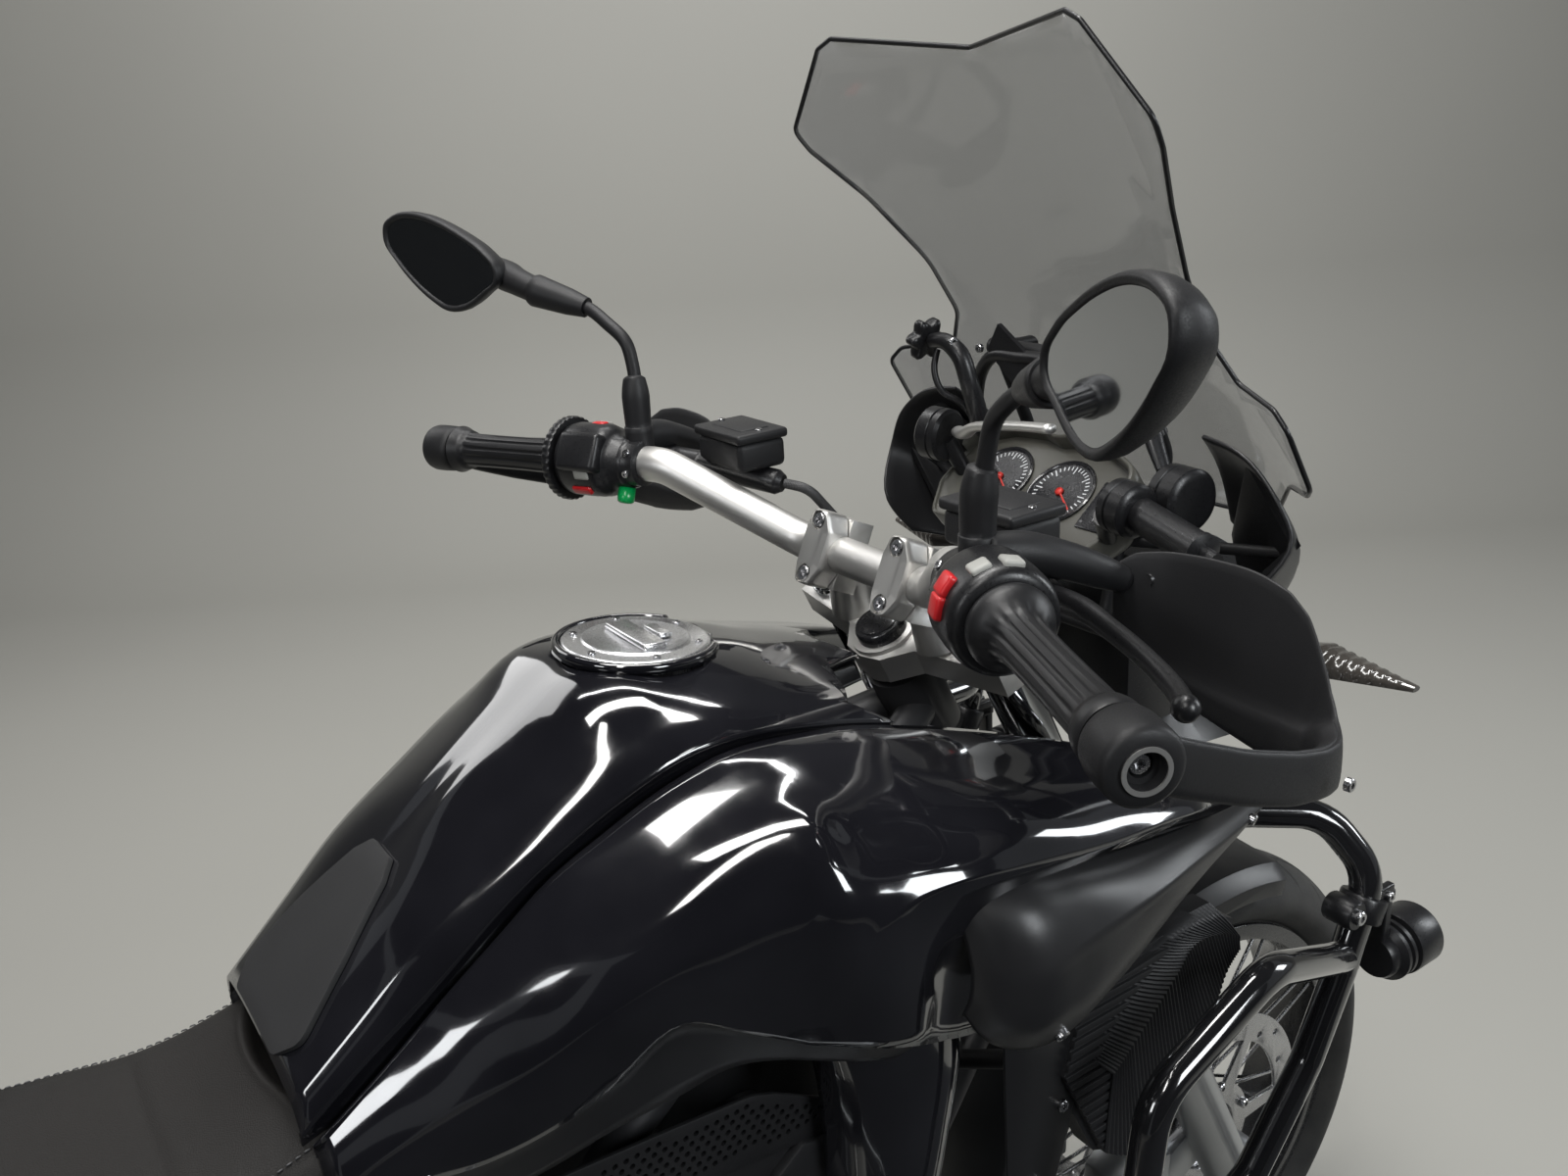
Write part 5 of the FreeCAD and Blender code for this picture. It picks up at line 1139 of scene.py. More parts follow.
screen_half = [(0, 1488, 10), (134, 1504, 5), (150, 1497, 10), (207, 1432, 14), (203, 1414, 14),
               (176, 1370, 60),
               (152, 1310, 60), (150, 1258, 26), (169, 1226, 12), (221, 1217, 14), (236, 1203, 14),
               (237, 1152, 10), (222, 1140, 10), (190, 1138, 18), (150, 1100, 40), (90, 1078, 40),
               (0, 1072, 60)]
screen_line = rounded_outline(screen_half + [(-y, z, r) for y, z, r in reversed(screen_half[1:-1])])
screen = laid_sheet("screen_sheet", screen_line, 14.0, lambda y, z: on_screen(y, z, 0.2))
faces_towards(screen, (1, 0, 0.4))
wall(screen, 0.0034)
outward(screen)
dress(screen, "tinted_screen", "chassis", "windscreen")
edge_path = [on_screen(y, z, 1.8) for y, z in screen_line]
edge = sweep("screen_edge", edge_path + edge_path[:1], [0.0021] * (len(edge_path) + 1), sides=8, steps=1)
dress(edge, "smooth_plastic", "chassis")

# %% [markdown]
# ## Mirrors
#
# A mirror's glass has a soft kite-like outline.  The same outline, grown and
# moved forward step by step, gives the shell behind it.  The shell narrows to a
# neck, then comes a rubber boot, a bent stem and a second boot at the bar.

# %% Mirrors
MIRROR_PLACES = (mm(181, 476, 1352), mm(199, 418, 1288), mm(193, 436, 1374), mm(242, 334, 1316))
MIRROR_SHIFT = mm(-4.5, -3, 0)
MIRROR_LINE = [(-44, 35.5), (-64, 29), (-76, 18), (-75, 4), (-58, -11), (-35, -25), (-7, -36), (12, -39.5),
               (27, -36), (58, -13), (71, 2), (69, 11), (52, 22), (22, 31), (-8, 36), (-28, 37)]


def mirror_frame():
    outer, low, top, inner = MIRROR_PLACES
    centre, side = (outer + low + top + inner) / 4 + MIRROR_SHIFT, (inner - outer).normalized()
    normal = side.cross(top - low).normalized()
    normal = normal if normal.x > 0 else -normal
    tall = normal.cross(side)
    return centre, side, tall if tall.z > 0 else -tall, normal


def mirror_ring(wide, high, back, slide=0.0):
    """The mirror's outline, stretched and moved forward by back mm."""
    centre, side, tall, normal = mirror_frame()
    line = closed_curve(MIRROR_LINE, 4)
    return [centre + side * ((a * wide * 0.94 + slide) / 1000) + tall * (b * high * 0.94 / 1000)
            + normal * (back / 1000)
            for a, b in line]


def stacked(name, rings, cap_first=False):
    """Closed outlines joined one after the other; the last one is always capped."""
    points = [p for ring in rings for p in ring]
    faces = grid_faces(len(rings), len(rings[0]), around=True)
    faces.append(tuple(range(len(points) - len(rings[0]), len(points))))
    if cap_first:
        faces.append(tuple(reversed(range(len(rings[0])))))
    return outward(make_mesh(name, points, faces))


SHELL_STEPS = (  # wide, high, how far forward in mm
    (0.985, 0.97, 3.6), (0.995, 0.985, 1.0), (1.015, 1.03, -0.8), (1.04, 1.08, -1.4), (1.065, 1.13, -0.6),
    (1.08, 1.155, 2.2), (1.075, 1.155, 7), (1.04, 1.11, 14), (0.97, 1.01, 21), (0.84, 0.87, 28),
    (0.65, 0.66, 33.5), (0.42, 0.42, 37), (0.16, 0.16, 38.4))
shell = stacked("mirror_shell", [mirror_ring(*step) for step in SHELL_STEPS])
centre, side_way, tall, normal = mirror_frame()
joint = mm(282, 282, 1292)
root = centre + side_way * 0.062 + normal * 0.014
neck = sweep("mirror_neck", [centre + side_way * 0.040 + normal * 0.030,
                             centre + side_way * 0.058 + normal * 0.027,
                             centre + side_way * 0.076 + normal * 0.021, root.lerp(joint, 0.42)],
             [0.015, 0.0155, 0.0140, 0.0128], 28, flat=0.9)
boot = sweep("mirror_boot", [root.lerp(joint, 0.40), root.lerp(joint, 0.43), root.lerp(joint, 0.8), joint],
             [0.0138, 0.0150, 0.0122, 0.0092], 28, sharp=(1,))
stem = sweep("mirror_stem", [root.lerp(joint, 0.8), joint, mm(289, 258, 1279), mm(296, 238, 1262),
                             mm(297, 232, 1244), mm(295, 227, 1210)], [0.006] * 6, 18)
foot = sweep("mirror_foot", [mm(294, 226, 1160), mm(294, 226, 1189), mm(294, 226, 1190),
                             mm(294.4, 226.6, 1212), mm(295.5, 228.5, 1232), mm(295.8, 229, 1234)],
             [0.0128, 0.0128, 0.0118, 0.0125, 0.0100, 0.0070], 28, sharp=(1, 2, 4))
shell = joined("left_mirror", shell, neck, boot, stem, foot)
crisp(shell, 55)
glass = stacked("left_mirror_glass", [mirror_ring(0.99, 0.98, 0.9), mirror_ring(0.99, 0.98, 2.4)],
                cap_first=True)
crisp(glass, 30)
dress_both(shell, "right_mirror", "grained_plastic", "steering", "mirrors")
dress_both(glass, "right_mirror_glass", "mirror_glass", "steering", "mirror_glasses")
print("mirror faces", len(shell.data.polygons))

# %% [markdown]
# ## Handlebar, clamps and yoke
#
# The clamps are cast blocks: the solid's own shape with its edges rounded, plus
# four socket screws.  The yoke has a round black cap over the steering nut.

# %% Clamps and yoke
for node, finish, width in (("top_yoke", "satin_alloy", 0.0020), ("handlebar", "satin_alloy", 0.0006)):
    soften(node, finish, width, 3)

BAR_MIDDLE = mm(376.5, 0, 1092)
CLAMP_OUT, CLAMP_UP = Vector((-0.9139, 0, 0.4062)), Vector((0.4062, 0, 0.9139))
STEER_AHEAD, STEER_UP = Vector((0.9026, 0, 0.4305)), Vector((-0.4305, 0, 0.9026))


def steering_point(f, y, s):
    """A point by its distance ahead of the steering axis, sideways, and up the axis, in mm."""
    return mm(881.1, 0, 0) + STEER_AHEAD * (f / 1000) + Vector((0, y / 1000, 0)) + STEER_UP * (s / 1000)


CLAMP_OUTLINE = [(-9, 33, 8), (9, 33, 8), (17, 17, 6), (17, -17, 6), (9, -33, 8), (-9, -33, 8), (-17, -17, 6),
                 (-17, 17, 6)]


def clamp_cap(side):
    """The front half of a bar clamp: its outline across the bar, stacked outwards in steps."""
    rings = []
    for shrink, n in ((1.0, 0.6), (1.0, 17), (0.985, 20), (0.95, 22.4), (0.88, 23.8), (0.5, 24)):
        ring = []
        for across, tall in rounded_outline(CLAMP_OUTLINE):
            slope = 3.2 * max(0.0, abs(across) - 7) / 10 * (n > 15)
            ring.append(BAR_MIDDLE + Vector((0, side * 0.052 + across * shrink / 1000, 0))
                        + CLAMP_UP * (tall * (0.5 + 0.5 * shrink) / 1000) + CLAMP_OUT * ((n - slope) / 1000))
        rings.append(ring)
    cap = stacked("clamp_cap", rings, cap_first=True)
    for t in (1, -1):
        well = lathe("bolt_well", [(0, -0.004), (0.0082, -0.004), (0.0082, 0.012), (0, 0.012)],
                     BAR_MIDDLE + Vector((0, side * 0.052, 0)) + CLAMP_UP * (t * 0.0235) + CLAMP_OUT * 0.0222,
                     CLAMP_OUT, 32)
        cut_by(cap, well)
    bar_space = lathe("bar_space", [(0, -0.03), (0.0161, -0.03), (0.0161, 0.03), (0, 0.03)],
                      BAR_MIDDLE + Vector((0, side * 0.052, 0)), Vector((0, 1, 0)), 48)
    cut_by(cap, bar_space)
    crisp(cap, 38)
    return cap


caps = joined("bar_clamp_caps", clamp_cap(1), clamp_cap(-1))
crisp(caps, 38)
dress(caps, "satin_alloy", "steering", "bar_clamps")
clamp_bolts = [(BAR_MIDDLE + Vector((0, s * 0.052, 0)) + CLAMP_UP * (t * 0.0235) + CLAMP_OUT * 0.0190,
                CLAMP_OUT, 0.0068)
               for s in (1, -1) for t in (1, -1)]
screws("clamp_bolts", clamp_bolts, "steering")

# %% [markdown]
# ## Grips
#
# A grip is rubber with lengthwise ridges, a domed flange at the switches and a
# plain collar at the end.  Its cross-section is a circle with a wave on it, and
# the wave fades out towards both ends.

# %% Grips and bar ends
ELBOW, TIP = mm(300, 195, 1157), mm(191, 450, 1150)
GRIP_DIRECTION = (TIP - ELBOW).normalized()


def on_grip(y):
    """The bar's middle line at that distance from the machine's middle, in mm."""
    return ELBOW + (TIP - ELBOW) * ((y - 195) / 255)


def about(point, angle, radius):
    """A place round the grip: 0 degrees faces the rider, 90 is up."""
    back = (Vector((-1, 0, 0)) - GRIP_DIRECTION * -GRIP_DIRECTION.x).normalized()
    upward = back.cross(GRIP_DIRECTION).normalized()
    upward = upward if upward.z > 0 else -upward
    a = math.radians(angle)
    direction = back * math.cos(a) + upward * math.sin(a)
    return point + direction * (radius / 1000), direction


def grip_body(name, flare):
    stations = [(290.6, 26.5, 0), (292, 28, 0), (295, 28.4, 0), (299, 27, 0), (303, 23.5, 0),
                (307, 19.0, 0.1),
                (313, 16.6, 0.7), (322, 15.7, 1), (350, 15.3, 1), (380, 15.3, 1), (406, 15.6, 1),
                (412, 16.2, 0.5),
                (415, 17.0, 0), (416, 18.9, 0), (420, 20.0, 0), (427, 20.5 + flare, 0), (429, 19.5, 0)]
    rings = []
    for y, r, wave in stations:
        ring = []
        for k in range(96):
            a = 360 * k / 96
            ripple = 0.8 * wave * (1 if math.sin(math.radians(a * 12)) > -0.2 else -1)
            ring.append(about(on_grip(y), a, r + ripple)[0])
        rings.append(ring)
    return stacked(name, rings, cap_first=True)


left_grip, right_grip = grip_body("left_grip_rubber", 2.5), mirror_copy(grip_body("right_source", 0),
                                                                        "right_grip_rubber")
bpy.data.objects.remove(bpy.data.objects["right_source"])
dress(left_grip, "grip_rubber", "steering", "grips")
dress(right_grip, "grip_rubber", "steering")
for grip in (left_grip, right_grip):
    crisp(grip, 55)

END_PROFILE = [(0, 0.9), (6.8, 0.9), (6.8, 6), (10, 6.2), (10.4, 12.4), (13.4, 12.6), (13.6, 11.6),
               (19, 11.2),
               (21.6, 9.2), (22.6, 5.5), (22.8, -4), (22.4, -14), (21.4, -19), (20, -20.5), (0, -20.5)]
end_place = on_grip(450)
drum = lathe("guard_end_drum", metres(END_PROFILE), end_place, GRIP_DIRECTION, 64)
crisp(drum, 40)
white_ring = lathe("guard_end_ring", metres(((10.6, 12.2), (10.6, 13.2), (13.2, 13.2),
                                                                        (13.2, 12.2))), end_place,
                                                                        GRIP_DIRECTION, 64)
crisp(white_ring, 40)
for thing, finish in ((drum, "grained_plastic"), (white_ring, "satin_alloy")):
    dress(mirror_copy(thing, "right_" + thing.name), finish, "steering")
    dress(thing, finish, "steering")
screws("bar_end_screws", both_sides([(end_place + GRIP_DIRECTION * 0.0012, GRIP_DIRECTION, 0.0062)]),
       "steering")

# %% [markdown]
# ## Hand guards
#
# A guard is one moulding: an arm from the bar end, a corner, and a shield that
# turns in across the lever.  Its cross-section is a thin wall standing on a
# thicker band, so each station gives the place, the heights and how much of the
# height is band.

# %% Hand guards
GUARD = (  # x, y, foot, top, band share of the height, band thickness
    (196, 460, 1130, 1166, 1.0, 15), (224, 462, 1117, 1153, 1.0, 15), (262, 464, 1101, 1136, 1.0, 14),
    (304, 464, 1086, 1121, 1.0, 14), (338, 460, 1078, 1112, 1.0, 14), (358, 452, 1072, 1109, 1.0, 14),
    (373, 439, 1066, 1110, 0.9, 14), (383, 424, 1061, 1119, 0.62, 13), (388, 409, 1058, 1138, 0.42, 12),
    (391, 396, 1057, 1154, 0.34, 11), (393, 380, 1057, 1164, 0.30, 10), (396, 352, 1060, 1169, 0.26, 9),
    (397, 318, 1066, 1169, 0.24, 7), (396, 290, 1076, 1167, 0.26, 5), (392, 268, 1092, 1163, 0.4, 4),
    (389, 256, 1112, 1154, 0.8, 3.5))


def guard_moulding():
    path = through([Vector((x, y, 0)) for x, y, *_ in GUARD], 5)
    sizes = through([Vector((foot, top, share)) for _, _, foot, top, share, _ in GUARD], 5)
    bands = through([Vector((band, 0, 0)) for *_, band in GUARD], 5)
    rings = []
    for i, place in enumerate(path):
        ahead = (path[min(i + 1, len(path) - 1)] - path[max(i - 1, 0)]).normalized()
        out = Vector((ahead.y, -ahead.x, 0))
        foot, top, share = sizes[i]
        share, band, wall_t = min(share, 1.0), bands[i].x, 3.2
        tall = top - foot
        lean = 0.16 * (1 - share) * tall
        ridge = foot + tall * min(share, 0.93)
        section = [(0.5, foot + 1.5), (-0.6, foot + 0.25 * tall), (-0.8 - 0.35 * lean, foot + 0.6 * tall),
                   (-lean, top - 2), (-lean + 0.5 * wall_t, top), (wall_t - lean, top - 2),
                   (wall_t - 0.45 * lean, 0.5 * (ridge + top) + 1), (wall_t + 0.6, ridge + 2.5),
                   (0.72 * band, ridge - 0.5), (band, ridge - 5), (band, foot + 0.18 * tall),
                   (0.8 * band, foot + 1)]
        rings.append([mm(place.x, place.y, z) + out * (u / 1000) for u, z in section])
    return stacked("left_guard", rings, cap_first=True)


guard = guard_moulding()
smooth = guard.modifiers.new("smooth", "SUBSURF")
smooth.levels = 1
apply_modifiers(guard)
guard.data.shade_smooth()
arm = sweep("guard_inner_arm", [mm(296, 232, 1176), mm(318, 240, 1174), mm(346, 250, 1165),
                                mm(374, 258, 1152),
                                mm(392, 262, 1143)], [0.0135, 0.0135, 0.0120, 0.0105, 0.008], 20, flat=1.1)
guard = joined("left_hand_guard", guard, arm)
dress_both(guard, "right_hand_guard", "grained_plastic", "steering", "hand_guards")
screws("guard_screws", both_sides([(mm(330, 475, 1098), Vector((0.1, 1, 0)), 0.0040),
                                   (mm(397.5, 278, 1146), Vector((1, 0.1, 0)), 0.0042)]), "steering")
print("guard faces", len(guard.data.polygons))

# %% [markdown]
# ## Switches
#
# The right housing is a round drum, the left one swells towards the rider to
# carry more buttons.  Every button is a small rounded block laid on the drum at
# its angle round the grip, listed with its place, size and colour.

# %% Switch housings
HOUSING = ((213, 20.5), (214, 22.5), (228, 22.8), (230, 25), (238, 26), (241, 30), (245, 34.5), (250, 36.4),
           (266, 37), (281, 36.6), (287, 35), (290, 31.5), (290.4, 27))


def housing_body(name, swell):
    rings = []
    for y, r in HOUSING:
        ring = []
        for k in range(72):
            a = 360 * k / 72
            towards = max(0.0, math.cos(math.radians(a - 20))) ** 0.6
            ring.append(about(on_grip(y), a, r * (1 - swell + swell * towards))[0])
        rings.append(ring)
    return stacked(name, rings, cap_first=True)


left_house = housing_body("left_switch_housing", 0.10)
right_source = housing_body("right_switch_source", 0.0)
right_house = mirror_copy(right_source, "right_switch_housing")
bpy.data.objects.remove(right_source)
left_block = rounded_box("left_switch_block", about(on_grip(262), 26, 29)[0], GRIP_DIRECTION,
                         about(on_grip(262), 26, 29)[1], (0.046, 0.036, 0.020), 0.005)
left_house = joined("left_switch_housing_whole", left_house, left_block)
for thing in (left_house, right_house):
    crisp(thing, 48)
dress(left_house, "smooth_plastic", "steering", "switchgear")
dress(right_house, "smooth_plastic", "steering")

BUTTONS = (  # side, name, distance out, angle, height, along, round, thick, finish
    (1, "high_beam", 267, 42, 38.5, 14, 12, 7, "button_grey"),
    (1, "hazard", 247, 45, 38, 10, 11, 7, "button_red"),
    (1, "cruise", 258, -6, 38, 17, 12, 7, "button_grey"),
    (1, "turn_signal", 263, -36, 38.5, 22, 9, 9, "button_red"),
    (1, "signal_tip", 262, 16, 39, 13, 9, 7, "button_grey"),
    (1, "mode_front", 260, 92, 36, 15, 10, 5, "button_red"),
    (1, "mode_rear", 262, 110, 36, 13, 10, 5, "button_grey"),
    (-1, "mode", 277, 68, 39, 14, 14, 7, "button_grey"), (-1, "heat", 279, 100, 39, 14, 14, 7, "button_grey"),
    (-1, "stop", 269, 12, 41, 15, 16, 9, "button_red"), (-1, "starter", 268, 34, 41, 15, 15, 9, "button_red"))


def button(side, name, out, angle, height, along, round_, thick, finish):
    spot, facing = about(on_grip(out), angle, height - thick / 2)
    block = rounded_box(name + "_button", spot, GRIP_DIRECTION, facing,
                        (along / 1000, round_ / 1000, thick / 1000), 0.0024)
    if side < 0:
        right = mirror_copy(block, name + "_right_button")
        bpy.data.objects.remove(block)
        block = right
    return dress(block, finish, "steering")


for settings in BUTTONS:
    button(*settings)
green_spot, green_way = about(on_grip(231), -70, 33)
green = lathe("fog_lamp_button", metres(((0, 5), (5.5, 4.6), (7.6, 3), (8, 0), (8, -10), (0, -10))),
              green_spot, green_way, 32)
dress(green, "button_green", "steering")
wheel_rings = [[about(on_grip(y), 360 * k / 144, r + (0.9 if (k // 2) % 2 else 0))[0] for k in range(144)]
               for y, r in ((290.6, 30), (290.8, 37.6), (292, 38.4), (297, 38.4), (298.6, 37.4), (298.8, 29))]
wheel = stacked("menu_wheel", wheel_rings, cap_first=True)
crisp(wheel, 35)
dress(wheel, "smooth_plastic", "steering")
screws("switch_screws", [(about(on_grip(y), a, 22.6)[0], about(on_grip(y), a, 22)[1], 0.0036)
                         for y, a in ((220, 36), (220, -12))], "steering")
mirrored_screws = [(Vector((p.x, -p.y, p.z)), Vector((n.x, -n.y, n.z)), 0.0036)
                   for p, n in [about(on_grip(220), a, 22.6) for a in (36, -12)]]
screws("right_switch_screws", mirrored_screws, "steering")

# %% [markdown]
# ## Levers and reservoirs
#
# Each side has a clamp ring on the bar, a master cylinder lying ahead of it, a
# flat-topped reservoir with a screwed lid, and a forged lever with a ball end.

# %% Levers
GRIP_AHEAD = about(on_grip(300), 180, 1)[1]


def lever_side():
    ring = lathe("clamp_ring", metres(((16, 8), (22, 8), (23.6, 6), (23.6, -6), (22, -8), (16, -8))),
                 on_grip(231), GRIP_DIRECTION, 48)
    neck = sweep("perch", [on_grip(231), mm(310, 232, 1153), mm(334, 234, 1149)], [0.012, 0.0115, 0.013], 20)
    pump = sweep("pump", [mm(330, 238, 1150), mm(345, 208, 1147), mm(346, 206, 1147), mm(380, 134, 1137),
                          mm(383, 129, 1136)], [0.0125, 0.0125, 0.0115, 0.0115, 0.008], 24, sharp=(1, 2, 3))
    boss = sweep("mirror_boss", [mm(294, 226, 1150), mm(294, 226, 1160), mm(294, 226, 1188)],
                 [0.0125, 0.0127, 0.0122], 28)
    knuckle = rounded_box("lever_knuckle", mm(336, 241, 1141), GRIP_AHEAD, (0, 0, 1), (0.026, 0.026, 0.018),
                          0.005)
    drop = Vector((0, 0, -0.006))
    path = [mm(332, 240, 1142)] + [on_grip(y) + GRIP_AHEAD * (d / 1000) + drop
                                   for y, d in ((268, 58), (300, 61), (345, 62), (385, 58), (400, 54))]
    lever = sweep("lever", path, [0.0075, 0.0066, 0.0058, 0.0056, 0.0058, 0.006], 20, flat=1.25)
    ball = lathe("lever_ball", [(8 * math.sin(math.pi * k / 12) / 1000, 8 * math.cos(math.pi * k / 12) / 1000)
                                for k in range(13)], path[-1], GRIP_DIRECTION, 24)
    whole = joined("lever_parts", ring, neck, pump, boss, knuckle, lever, ball)
    crisp(whole, 48)
    return whole


def reservoir():
    tub = rounded_box("reservoir_tub", mm(367, 170, 1164), (1, 0, 0), (0, 0, 1), (0.050, 0.072, 0.027), 0.006)
    lid = rounded_box("reservoir_lid", mm(367, 170, 1181), (1, 0, 0), (0, 0, 1), (0.054, 0.076, 0.009),
                      0.0032)
    crown = rounded_box("reservoir_crown", mm(367, 170, 1185), (1, 0, 0), (0, 0, 1), (0.030, 0.050, 0.003),
                        0.0014)
    return joined("reservoir_whole", tub, lid, crown)


levers, pot = lever_side(), reservoir()
crisp(pot, 50)
dress_both(levers, "right_lever_parts", "smooth_plastic", "steering", "control_levers")
dress(mirror_copy(pot, "right_reservoir"), "grained_plastic", "steering")
dress(pot, "grained_plastic", "steering")
screws("lid_screws", both_sides([(mm(367, y, 1185.3), Vector((0, 0, 1)), 0.0032) for y in (139, 201)]),
       "steering")

# %% Steering nut cap
cap_rings = metres(((0, 2.6), (14, 2.2), (17, 1.6), (17.4, 0.6), (20.6, 0.9), (21.6, 0),
                                               (22.2, -2), (22.2, -10), (0, -10)))
nut_cap = lathe("steering_nut_cap", cap_rings, steering_point(0, 0, 1151.5), STEER_UP, 64)
crisp(nut_cap, 35)
dress(nut_cap, "dial_black", "steering")

# %% [markdown]
# ## Instruments
# The pod is the solid's own outline with softened edges, and everything on its
# face is placed in the face's own directions: two round dials, a display beside
# them, and marks set round each dial by a loop.

# %% Instrument pod
FACE, FACE_UP = Vector((-0.62, 0, 0.78)).normalized(), Vector((0.78, 0, 0.62)).normalized()
FACE_MIDDLE = mm(560, 0, 1118)


def on_face(a, b, lift=0.0):
    """A place on the instrument face: a to the left, b up, lift towards the rider, in mm."""
    return FACE_MIDDLE + Vector((0, a / 1000, 0)) + FACE_UP * (b / 1000) + FACE * (lift / 1000)


POD_STEPS = ((0.90, -34), (0.98, -28), (1.0, -20), (1.0, -3), (0.985, -0.6), (0.96, 0.0), (0.955, -2.5),
             (0.2, -3.2))
POD_LINE = rounded_outline([(-112, -12, 18), (-106, 38, 22), (-62, 57, 24), (-22, 60, 20), (0, 54, 14),
                            (22, 60, 20),
                            (62, 57, 24), (106, 38, 22), (112, -12, 18), (94, -48, 14), (-94, -48, 14)])
pod = stacked("instrument_pod", [[on_face(a * k, b * k, h) for a, b in POD_LINE] for k, h in POD_STEPS],
              cap_first=True)
crisp(pod, 45)
hood_low = [(a, b) for a, b in POD_LINE if b > 8]
hood_rings = [[on_face(a * k, b * k, h) for a, b in hood_low] for k,
              h in ((1.0, -4), (1.01, 6), (1.0, 15), (0.97, 16.5),
                                                                          (0.945, 13), (0.95, 2), (0.96, -3))]
hood = make_mesh("pod_hood", [p for ring in hood_rings for p in ring],
                 grid_faces(len(hood_rings), len(hood_low)))
hood = outward(hood)
pod = joined("instrument_pod_whole", pod, hood)
dress(pod, "cluster_grey", "chassis", "instruments")

DIALS = ((46, 8, 33), (-30, 8, 33))
for k, (a, b, r) in enumerate(DIALS):
    bezel = lathe("dial_bezel_%d" % k, metres(((0, 0.8), (r - 2.5, 0.8), (r - 1.5, 2.4),
                  (r, 3.0), (r + 1.6, 2.2), (r + 2, -3), (0, -3))), on_face(a, b, -3.0), FACE, 64)
    crisp(bezel, 40)
    dress(bezel, "dial_black", "chassis")
display = rounded_box("display", on_face(-84, 4, -2.4), FACE_UP, FACE, (0.050, 0.030, 0.003), 0.001)
dress(display, "dial_black", "chassis")
tick_block = rounded_box("tick_template", (0, 0, 0), (1, 0, 0), (0, 0, 1), (1, 0.16, 0.08), 0.01)
ticks = []
for a, b, r in DIALS:
    for k in range(31):
        turn = math.radians(-45 + 270 * k / 30)
        way = Vector((0, math.cos(turn), 0)) + FACE_UP * math.sin(turn)
        long = 0.0075 if k % 5 == 0 else 0.004
        ticks.append((on_face(a, b, -1.9) + way * ((r - 4.5) / 1000 - long / 2), FACE, way,
                      (long, 0.0065, 0.004)))
repeat("dial_marks", tick_block, ticks, "dial_mark", "chassis")
for k, (a, b, r) in enumerate(DIALS):
    turn = math.radians(215)
    way = Vector((0, math.cos(turn), 0)) + FACE_UP * math.sin(turn)
    needle = rounded_box("needle_%d" % k, on_face(a, b, -0.8) + way * 0.012, way, FACE,
                         (0.030, 0.0016, 0.001), 0.0003)
    hub = lathe("needle_hub_%d" % k, [(0, 0.0014), (0.0035, 0.001), (0.0042, -0.001), (0, -0.001)],
                on_face(a, b, -0.6), FACE, 24)
    dress(joined("dial_needle_%d" % k, needle, hub), "needle_red", "chassis")

# %% [markdown]
# ## Cockpit frame, side cheeks and accessories
#
# Black tubes carry the screen.  On them sit a bright bar, two round sockets on
# the right, and the star knob that sets the screen's height on the left.  The
# cheeks beside the headlamp are thin curved panels.

# %% Cheeks and cockpit frame
soften("cockpit_carrier", "grained_plastic", 0.0012, 2)
CHEEK = (
    [(606, 150, 1186), (602, 196, 1176), (599, 228, 1150), (600, 244, 1120), (572, 222, 1062),
     (590, 204, 1028)],
    [(640, 138, 1158), (640, 176, 1148), (640, 208, 1122), (642, 222, 1094), (632, 206, 1046),
     (640, 178, 1010)],
    [(700, 112, 1086), (701, 128, 1070), (702, 137, 1040), (703, 138, 1010), (703, 130, 976),
     (702, 114, 948)],
)
cheek = skin("left_cheek", [[mm(*p) for p in row] for row in CHEEK], 6, 6)
faces_towards(cheek, (-1, 1, 0.2))
wall(cheek, 0.0035)
round_edges(cheek, 0.0012, 2, 50)
dress(mirror_copy(outward(cheek), "right_cheek"), "satin_shroud", "chassis")
dress(cheek, "satin_shroud", "chassis")

# The bright accessory bar, its end caps, and the round sockets with their stalk
bright_bar = sweep("accessory_bar", [mm(552, 84, 1160), mm(536, 58, 1166), mm(522, 30, 1178),
                                     mm(508, -10, 1188), mm(498, -60, 1197), mm(491.5, -94, 1201.6)],
                                     [0.0075, 0.0075, 0.006, 0.0055, 0.0055, 0.0055],
                   20, flat=0.75)
dress(bright_bar, "satin_alloy", "chassis")
SOCKETS = (  # place, direction, length, radius
    (mm(552, 96, 1154), (-0.2, 1, 0.05), 26, 25), (mm(565, -150, 1144), (-0.1, -1, 0), 30, 26),
    (mm(522, -134, 1142), (-0.1, -1, -0.05), 28, 22))
drums = []
for place, way, length, radius in SOCKETS:
    profile = [(0, 0), (radius - 3, 0), (radius, 3), (radius, length * 0.35),
               (radius - 1.2, length * 0.35 + 0.8),
               (radius - 1.2, length * 0.42), (radius, length * 0.42 + 0.8), (radius, length - 3),
               (radius - 3, length), (radius * 0.7, length + 0.6), (0, length + 1.6)]
    drums.append(lathe("socket", metres(profile), place, Vector(way).normalized(), 56))
stalk_way = Vector((-0.25, -1, -0.12)).normalized()
stalk = lathe("socket_stalk", metres(((0, 0), (14, 0), (14, 74), (15, 75), (15, 80), (10, 82),
                                                                 (6, 83), (6, 96), (0, 96))),
                                                                 mm(522, -160, 1139), stalk_way, 40)
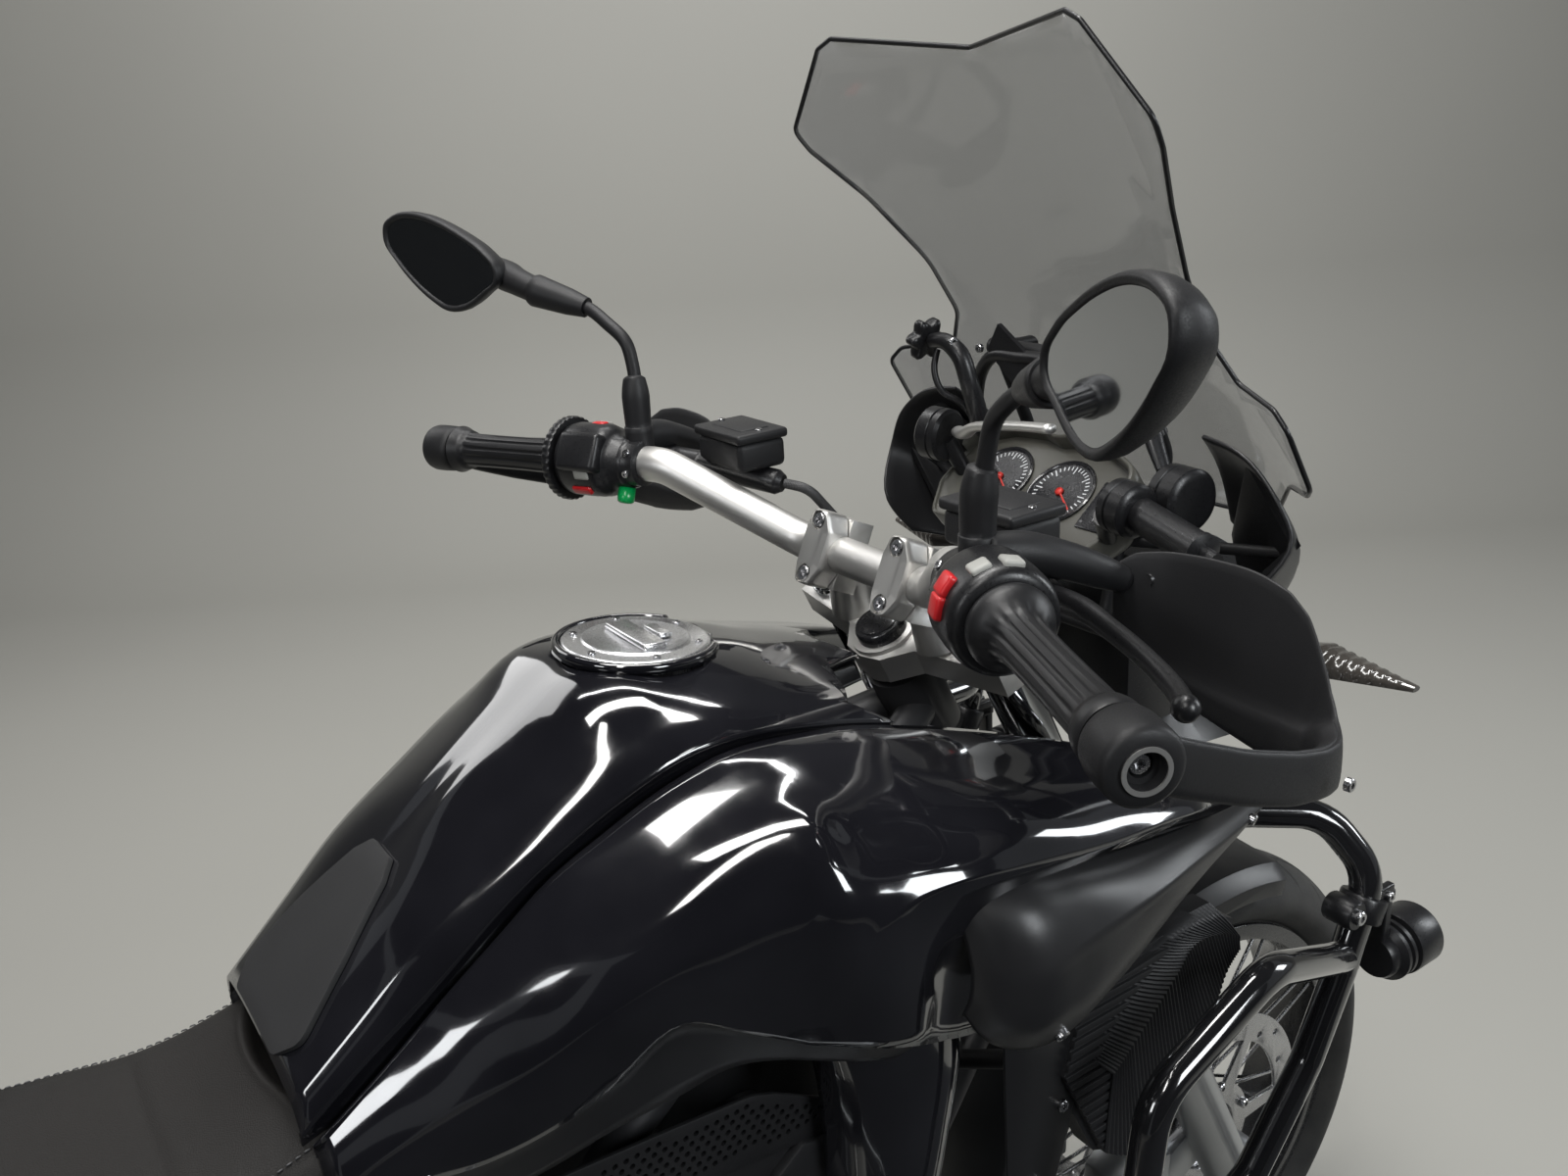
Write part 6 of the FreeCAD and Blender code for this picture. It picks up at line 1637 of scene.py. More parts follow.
brackets = [sweep("socket_bracket", [mm(560, -150, 1166), mm(566, -130, 1196), mm(580, -112, 1226),
                                     mm(600, -92, 1232)],
                  [0.007, 0.0085, 0.0085, 0.007], 16, flat=0.6),
            sweep("socket_bracket", [mm(520, -126, 1130), mm(540, -110, 1110), mm(570, -88, 1086)],
                  [0.009, 0.008, 0.008], 16),
            sweep("socket_bracket", [mm(552, 100, 1150), mm(566, 94, 1120), mm(586, 88, 1090)],
                  [0.009, 0.008, 0.008], 16),
            sweep("screen_arch", [mm(600, 112, 1180), mm(594, 100, 1206), mm(590, 80, 1225),
                                  mm(588, 40, 1229),
                                  mm(588, -40, 1229), mm(590, -80, 1225), mm(594, -100, 1206),
                                  mm(600, -112, 1180)],
                  [0.0065] * 8, 20)]
for side in (1, -1):
    flag = make_mesh("screen_flag", [mm(584 + t, side * y, z) for t in (0, 5) for y, z in
                                     ((80, 1232), (66, 1257), (24, 1230), (44, 1202))],
                     [(0, 1, 2, 3), (7, 6, 5, 4), (0, 4, 5, 1), (1, 5, 6, 2), (2, 6, 7, 3), (3, 7, 4, 0)],
                     smooth=False)
    brackets.append(outward(flag))
sockets = joined("accessory_sockets", *drums, stalk, *brackets)
crisp(sockets, 40)
dress(sockets, "smooth_plastic", "chassis")

# The star knob for the screen, with its bowden cable
knob_ring = []
for height, scale in ((0, 0.7), (1, 0.92), (3, 1.0), (10, 1.0), (12.5, 0.9), (13.5, 0.6)):
    knob_ring.append([mm(528, 100, 1248) + Vector((0, 1, 0.25)).normalized() * ((height - 6) / 1000)
                      + (Vector((-1, 0, 0)) * math.cos(a) + Vector((0, -0.24, 0.97)) * math.sin(a))
                      * (scale * (17 + 3.2 * math.cos(6 * a)) / 1000)
                      for a in [2 * math.pi * k / 72 for k in range(72)]])
knob = stacked("star_knob", knob_ring, cap_first=True)
knob_stem = sweep("knob_stem", [mm(528, 92, 1247), mm(529, 74, 1248), mm(531, 58, 1238), mm(534, 50, 1216),
                                mm(542, 50, 1192),
                                mm(556, 56, 1166)], [0.0065, 0.0075, 0.0085, 0.0085, 0.009, 0.009], 20)
cable = sweep("knob_cable", [mm(528, 84, 1240), mm(522, 82, 1222), mm(524, 74, 1204), mm(534, 62, 1194),
                             mm(548, 58, 1176)],
              [0.003] * 5, 14)
knob = joined("screen_adjuster", knob, knob_stem, cable)
crisp(knob, 42)
dress(knob, "smooth_plastic", "chassis")
screws("knob_screws", [(mm(527, 62, 1249), Vector((-0.2, -1, 0.1)), 0.0042),
                       (mm(586, -92, 1232), Vector((-1, 0, 0)), 0.0042),
                       (mm(586, 92, 1232), Vector((-1, 0, 0)), 0.0042)], "chassis")

# %% Indicators
def indicator(x, y, z, reach):
    """A slim ribbed arrow on a rubber stalk; the ribs are a wave along its length."""
    rings = []
    for k in range(61):
        t = k / 60
        along = 20 + (reach + 24 - 20) * t
        size = min(1.0, 0.55 + 1.9 * t) * (1 - max(0.0, t - 0.25) / 0.75 * 0.80)
        rib = 1.0 - (0.09 if 0.28 < t < 0.95 and (k // 3) % 2 else 0.0)
        outline = [(-20, -9), (0, -12), (20, -9), (24, 1), (14, 10), (0, 13), (-14, 11), (-22, 1)]
        rings.append([mm(x + px * size * (1 if pz < 0 else rib), y + along,
                         z + pz * size * (1 if pz < 0 else rib))
                      for px, pz in outline])
    body = stacked("indicator", rings, cap_first=True)
    stalk = sweep("indicator_stalk", [mm(x, y - 1, z), mm(x, y + 6, z), mm(x, y + 12, z), mm(x, y + 26, z)],
                  [0.011, 0.0095, 0.0078, 0.0085], 20)
    return joined("indicator_whole", body, stalk)


nodes = ["indicators"]
for place, name in (((664, 190, 1000, 104), "front"), ((-1004, 60, 742, 70), "rear")):
    lamp = indicator(*place)
    lamp.name = name + "_left_indicator"
    crisp(lamp, 50)
    dress(mirror_copy(lamp, name + "_right_indicator"), "smoked_lens", "chassis")
    dress(lamp, "smoked_lens", "chassis", *nodes)
    nodes = []

# %% [markdown]
# ## Under the side panel
#
# Below the gloss lip the panel steps inward and turns satin.  In front of it a
# gloss column covers the frame, and a satin flange joins the column to the
# ribbed radiator cowl.  Further back lies a trim plate with rows of round holes.


# %% Satin part of the side panel
def satin_below(thing):
    """Paints the part under the lip: there each row of the net steps inward by the same columns."""
    thing.data.materials.append(FINISH["satin_shroud"])
    across = len(SIDE_ROWS[0]) * SIDE_STEPS + 1
    count = len(thing.data.vertices) // 2
    for face in thing.data.polygons:
        column = min((i % count) % across for i in face.vertices)
        if column >= LIP_COLUMN * SIDE_STEPS - 2 and max(face.vertices) < 2 * count:
            face.material_index = 1
    return thing


for panel in (side_panel, bpy.data.objects["right_side_skin"]):
    satin_below(panel)


# %% Plates and gloss columns
def plate(name, corners, y, thickness, edge=0.0008, spacing=0.03):
    """An upright plate on the left side: corners are (x, z, radius) in mm, y is its outer face."""
    outline = rounded_outline([(x * 0.001, z * 0.001, r * 0.001) for x, z, r in corners], 4)
    thing = laid_sheet(name, outline, spacing, lambda a, b: Vector((a, y * 0.001, b)))
    faces_towards(thing, (0, 1, 0))
    wall(thing, thickness * 0.001)
    if edge:
        round_edges(thing, edge, 2, 50)
    thing.data.shade_smooth()
    crisp(thing, 35)
    return thing


def column_row(z, middle, half, reach):
    """A bulging cross-section: from the rear edge round the outside to the front edge."""
    spots = [(-1.0, 0.0), (-0.96, 0.35), (-0.78, 0.68), (-0.42, 0.93), (0.0, 1.0), (0.42, 0.93), (0.78, 0.68),
             (0.96, 0.35), (1.0, 0.0)]
    return [mm(middle + half * a, 158 + reach * b, z) for a, b in spots]


COLUMN_ROWS = ((838, 247, 66, 52), (812, 249, 65, 56), (770, 250, 60, 60), (715, 245, 52, 60),
               (650, 238, 45, 56), (590, 232, 40, 48), (560, 230, 38, 42))
column = skin("left_column", [column_row(*row) for row in COLUMN_ROWS], along=5, across=3)
faces_towards(column, (0, 1, 0))
wall(column, 0.003)
dress_both(column, "right_column", "gloss_paint", "chassis")

FLANGE = [(318, 800, 6), (362, 800, 10), (404, 764, 14), (407, 722, 10), (392, 676, 12), (374, 616, 8),
          (352, 590, 8), (322, 640, 20)]
flange = plate("left_flange", FLANGE, 224, 3.0)
dress_both(flange, "right_flange", "satin_shroud", "chassis")
print("columns and flanges:", len(column.data.vertices), len(flange.data.vertices))

# %% [markdown]
# ## Ribbed radiator cowls
#
# Each rib is one row of the net, raised by a millimetre.  The rows run from the
# rear edge over a fold to the lower edge, so the ribs follow the cowl's bend.

# %% Cowls
# Seven stations, each (x, z) of the rear edge, the fold and the lower edge
COWL = (((404, 727), (430, 699), (424, 622)), ((411, 748), (450, 716), (468, 601)),
        ((430, 768), (478, 740), (500, 634)),
        ((455, 784), (504, 764), (530, 668)), ((485, 795), (522, 782), (556, 700)),
        ((520, 803), (552, 780), (572, 736)),
        ((556, 803), (584, 764), (587, 750)))


def cowl_station(rear, fold, low):
    def between(a, b, t):
        return a[0] * (1 - t) + b[0] * t, a[1] * (1 - t) + b[1] * t
    spots = [(*rear, 202), (*rear, 220), (*between(rear, fold, 0.35), 229),
             (*between(rear, fold, 0.72), 232.2),
             (*fold, 232.6), (*between(fold, low, 0.45), 231.4), (*low, 231), (*low, 202)]
    return [mm(x, y, z) for x, z, y in spots]


def ribbed(name, stations, along, height):
    """A skin whose every second row is raised."""
    columns = [through([row[c] for row in stations], along) for c in range(len(stations[0]))]
    rows = [through([column[r] for column in columns], 2, (1, 4, 6)) for r in range(len(columns[0]))]
    for r, row in enumerate(rows):
        for p in row[3:-2] if r % 2 else ():
            p.y += height
    points = [p for row in rows for p in row]
    return make_mesh(name, points, grid_faces(len(rows), len(rows[0])))


cowl = ribbed("left_cowl", [cowl_station(*row) for row in COWL], 16, 0.0011)
faces_towards(cowl, (0, 1, 0))
wall(cowl, 0.003)
crisp(cowl, 35)
dress_both(cowl, "right_cowl", "grained_plastic", "chassis")
print("cowl vertices:", len(cowl.data.vertices))

# %% [markdown]
# ## Perforated side trims
#
# Round holes in staggered rows are cut through the upper plate, and a dark
# plate just behind them is painted shade: it stops the eye, so the holes show
# dark.  The lower plate lies deeper and carries a step.

# %% Side trims
TRIM = [(-60, 776, 8), (-36, 790, 12), (60, 782, 60), (141, 774, 30), (160, 766, 14), (218, 730, 10),
        (223, 712, 6), (196, 707, 20), (147, 713, 40), (60, 722, 60), (-54, 726, 6)]
trim = plate("left_trim", TRIM, 147, 4.0, edge=0.0012)
EDGES = [((x0, z0), (x1, z1)) for (x0, z0, _), (x1, z1, _) in zip(TRIM, TRIM[1:] + TRIM[:1])]


def depth_inside(x, z):
    """How far a point lies inside the trim's outline, negative outside it."""
    return min(((x1 - x0) * (z0 - z) - (x0 - x) * (z1 - z0)) / math.hypot(x1 - x0, z1 - z0)
               for (x0, z0), (x1, z1) in EDGES)


holes = [(-50 + 8.6 * i + 4.3 * (j % 2), 719 + 6.9 * j) for j in range(9) for i in range(31)]
holes = [(x, z) for x, z in holes if depth_inside(x, z) > 7.0]
cutters = [lathe("hole", [(0, -0.006), (0.0023, -0.006), (0.0023, 0.006), (0, 0.006)], mm(x, 145, z),
                 (0, 1, 0), 10)
           for x, z in holes]
cut_by(trim, joined("trim_cutter", *cutters))
crisp(trim, 35)
LOW_TRIM = [(-40, 702, 8), (-52, 732, 6), (60, 728, 40), (150, 718, 40), (222, 716, 8), (232, 672, 20),
            (244, 628, 8), (150, 636, 40), (60, 656, 60)]
STEP = [(150, 690, 4), (180, 712, 5), (214, 700, 4), (206, 664, 5)]
HOLE_SHADE_OUTLINE = [(-46, 772, 6), (-30, 784, 8), (136, 768, 20), (212, 726, 8), (216, 716, 4), (60, 728, 40),
        (-46, 732, 6)]
low_trim = plate("left_low_trim", LOW_TRIM, 143, 3.5, edge=0.0012)
step = plate("left_trim_step", STEP, 152, 12.0, edge=0.0022)
# The plate behind the holes is painted shade: a near-black sheet that makes the holes show dark.
hole_shade_plate = plate("left_trim_back", HOLE_SHADE_OUTLINE, 141.5, 1.5, edge=0)
rod_ends = [mm(-14, 119, 702), mm(-14, 142, 702)]
foot = sweep("left_trim_foot", rod_ends, (0.0075, 0.0075), sides=16, steps=2)
left_trim = joined("left_trim_set", trim, low_trim, step, hole_shade_plate, foot)
crisp(left_trim, 35)
dress_both(left_trim, "right_trim_set", "grained_plastic", "chassis", "side_trims")
print("holes on each side:", len(holes))

# %% [markdown]
# ## Fog lamps and their clamps
#
# A split ring grips the bar, closed by a screw through its two ears.  The lamp
# hangs below it from a bent bracket.

# %% Fog lamps
CLAMP_AT = mm(712, 262, 756)
BAR_WAY = (mm(724, 262, 785) - mm(690, 262, 712)).normalized()


def fog_lamp():
    ring = lathe("clamp_ring", [(0.0125, -0.011), (0.0195, -0.011), (0.0205, -0.009), (0.0205, 0.009),
                                (0.0195, 0.011), (0.0125, 0.011), (0.0125, -0.011)], CLAMP_AT, BAR_WAY, 40)
    ears = [rounded_box("ear", CLAMP_AT + Vector((0.020, side * 0.006, 0.004)), (1, 0, 0), (0, 0, 1),
                        (0.030, 0.008, 0.020)) for side in (-1, 1)]
    knuckle = lathe("knuckle", [(0, -0.014), (0.012, -0.014), (0.0135, -0.012), (0.0135, 0.012),
                                (0.012, 0.014), (0, 0.014)],
                    CLAMP_AT + Vector((-0.026, 0, 0.006)), (0, 1, 0), 32)
    arm = rounded_box("arm", mm(745, 262, 724), (0, 0, 1), (1, 0, 0), (0.070, 0.016, 0.010))
    hook = rounded_box("hook", mm(735, 262, 757), (1, 0, 0), (0, 0, 1), (0.030, 0.020, 0.012))
    can = lathe("can", [(0, -0.004), (0.020, -0.004), (0.022, 0.0), (0.022, 0.006), (0.028, 0.010),
                        (0.028, 0.014),
                        (0.024, 0.015), (0.024, 0.018), (0.028, 0.019), (0.028, 0.023), (0.024, 0.024),
                        (0.024, 0.027),
                        (0.0295, 0.028), (0.0300, 0.030), (0.0300, 0.060), (0.0290, 0.062), (0.0262, 0.062),
                        (0.0262, 0.058), (0, 0.058)], mm(744, 262, 690), (1, 0, 0), 48)
    return joined("left_fog_lamp", ring, *ears, knuckle, arm, hook, can)


lamp = fog_lamp()
crisp(lamp, 40)
glass = lathe("left_fog_glass", [(0, 0.0595), (0.012, 0.0592), (0.0255, 0.0580), (0.0255, 0.0570),
                                 (0, 0.0570)],
              mm(744, 262, 690), (1, 0, 0), 40)
dress_both(lamp, "right_fog_lamp", "smooth_plastic", "chassis", "aux_lamps")
dress_both(glass, "right_fog_glass", "lamp_mirror", "chassis")
clamp_screws = [(CLAMP_AT + Vector((-0.026, 0.0145, 0.006)), Vector((0, 1, 0)), 0.0068),
                (CLAMP_AT + Vector((0.026, 0.0105, 0.004)), Vector((0, 1, 0)), 0.0048)]
screws("fog_lamp_screws", both_sides(clamp_screws), "chassis")

# %% [markdown]
# ## Screws of the fairing
#
# Button-head screws hold the shroud at its rear end and the wing at its front.

# %% Fairing screws
def on_skin(thing, x, z, reach):
    """A place on the left skin seen from the side, with the skin's own slope there."""
    hit, place, normal, _ = thing.ray_cast(Vector((x * 0.001, 0.5, z * 0.001)), Vector((0, -1, 0)))
    assert hit, (thing.name, x, z)
    normal = normal if normal.y > 0 else -normal
    return place + normal * reach, normal


spots = []
for thing, x, z, radius in ((shroud, 330, 812, 0.0062), (shroud, 583, 880, 0.0052),
                            (side_panel, -96, 822, 0.0058),
                            (flange, 380, 690, 0.0052), (flange, 352, 628, 0.0052)):
    place, normal = on_skin(thing, x, z, 0.0004)
    spots.append((place, normal, radius))
screws("fairing_screws", both_sides(spots), "chassis")
print("fairing screws:", 2 * len(spots))

# %% [markdown]
# ## The rest of the machine
#
# The frame, engine, wheels and fittings keep their own shapes.  Each gets a
# copy whose edges are rounded, because a real casting or weld never ends in a
# perfectly sharp edge, and that thin highlight along an edge is what makes metal
# look like metal.


# %% Softened running gear
SOFT = {
    "front_rim": 0.0010, "rear_rim": 0.0010, "front_hub": 0.0005, "rear_hub": 0.0005, "front_discs": 0.0005,
    "rear_disc": 0.0005, "fork_sliders": 0.0012, "fork_stanchions": 0.0008, "front_calipers": 0.0025,
    "front_fender": 0.0010, "main_frame": 0.0010, "rear_subframe": 0.0010, "telelever_arm": 0.0020,
    "shock_absorbers": 0.0008, "engine_block": 0.0030, "cylinder_heads": 0.0012, "airbox": 0.0020,
    "skid_plate": 0.0010, "exhaust": 0.0008, "swingarm": 0.0020, "rear_caliper": 0.0025, "radiators": 0.0008,
    "headlamp": 0.0030, "beak": 0.0012, "rear_rack": 0.0010, "tail_unit": 0.0020, "footrests": 0.0008,
    "crash_bars": 0.0008, "centre_stand": 0.0010, "side_stand": 0.0010,
}
for node, width in SOFT.items():
    soften(node, NODE_FINISH[node], width)
print("softened:", len(SOFT))

# The rear wheel's stub axle turns in the hub, so it stays clear of the hub's facets
arm, rear_axle = bpy.data.objects["swingarm_finished"], mm(REAR_AXLE[0], 0, REAR_AXLE[1])
for v in arm.data.vertices:
    out = Vector((v.co.x - rear_axle.x, 0, v.co.z - rear_axle.z))
    if 0.015 < out.length < 0.0215 and -0.045 < v.co.y < 0.091:
        v.co -= out * 0.05

# %% [markdown]
# ## Seats
#
# The rider's seat reaches forward on both sides of the tank's end, so its front
# edge is hollow.  A motorcycle seat is firm foam under tight vinyl.  The crowned
# top and the side band are two covers that meet in a seam: a narrow groove with
# a row of stitches beside it.  Two more seams cross the top.


# %% Seat shapes
HUG_FROM, HUG_OVER = -250, 92
END_STEPS = ((0, 0.80, 22), (0.6, 0.89, 13), (3.0, 0.96, 5.5), (8.0, 0.99, 1.5))


def hug_share(x):
    """How far the seat has begun to reach forward round the tank, from 0 to 1."""
    return max(0.0, min(1.0, (x - HUG_FROM) / HUG_OVER)) ** 2


def seat_ring(x, half, top, base, cross_seam):
    """The closed cross-section of a seat at x, starting at the middle of the top."""
    dip = 2.6 if cross_seam else 0.0
    run = [(0, top - dip), (0.30 * half, top + 0.5 - dip), (0.56 * half, top - 1.5 - dip),
           (0.74 * half, top - 6 - dip),
           (0.855 * half, top - 12 - dip * 0.5), (0.868 * half, top - 15.5), (0.885 * half, top - 14.5),
           (0.96 * half, top - 24), (half, top - 38), (0.985 * half, (top + base) / 2 - 4),
           (0.955 * half, base + 7),
           (0.92 * half, base + 1.5), (0.86 * half, base), (0.4 * half, base), (0, base)]
    hug = 46 * hug_share(x)
    left = [mm(x + hug * (y / half) ** 2, y, z) for y, z in run]
    return left + [Vector((p.x, -p.y, p.z)) for p in reversed(left[1:-1])]


def seat_body(name, stations, cross_seams, steps=12):
    """A closed cushion through (x, half width, top, base) stations, with rounded ends."""
    line = through([Vector((x, half, top)) for x, half, top, _ in stations], steps)
    bases = through([Vector((x, base, 0)) for x, _, _, base in stations], steps)
    rows = []
    for spot, low in zip(line, bases):
        seam = any(abs(spot.x - at) < 2.2 for at in cross_seams)
        rows.append((spot.x, spot.y, spot.z, low.y, seam))
    first, last = rows[0], rows[-1]
    way = 1 if first[0] > last[0] else -1
    front = [(first[0] - way * d, first[1] * k, first[2] - drop, first[3] + drop * 0.4, False)
             for d, k, drop in END_STEPS]
    back = [(last[0] + way * d, last[1] * k, last[2] - drop, last[3] + drop * 0.4, False)
            for d, k, drop in reversed(END_STEPS)]
    inner = [row for row in rows if abs(row[0] - first[0]) > 10 and abs(row[0] - last[0]) > 10]
    rings = [seat_ring(*row) for row in front + inner + back]
    sides = len(rings[0])
    points = [p for ring in rings for p in ring]
    faces = grid_faces(len(rings), sides, around=True)
    faces += [tuple(reversed(range(sides))), tuple(range(len(points) - sides, len(points)))]
    body = outward(make_mesh(name, points, faces))
    finer = body.modifiers.new("finer", "SUBSURF")
    finer.levels = finer.render_levels = 1
    apply_modifiers(body)
    body.data.shade_smooth()
    return body, front + inner + back


def stitch_template():
    """One stitch: a small rounded thread end, one unit long."""
    return sweep("stitch", [(-0.5, 0, -0.06), (-0.3, 0, 0.10), (0.3, 0, 0.10), (0.5, 0, -0.06)],
                 (0.10, 0.16, 0.16, 0.10), sides=6, steps=1)


def stitches(name, rows, pitch=0.0062):
    """A row of stitches beside the seam on each side of a seat."""
    path = [mm(x + 33 * hug_share(x), half * 0.842, top - 11.2)
            for x, half, top, _, _ in rows[4:-4]]
    spots, carried = [], 0.0
    for p, q in zip(path, path[1:]):
        way = (q - p).normalized()
        while carried < (q - p).length:
            spots.append((p + way * carried, Vector((0, 0.45, 0.9)), way, (0.0042, 0.0042, 0.0042)))
            carried += pitch
        carried -= (q - p).length
    return repeat(name, stitch_template(), both_sides(spots), "seat_thread", "chassis")


RAIL_MIDDLE, RAIL_RADIUS, RAIL_CLEAR = 768, 13, 0.4
REST = RAIL_MIDDLE + RAIL_RADIUS + RAIL_CLEAR
RIDER = ((-158, 112, 874, 812), (-200, 116, 856, 795), (-280, 140, 848, REST), (-380, 160, 856, REST),
         (-446, 150, 884, 804))
PASSENGER = ((-449, 130, 905, 845), (-520, 140, 916, 848), (-640, 126, 914, 839.5), (-730, 104, 912, 844.6))
for name, stations, seams in (("rider", RIDER, (-235, -400)), ("passenger", PASSENGER, (-500, -690))):
    cushion, rows = seat_body(name + "_cushion", stations, seams)
    dress(cushion, "seat_vinyl", "chassis", "seat_" + name)
    stitches(name + "_stitches", rows)
    print(name, "seat:", len(cushion.data.polygons), "faces")

# %% [markdown]
# ## Lamps, bolts and small fittings
#
# Each bolt sits where a ray from outside meets the part, so it stands on the
# surface whatever that surface's shape.  Wheel bolts ride on their own wheel.


# %% Headlamp and tail lamp
def fluted_lens(name, centre, axis, radius, finish, body, rings=7):
    """A round lens with rings pressed into its face."""
    profile = [(0.0, 0.0022)]
    for k in range(1, rings):
        r = radius * k / rings
        profile += [(r - radius * 0.05, 0.0022 - 0.0012 * k / rings), (r, 0.0012 - 0.0012 * k / rings)]
    profile += [(radius, 0.0), (radius + 0.0008, -0.0030)]
    lens = lathe(name, profile, centre, axis, 64)
    crisp(lens, 20)
    return dress(lens, finish, body)


for mark, y in (("left", 44), ("right", -44)):
    bezel = lathe(mark + "_lamp_bezel", [(0.0355, 0.0), (0.0362, 0.0035), (0.0385, 0.0045), (0.0402, 0.0025),
                                         (0.0402, -0.010), (0.0385, -0.012), (0.0355, 0.0)],
                                         mm(754.5, y, 985), (1, 0, 0), 64)
    dress(bezel, "fork_alloy", "chassis")
    fluted_lens(mark + "_lamp_lens", mm(754.5, y, 985), (1, 0, 0), 0.0350, "lamp_mirror", "chassis")
brow = plate("lamp_side_vent", [(628, 950, 4), (690, 944, 4), (700, 960, 4), (640, 968, 4)], 98.5, 3.0)
dress_both(brow, "right_lamp_side_vent", "grained_plastic", "chassis")
tail_lens = rounded_box("tail_lens", mm(-949, 0, 850), (0, 1, 0), (0, 0, 1), (0.082, 0.008, 0.022), 0.003)
dress(tail_lens, "red_lens", "chassis")
tail_ribs = [rounded_box("tail_rib", mm(-953.2, y, 850), (0, 1, 0), (0, 0, 1), (0.0016, 0.0014, 0.019),
                         0.0005)
             for y in range(-35, 36, 7)]
dress(joined("tail_lens_ribs", *tail_ribs), "red_lens", "chassis")


# %% Bolts found by rays
def cast(node, start, way):
    """Where a ray from start meets the finished part, with the surface's slope there."""
    thing = bpy.data.objects[node + "_finished"]
    hit, place, normal, _ = thing.ray_cast(start, Vector(way).normalized())
    if not hit:
        print("no bolt on", node, [round(c, 3) for c in start])
        return None
    return place + normal * 0.0002, (normal if normal.dot(Vector(way)) < 0 else -normal)


def bolts(name, node, starts, way, radius):
    """Screw heads on a finished part, where rays from the starts meet it."""
    found = [cast(node, start, way) for start in starts]
    screws(name, [(place, normal, radius) for place, normal in filter(None, found)], BODY_OF[node])


for mark, s in (("left", 1), ("right", -1)):
    x = 175 if s == 1 else 150
    heads = [mm(x + dx, s * 500, 450 + dz) for dx, dz in ((-38, -34), (-38, 34), (38, -34), (38, 34), (0, 44),
                                                          (0, -44))]
    bolts(mark + "_cover_bolts", "cylinder_heads", heads, (0, -s, 0), 0.0058)
    case = [mm(x0, s * 300, z0) for x0, z0 in ((-60, 300), (-20, 520), (60, 300), (120, 280), (240, 290),
                                               (-70, 420), (20, 480))]
    bolts(mark + "_case_bolts", "engine_block", case, (0, -s, 0), 0.0062)
    pads = [mm(x0, s * 400, z0) for x0, z0 in ((-160, 580), (-178, 330), (-300, 420), (-210, 520))]
    bolts(mark + "_hanger_bolts", "footrests", pads, (0, -s, 0), 0.0060)
    low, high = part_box("front_calipers")
    clips = [Vector((low.x * (1 - t) + high.x * t, s * 0.3, low.z * (1 - t) + high.z * t)) for t in (0.3, 0.5,
                                                                                                     0.7)]
    bolts(mark + "_caliper_bolts", "front_calipers", clips, (0, -s, 0), 0.0062)
    skid = [mm(x0, s * 300, z0) for x0, z0 in ((0, 198), (150, 200), (290, 250))]
    bolts(mark + "_skid_bolts", "skid_plate", skid, (0, -s, 0), 0.0048)
bolts("bevel_bolts", "swingarm", [mm(REAR_AXLE[0], 400, REAR_AXLE[1]) + mm(66 * math.cos(a), 0,
                                                                           66 * math.sin(a))
                                  for a in [math.pi / 4 * k for k in range(8)]], (0, -1, 0), 0.0050)
bolts("bevel_filler", "swingarm", [mm(-700, 400, 352)], (0, -1, 0), 0.0110)
bolts("rack_bolts", "rear_rack", [mm(x, y, 1100) for x in (-920, -752) for y in (-90, 90)], (0, 0, -1),
      0.0056)
bolts("plate_bolts", "tail_unit", [mm(-1300, y, 680) for y in (-55, 55)], (1, 0, -0.2), 0.0050)
for node, centre, ring_r in (("front_discs", FRONT_AXLE, 62), ("rear_disc", REAR_AXLE, 60)):
    for s in ((1, -1) if node == "front_discs" else (-1,)):
        spots = [mm(centre[0] + ring_r * math.cos(a), s * 200, centre[1] + ring_r * math.sin(a))
                 for a in [math.pi / 3 * k + 0.26 for k in range(6)]]
        bolts("%s_bolts_%s" % (node, "left" if s > 0 else "right"), node, spots, (0, -s, 0), 0.0062)
print("bolted")

# %% [markdown]
# ## Peg ribs, oil filler and silencer rim
# Three last small pieces, each placed by its own numbers on a finished part.

# %% Small fittings
fittings = []
for s in (1, -1):
    for x, z, y0, y1, half in ((-160, 315, 200, 280, 15), (-312, 428, 196, 260, 11)):
        for k in range(int((y1 - y0) / 8)):
            fittings.append(rounded_box("peg_rib", mm(x, s * (y0 + 8 * k), z), (1, 0, 0), (0, 0, 1),
                                        (half * 0.0019, 0.0045, 0.004), 0.0012))
dress(joined("peg_ribs", *fittings), "grip_rubber", "chassis")
oil_cap = lathe("oil_filler", [(0, 0.012), (0.010, 0.012), (0.012, 0.0105), (0.014, 0.010), (0.015, 0.008),
                               (0.015, 0.0),
                               (0.019, -0.001), (0.019, -0.006)], mm(330, 85, 548), (0.2, 1, 0.2), 24)
dress(oil_cap, "smooth_plastic", "chassis")
tip = lathe("silencer_rim", [(0.0205, 0.001), (0.0215, 0.0025), (0.0245, 0.0025), (0.0252, 0.0),
                             (0.0252, -0.012),
                             (0.0205, -0.012), (0.0205, 0.001)], mm(-826, -212, 486), (-0.967, 0, 0.252), 48)
dress(tip, "hard_chrome", "chassis")
print("fittings placed")

# %% [markdown]
# ## Tyres
#
# The net of each tyre is slanted: its columns lean backwards away from the
# middle, so a groove along one column becomes the V of a road-and-trail tread.
# Grooves are columns pushed towards the axle, and two more run right round.


# %% Tread
SHOULDER_IN, SHOULDER_DROP = 9, 26


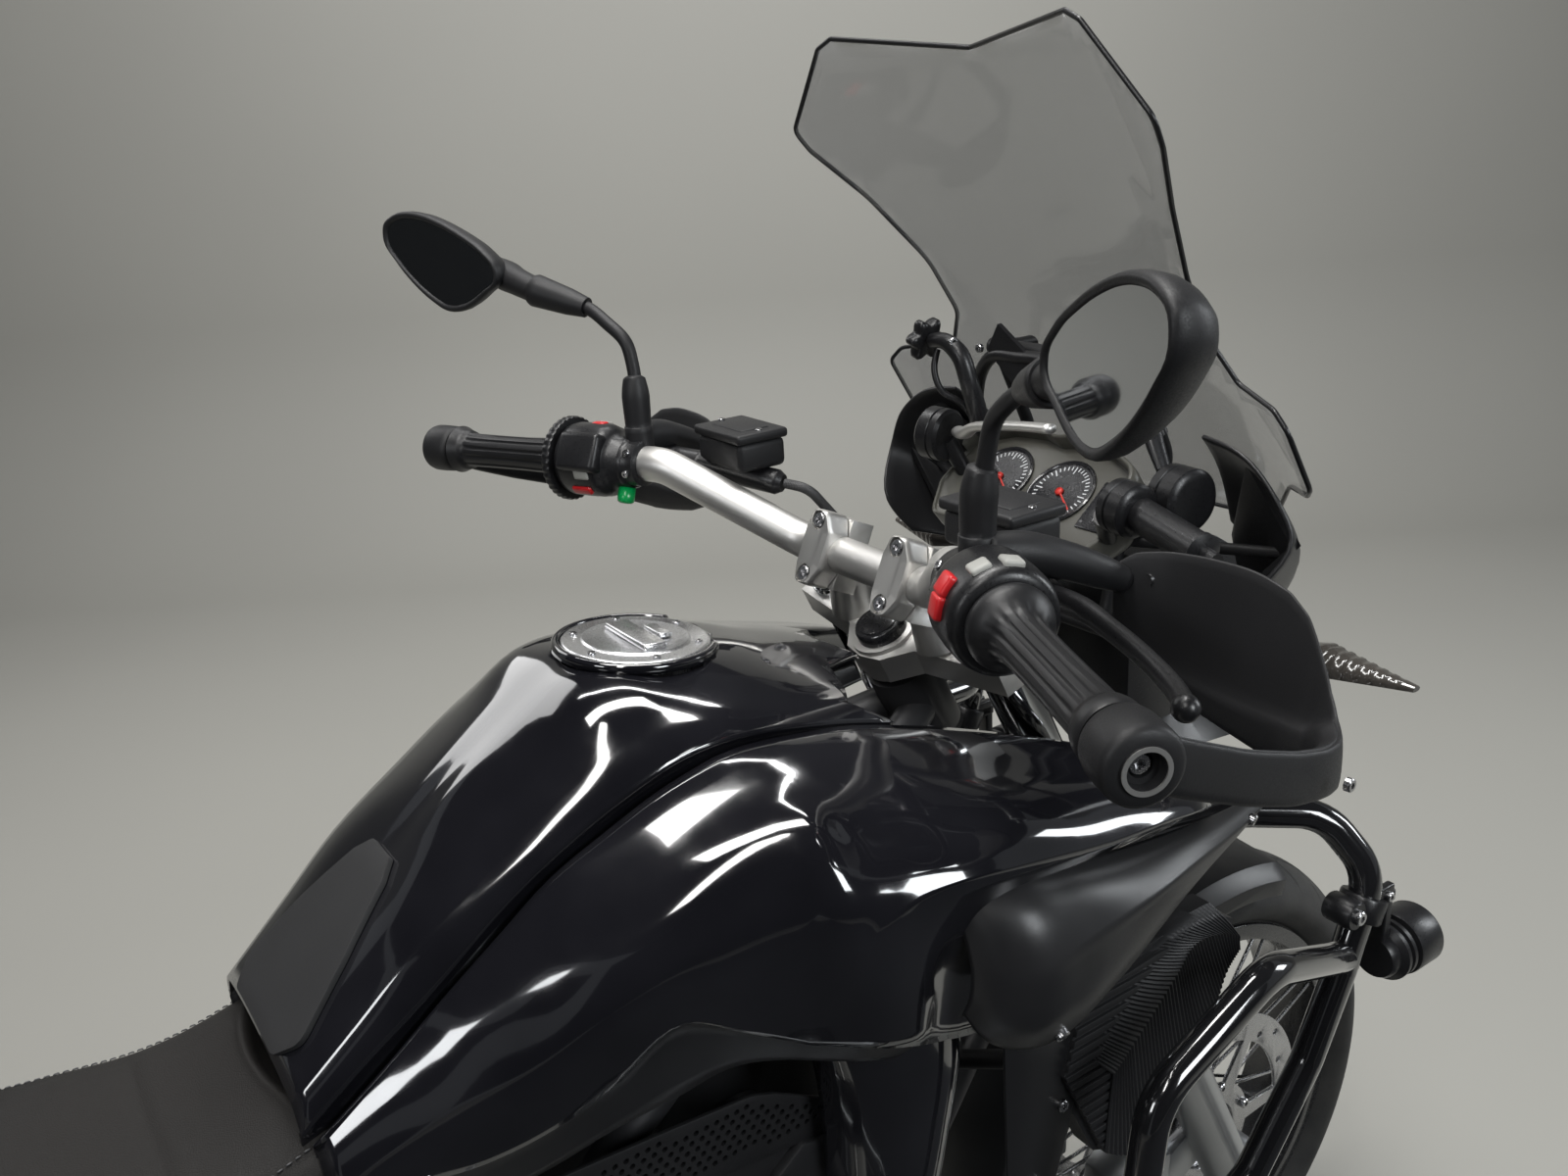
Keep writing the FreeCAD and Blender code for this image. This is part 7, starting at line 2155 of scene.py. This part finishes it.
def tyre_section(radius, width, rim_r, rim_w):
    """(y, r, tread) from one bead over the crown to the other; tread marks how deep a groove may go."""
    half, bead = width / 2, rim_w / 2
    heel = (bead, rim_r + 11.0)
    bulge = (half, rim_r + 0.42 * (radius - rim_r))
    shoulder = (half - SHOULDER_IN, radius - SHOULDER_DROP)
    wall_run = through([Vector((*heel, 0)), Vector((*bulge, 0)), Vector((*shoulder, 0))], 4)
    crown_r = ((half - SHOULDER_IN) ** 2 + SHOULDER_DROP ** 2) / (2 * SHOULDER_DROP)
    crown = [(half - SHOULDER_IN) * t for t in (0.93, 0.84, 0.72, 0.60, 0.48, 0.36, 0.325, 0.285, 0.25, 0.13)]
    run = [(bead, rim_r + 0.6, 0)] + [(p.x, p.y, 0) for p in wall_run]
    run += [(y, radius - (crown_r - math.sqrt(crown_r ** 2 - y * y)),
             1 if y > 0.3 * half else 2) for y in crown]
    return run + [(0, radius, 2)] + [(-y, r, t) for y, r, t in reversed(run)]


GROOVE = ((0.0, 0), (0.035, 1), (0.085, 1), (0.12, 0), (0.26, 0), (0.40, 0), (0.52, 0), (0.55, 2), (0.59, 2),
          (0.62, 0), (0.74, 0), (0.88, 0))


def tyre(name, node, centre, radius, width, rim_r, rim_w, repeats, depth=4.5):
    section = tyre_section(radius, width, rim_r, rim_w)
    half, middle = width / 2 - SHOULDER_IN, len(section) // 2
    ring = [k for k, (y, r, _) in enumerate(section) if 0.28 * half < abs(y) < 0.34 * half]
    points = []
    for i in range(repeats):
        for share, groove in GROOVE:
            for k, (y, r, tread) in enumerate(section):
                lean = 0.75 * (abs(y) / half) ** 1.4 if abs(y) < half else 0.75
                turn = 2 * math.pi * (i + share - lean) / repeats
                deep = 0.0
                if tread == 1 and (groove == 1 or (groove == 2 and y > 0)):
                    deep = depth
                if tread == 2 and groove == 2 and y < 0 and k != middle:
                    deep = depth * 0.8
                if k in ring:
                    deep = depth
                points.append(Vector(centre) + mm((r - deep) * math.cos(turn), y,
                                                  (r - deep) * math.sin(turn)))
    rows, across = repeats * len(GROOVE), len(section)
    faces = [(i * across + j, ((i + 1) % rows) * across + j, ((i + 1) % rows) * across + j + 1,
              i * across + j + 1)
             for i in range(rows) for j in range(across - 1)]
    inner = [(rim_w / 2 - 12, rim_r + 0.6), (width / 2 - 12, rim_r + 0.42 * (radius - rim_r)),
             (width / 2 - 24, radius - 36), (0, radius - 12), (24 - width / 2, radius - 36),
             (12 - width / 2, rim_r + 0.42 * (radius - rim_r)),
             (12 - rim_w / 2, rim_r + 0.6)]
    start = len(points)
    for i in range(repeats):
        for share, _ in GROOVE:
            turn = 2 * math.pi * (i + share - 0.75) / repeats
            points += [Vector(centre) + mm(r * math.cos(turn), y, r * math.sin(turn)) for y, r in inner]
    many = len(inner)
    for i in range(rows):
        a, b = start + i * many, start + ((i + 1) % rows) * many
        faces += [(a + j, a + j + 1, b + j + 1, b + j) for j in range(many - 1)]
        c, d = i * across, ((i + 1) % rows) * across
        faces += [(a, b, d, c), (a + many - 1, c + across - 1, d + across - 1, b + many - 1)]
    thing = outward(make_mesh(name, points, faces))
    crisp(thing, 38)
    return dress(thing, "tyre_rubber", BODY_OF[node], node)


front = tyre("front_tyre_tread", "front_tyre", mm(FRONT_AXLE[0], 0, FRONT_AXLE[1]), 322, 120, 241, 80, 34)
rear = tyre("rear_tyre_tread", "rear_tyre", mm(REAR_AXLE[0], 0, REAR_AXLE[1]), 318, 170, 216, 122, 34, 5.0)
print("tyre faces:", len(front.data.polygons), len(rear.data.polygons))
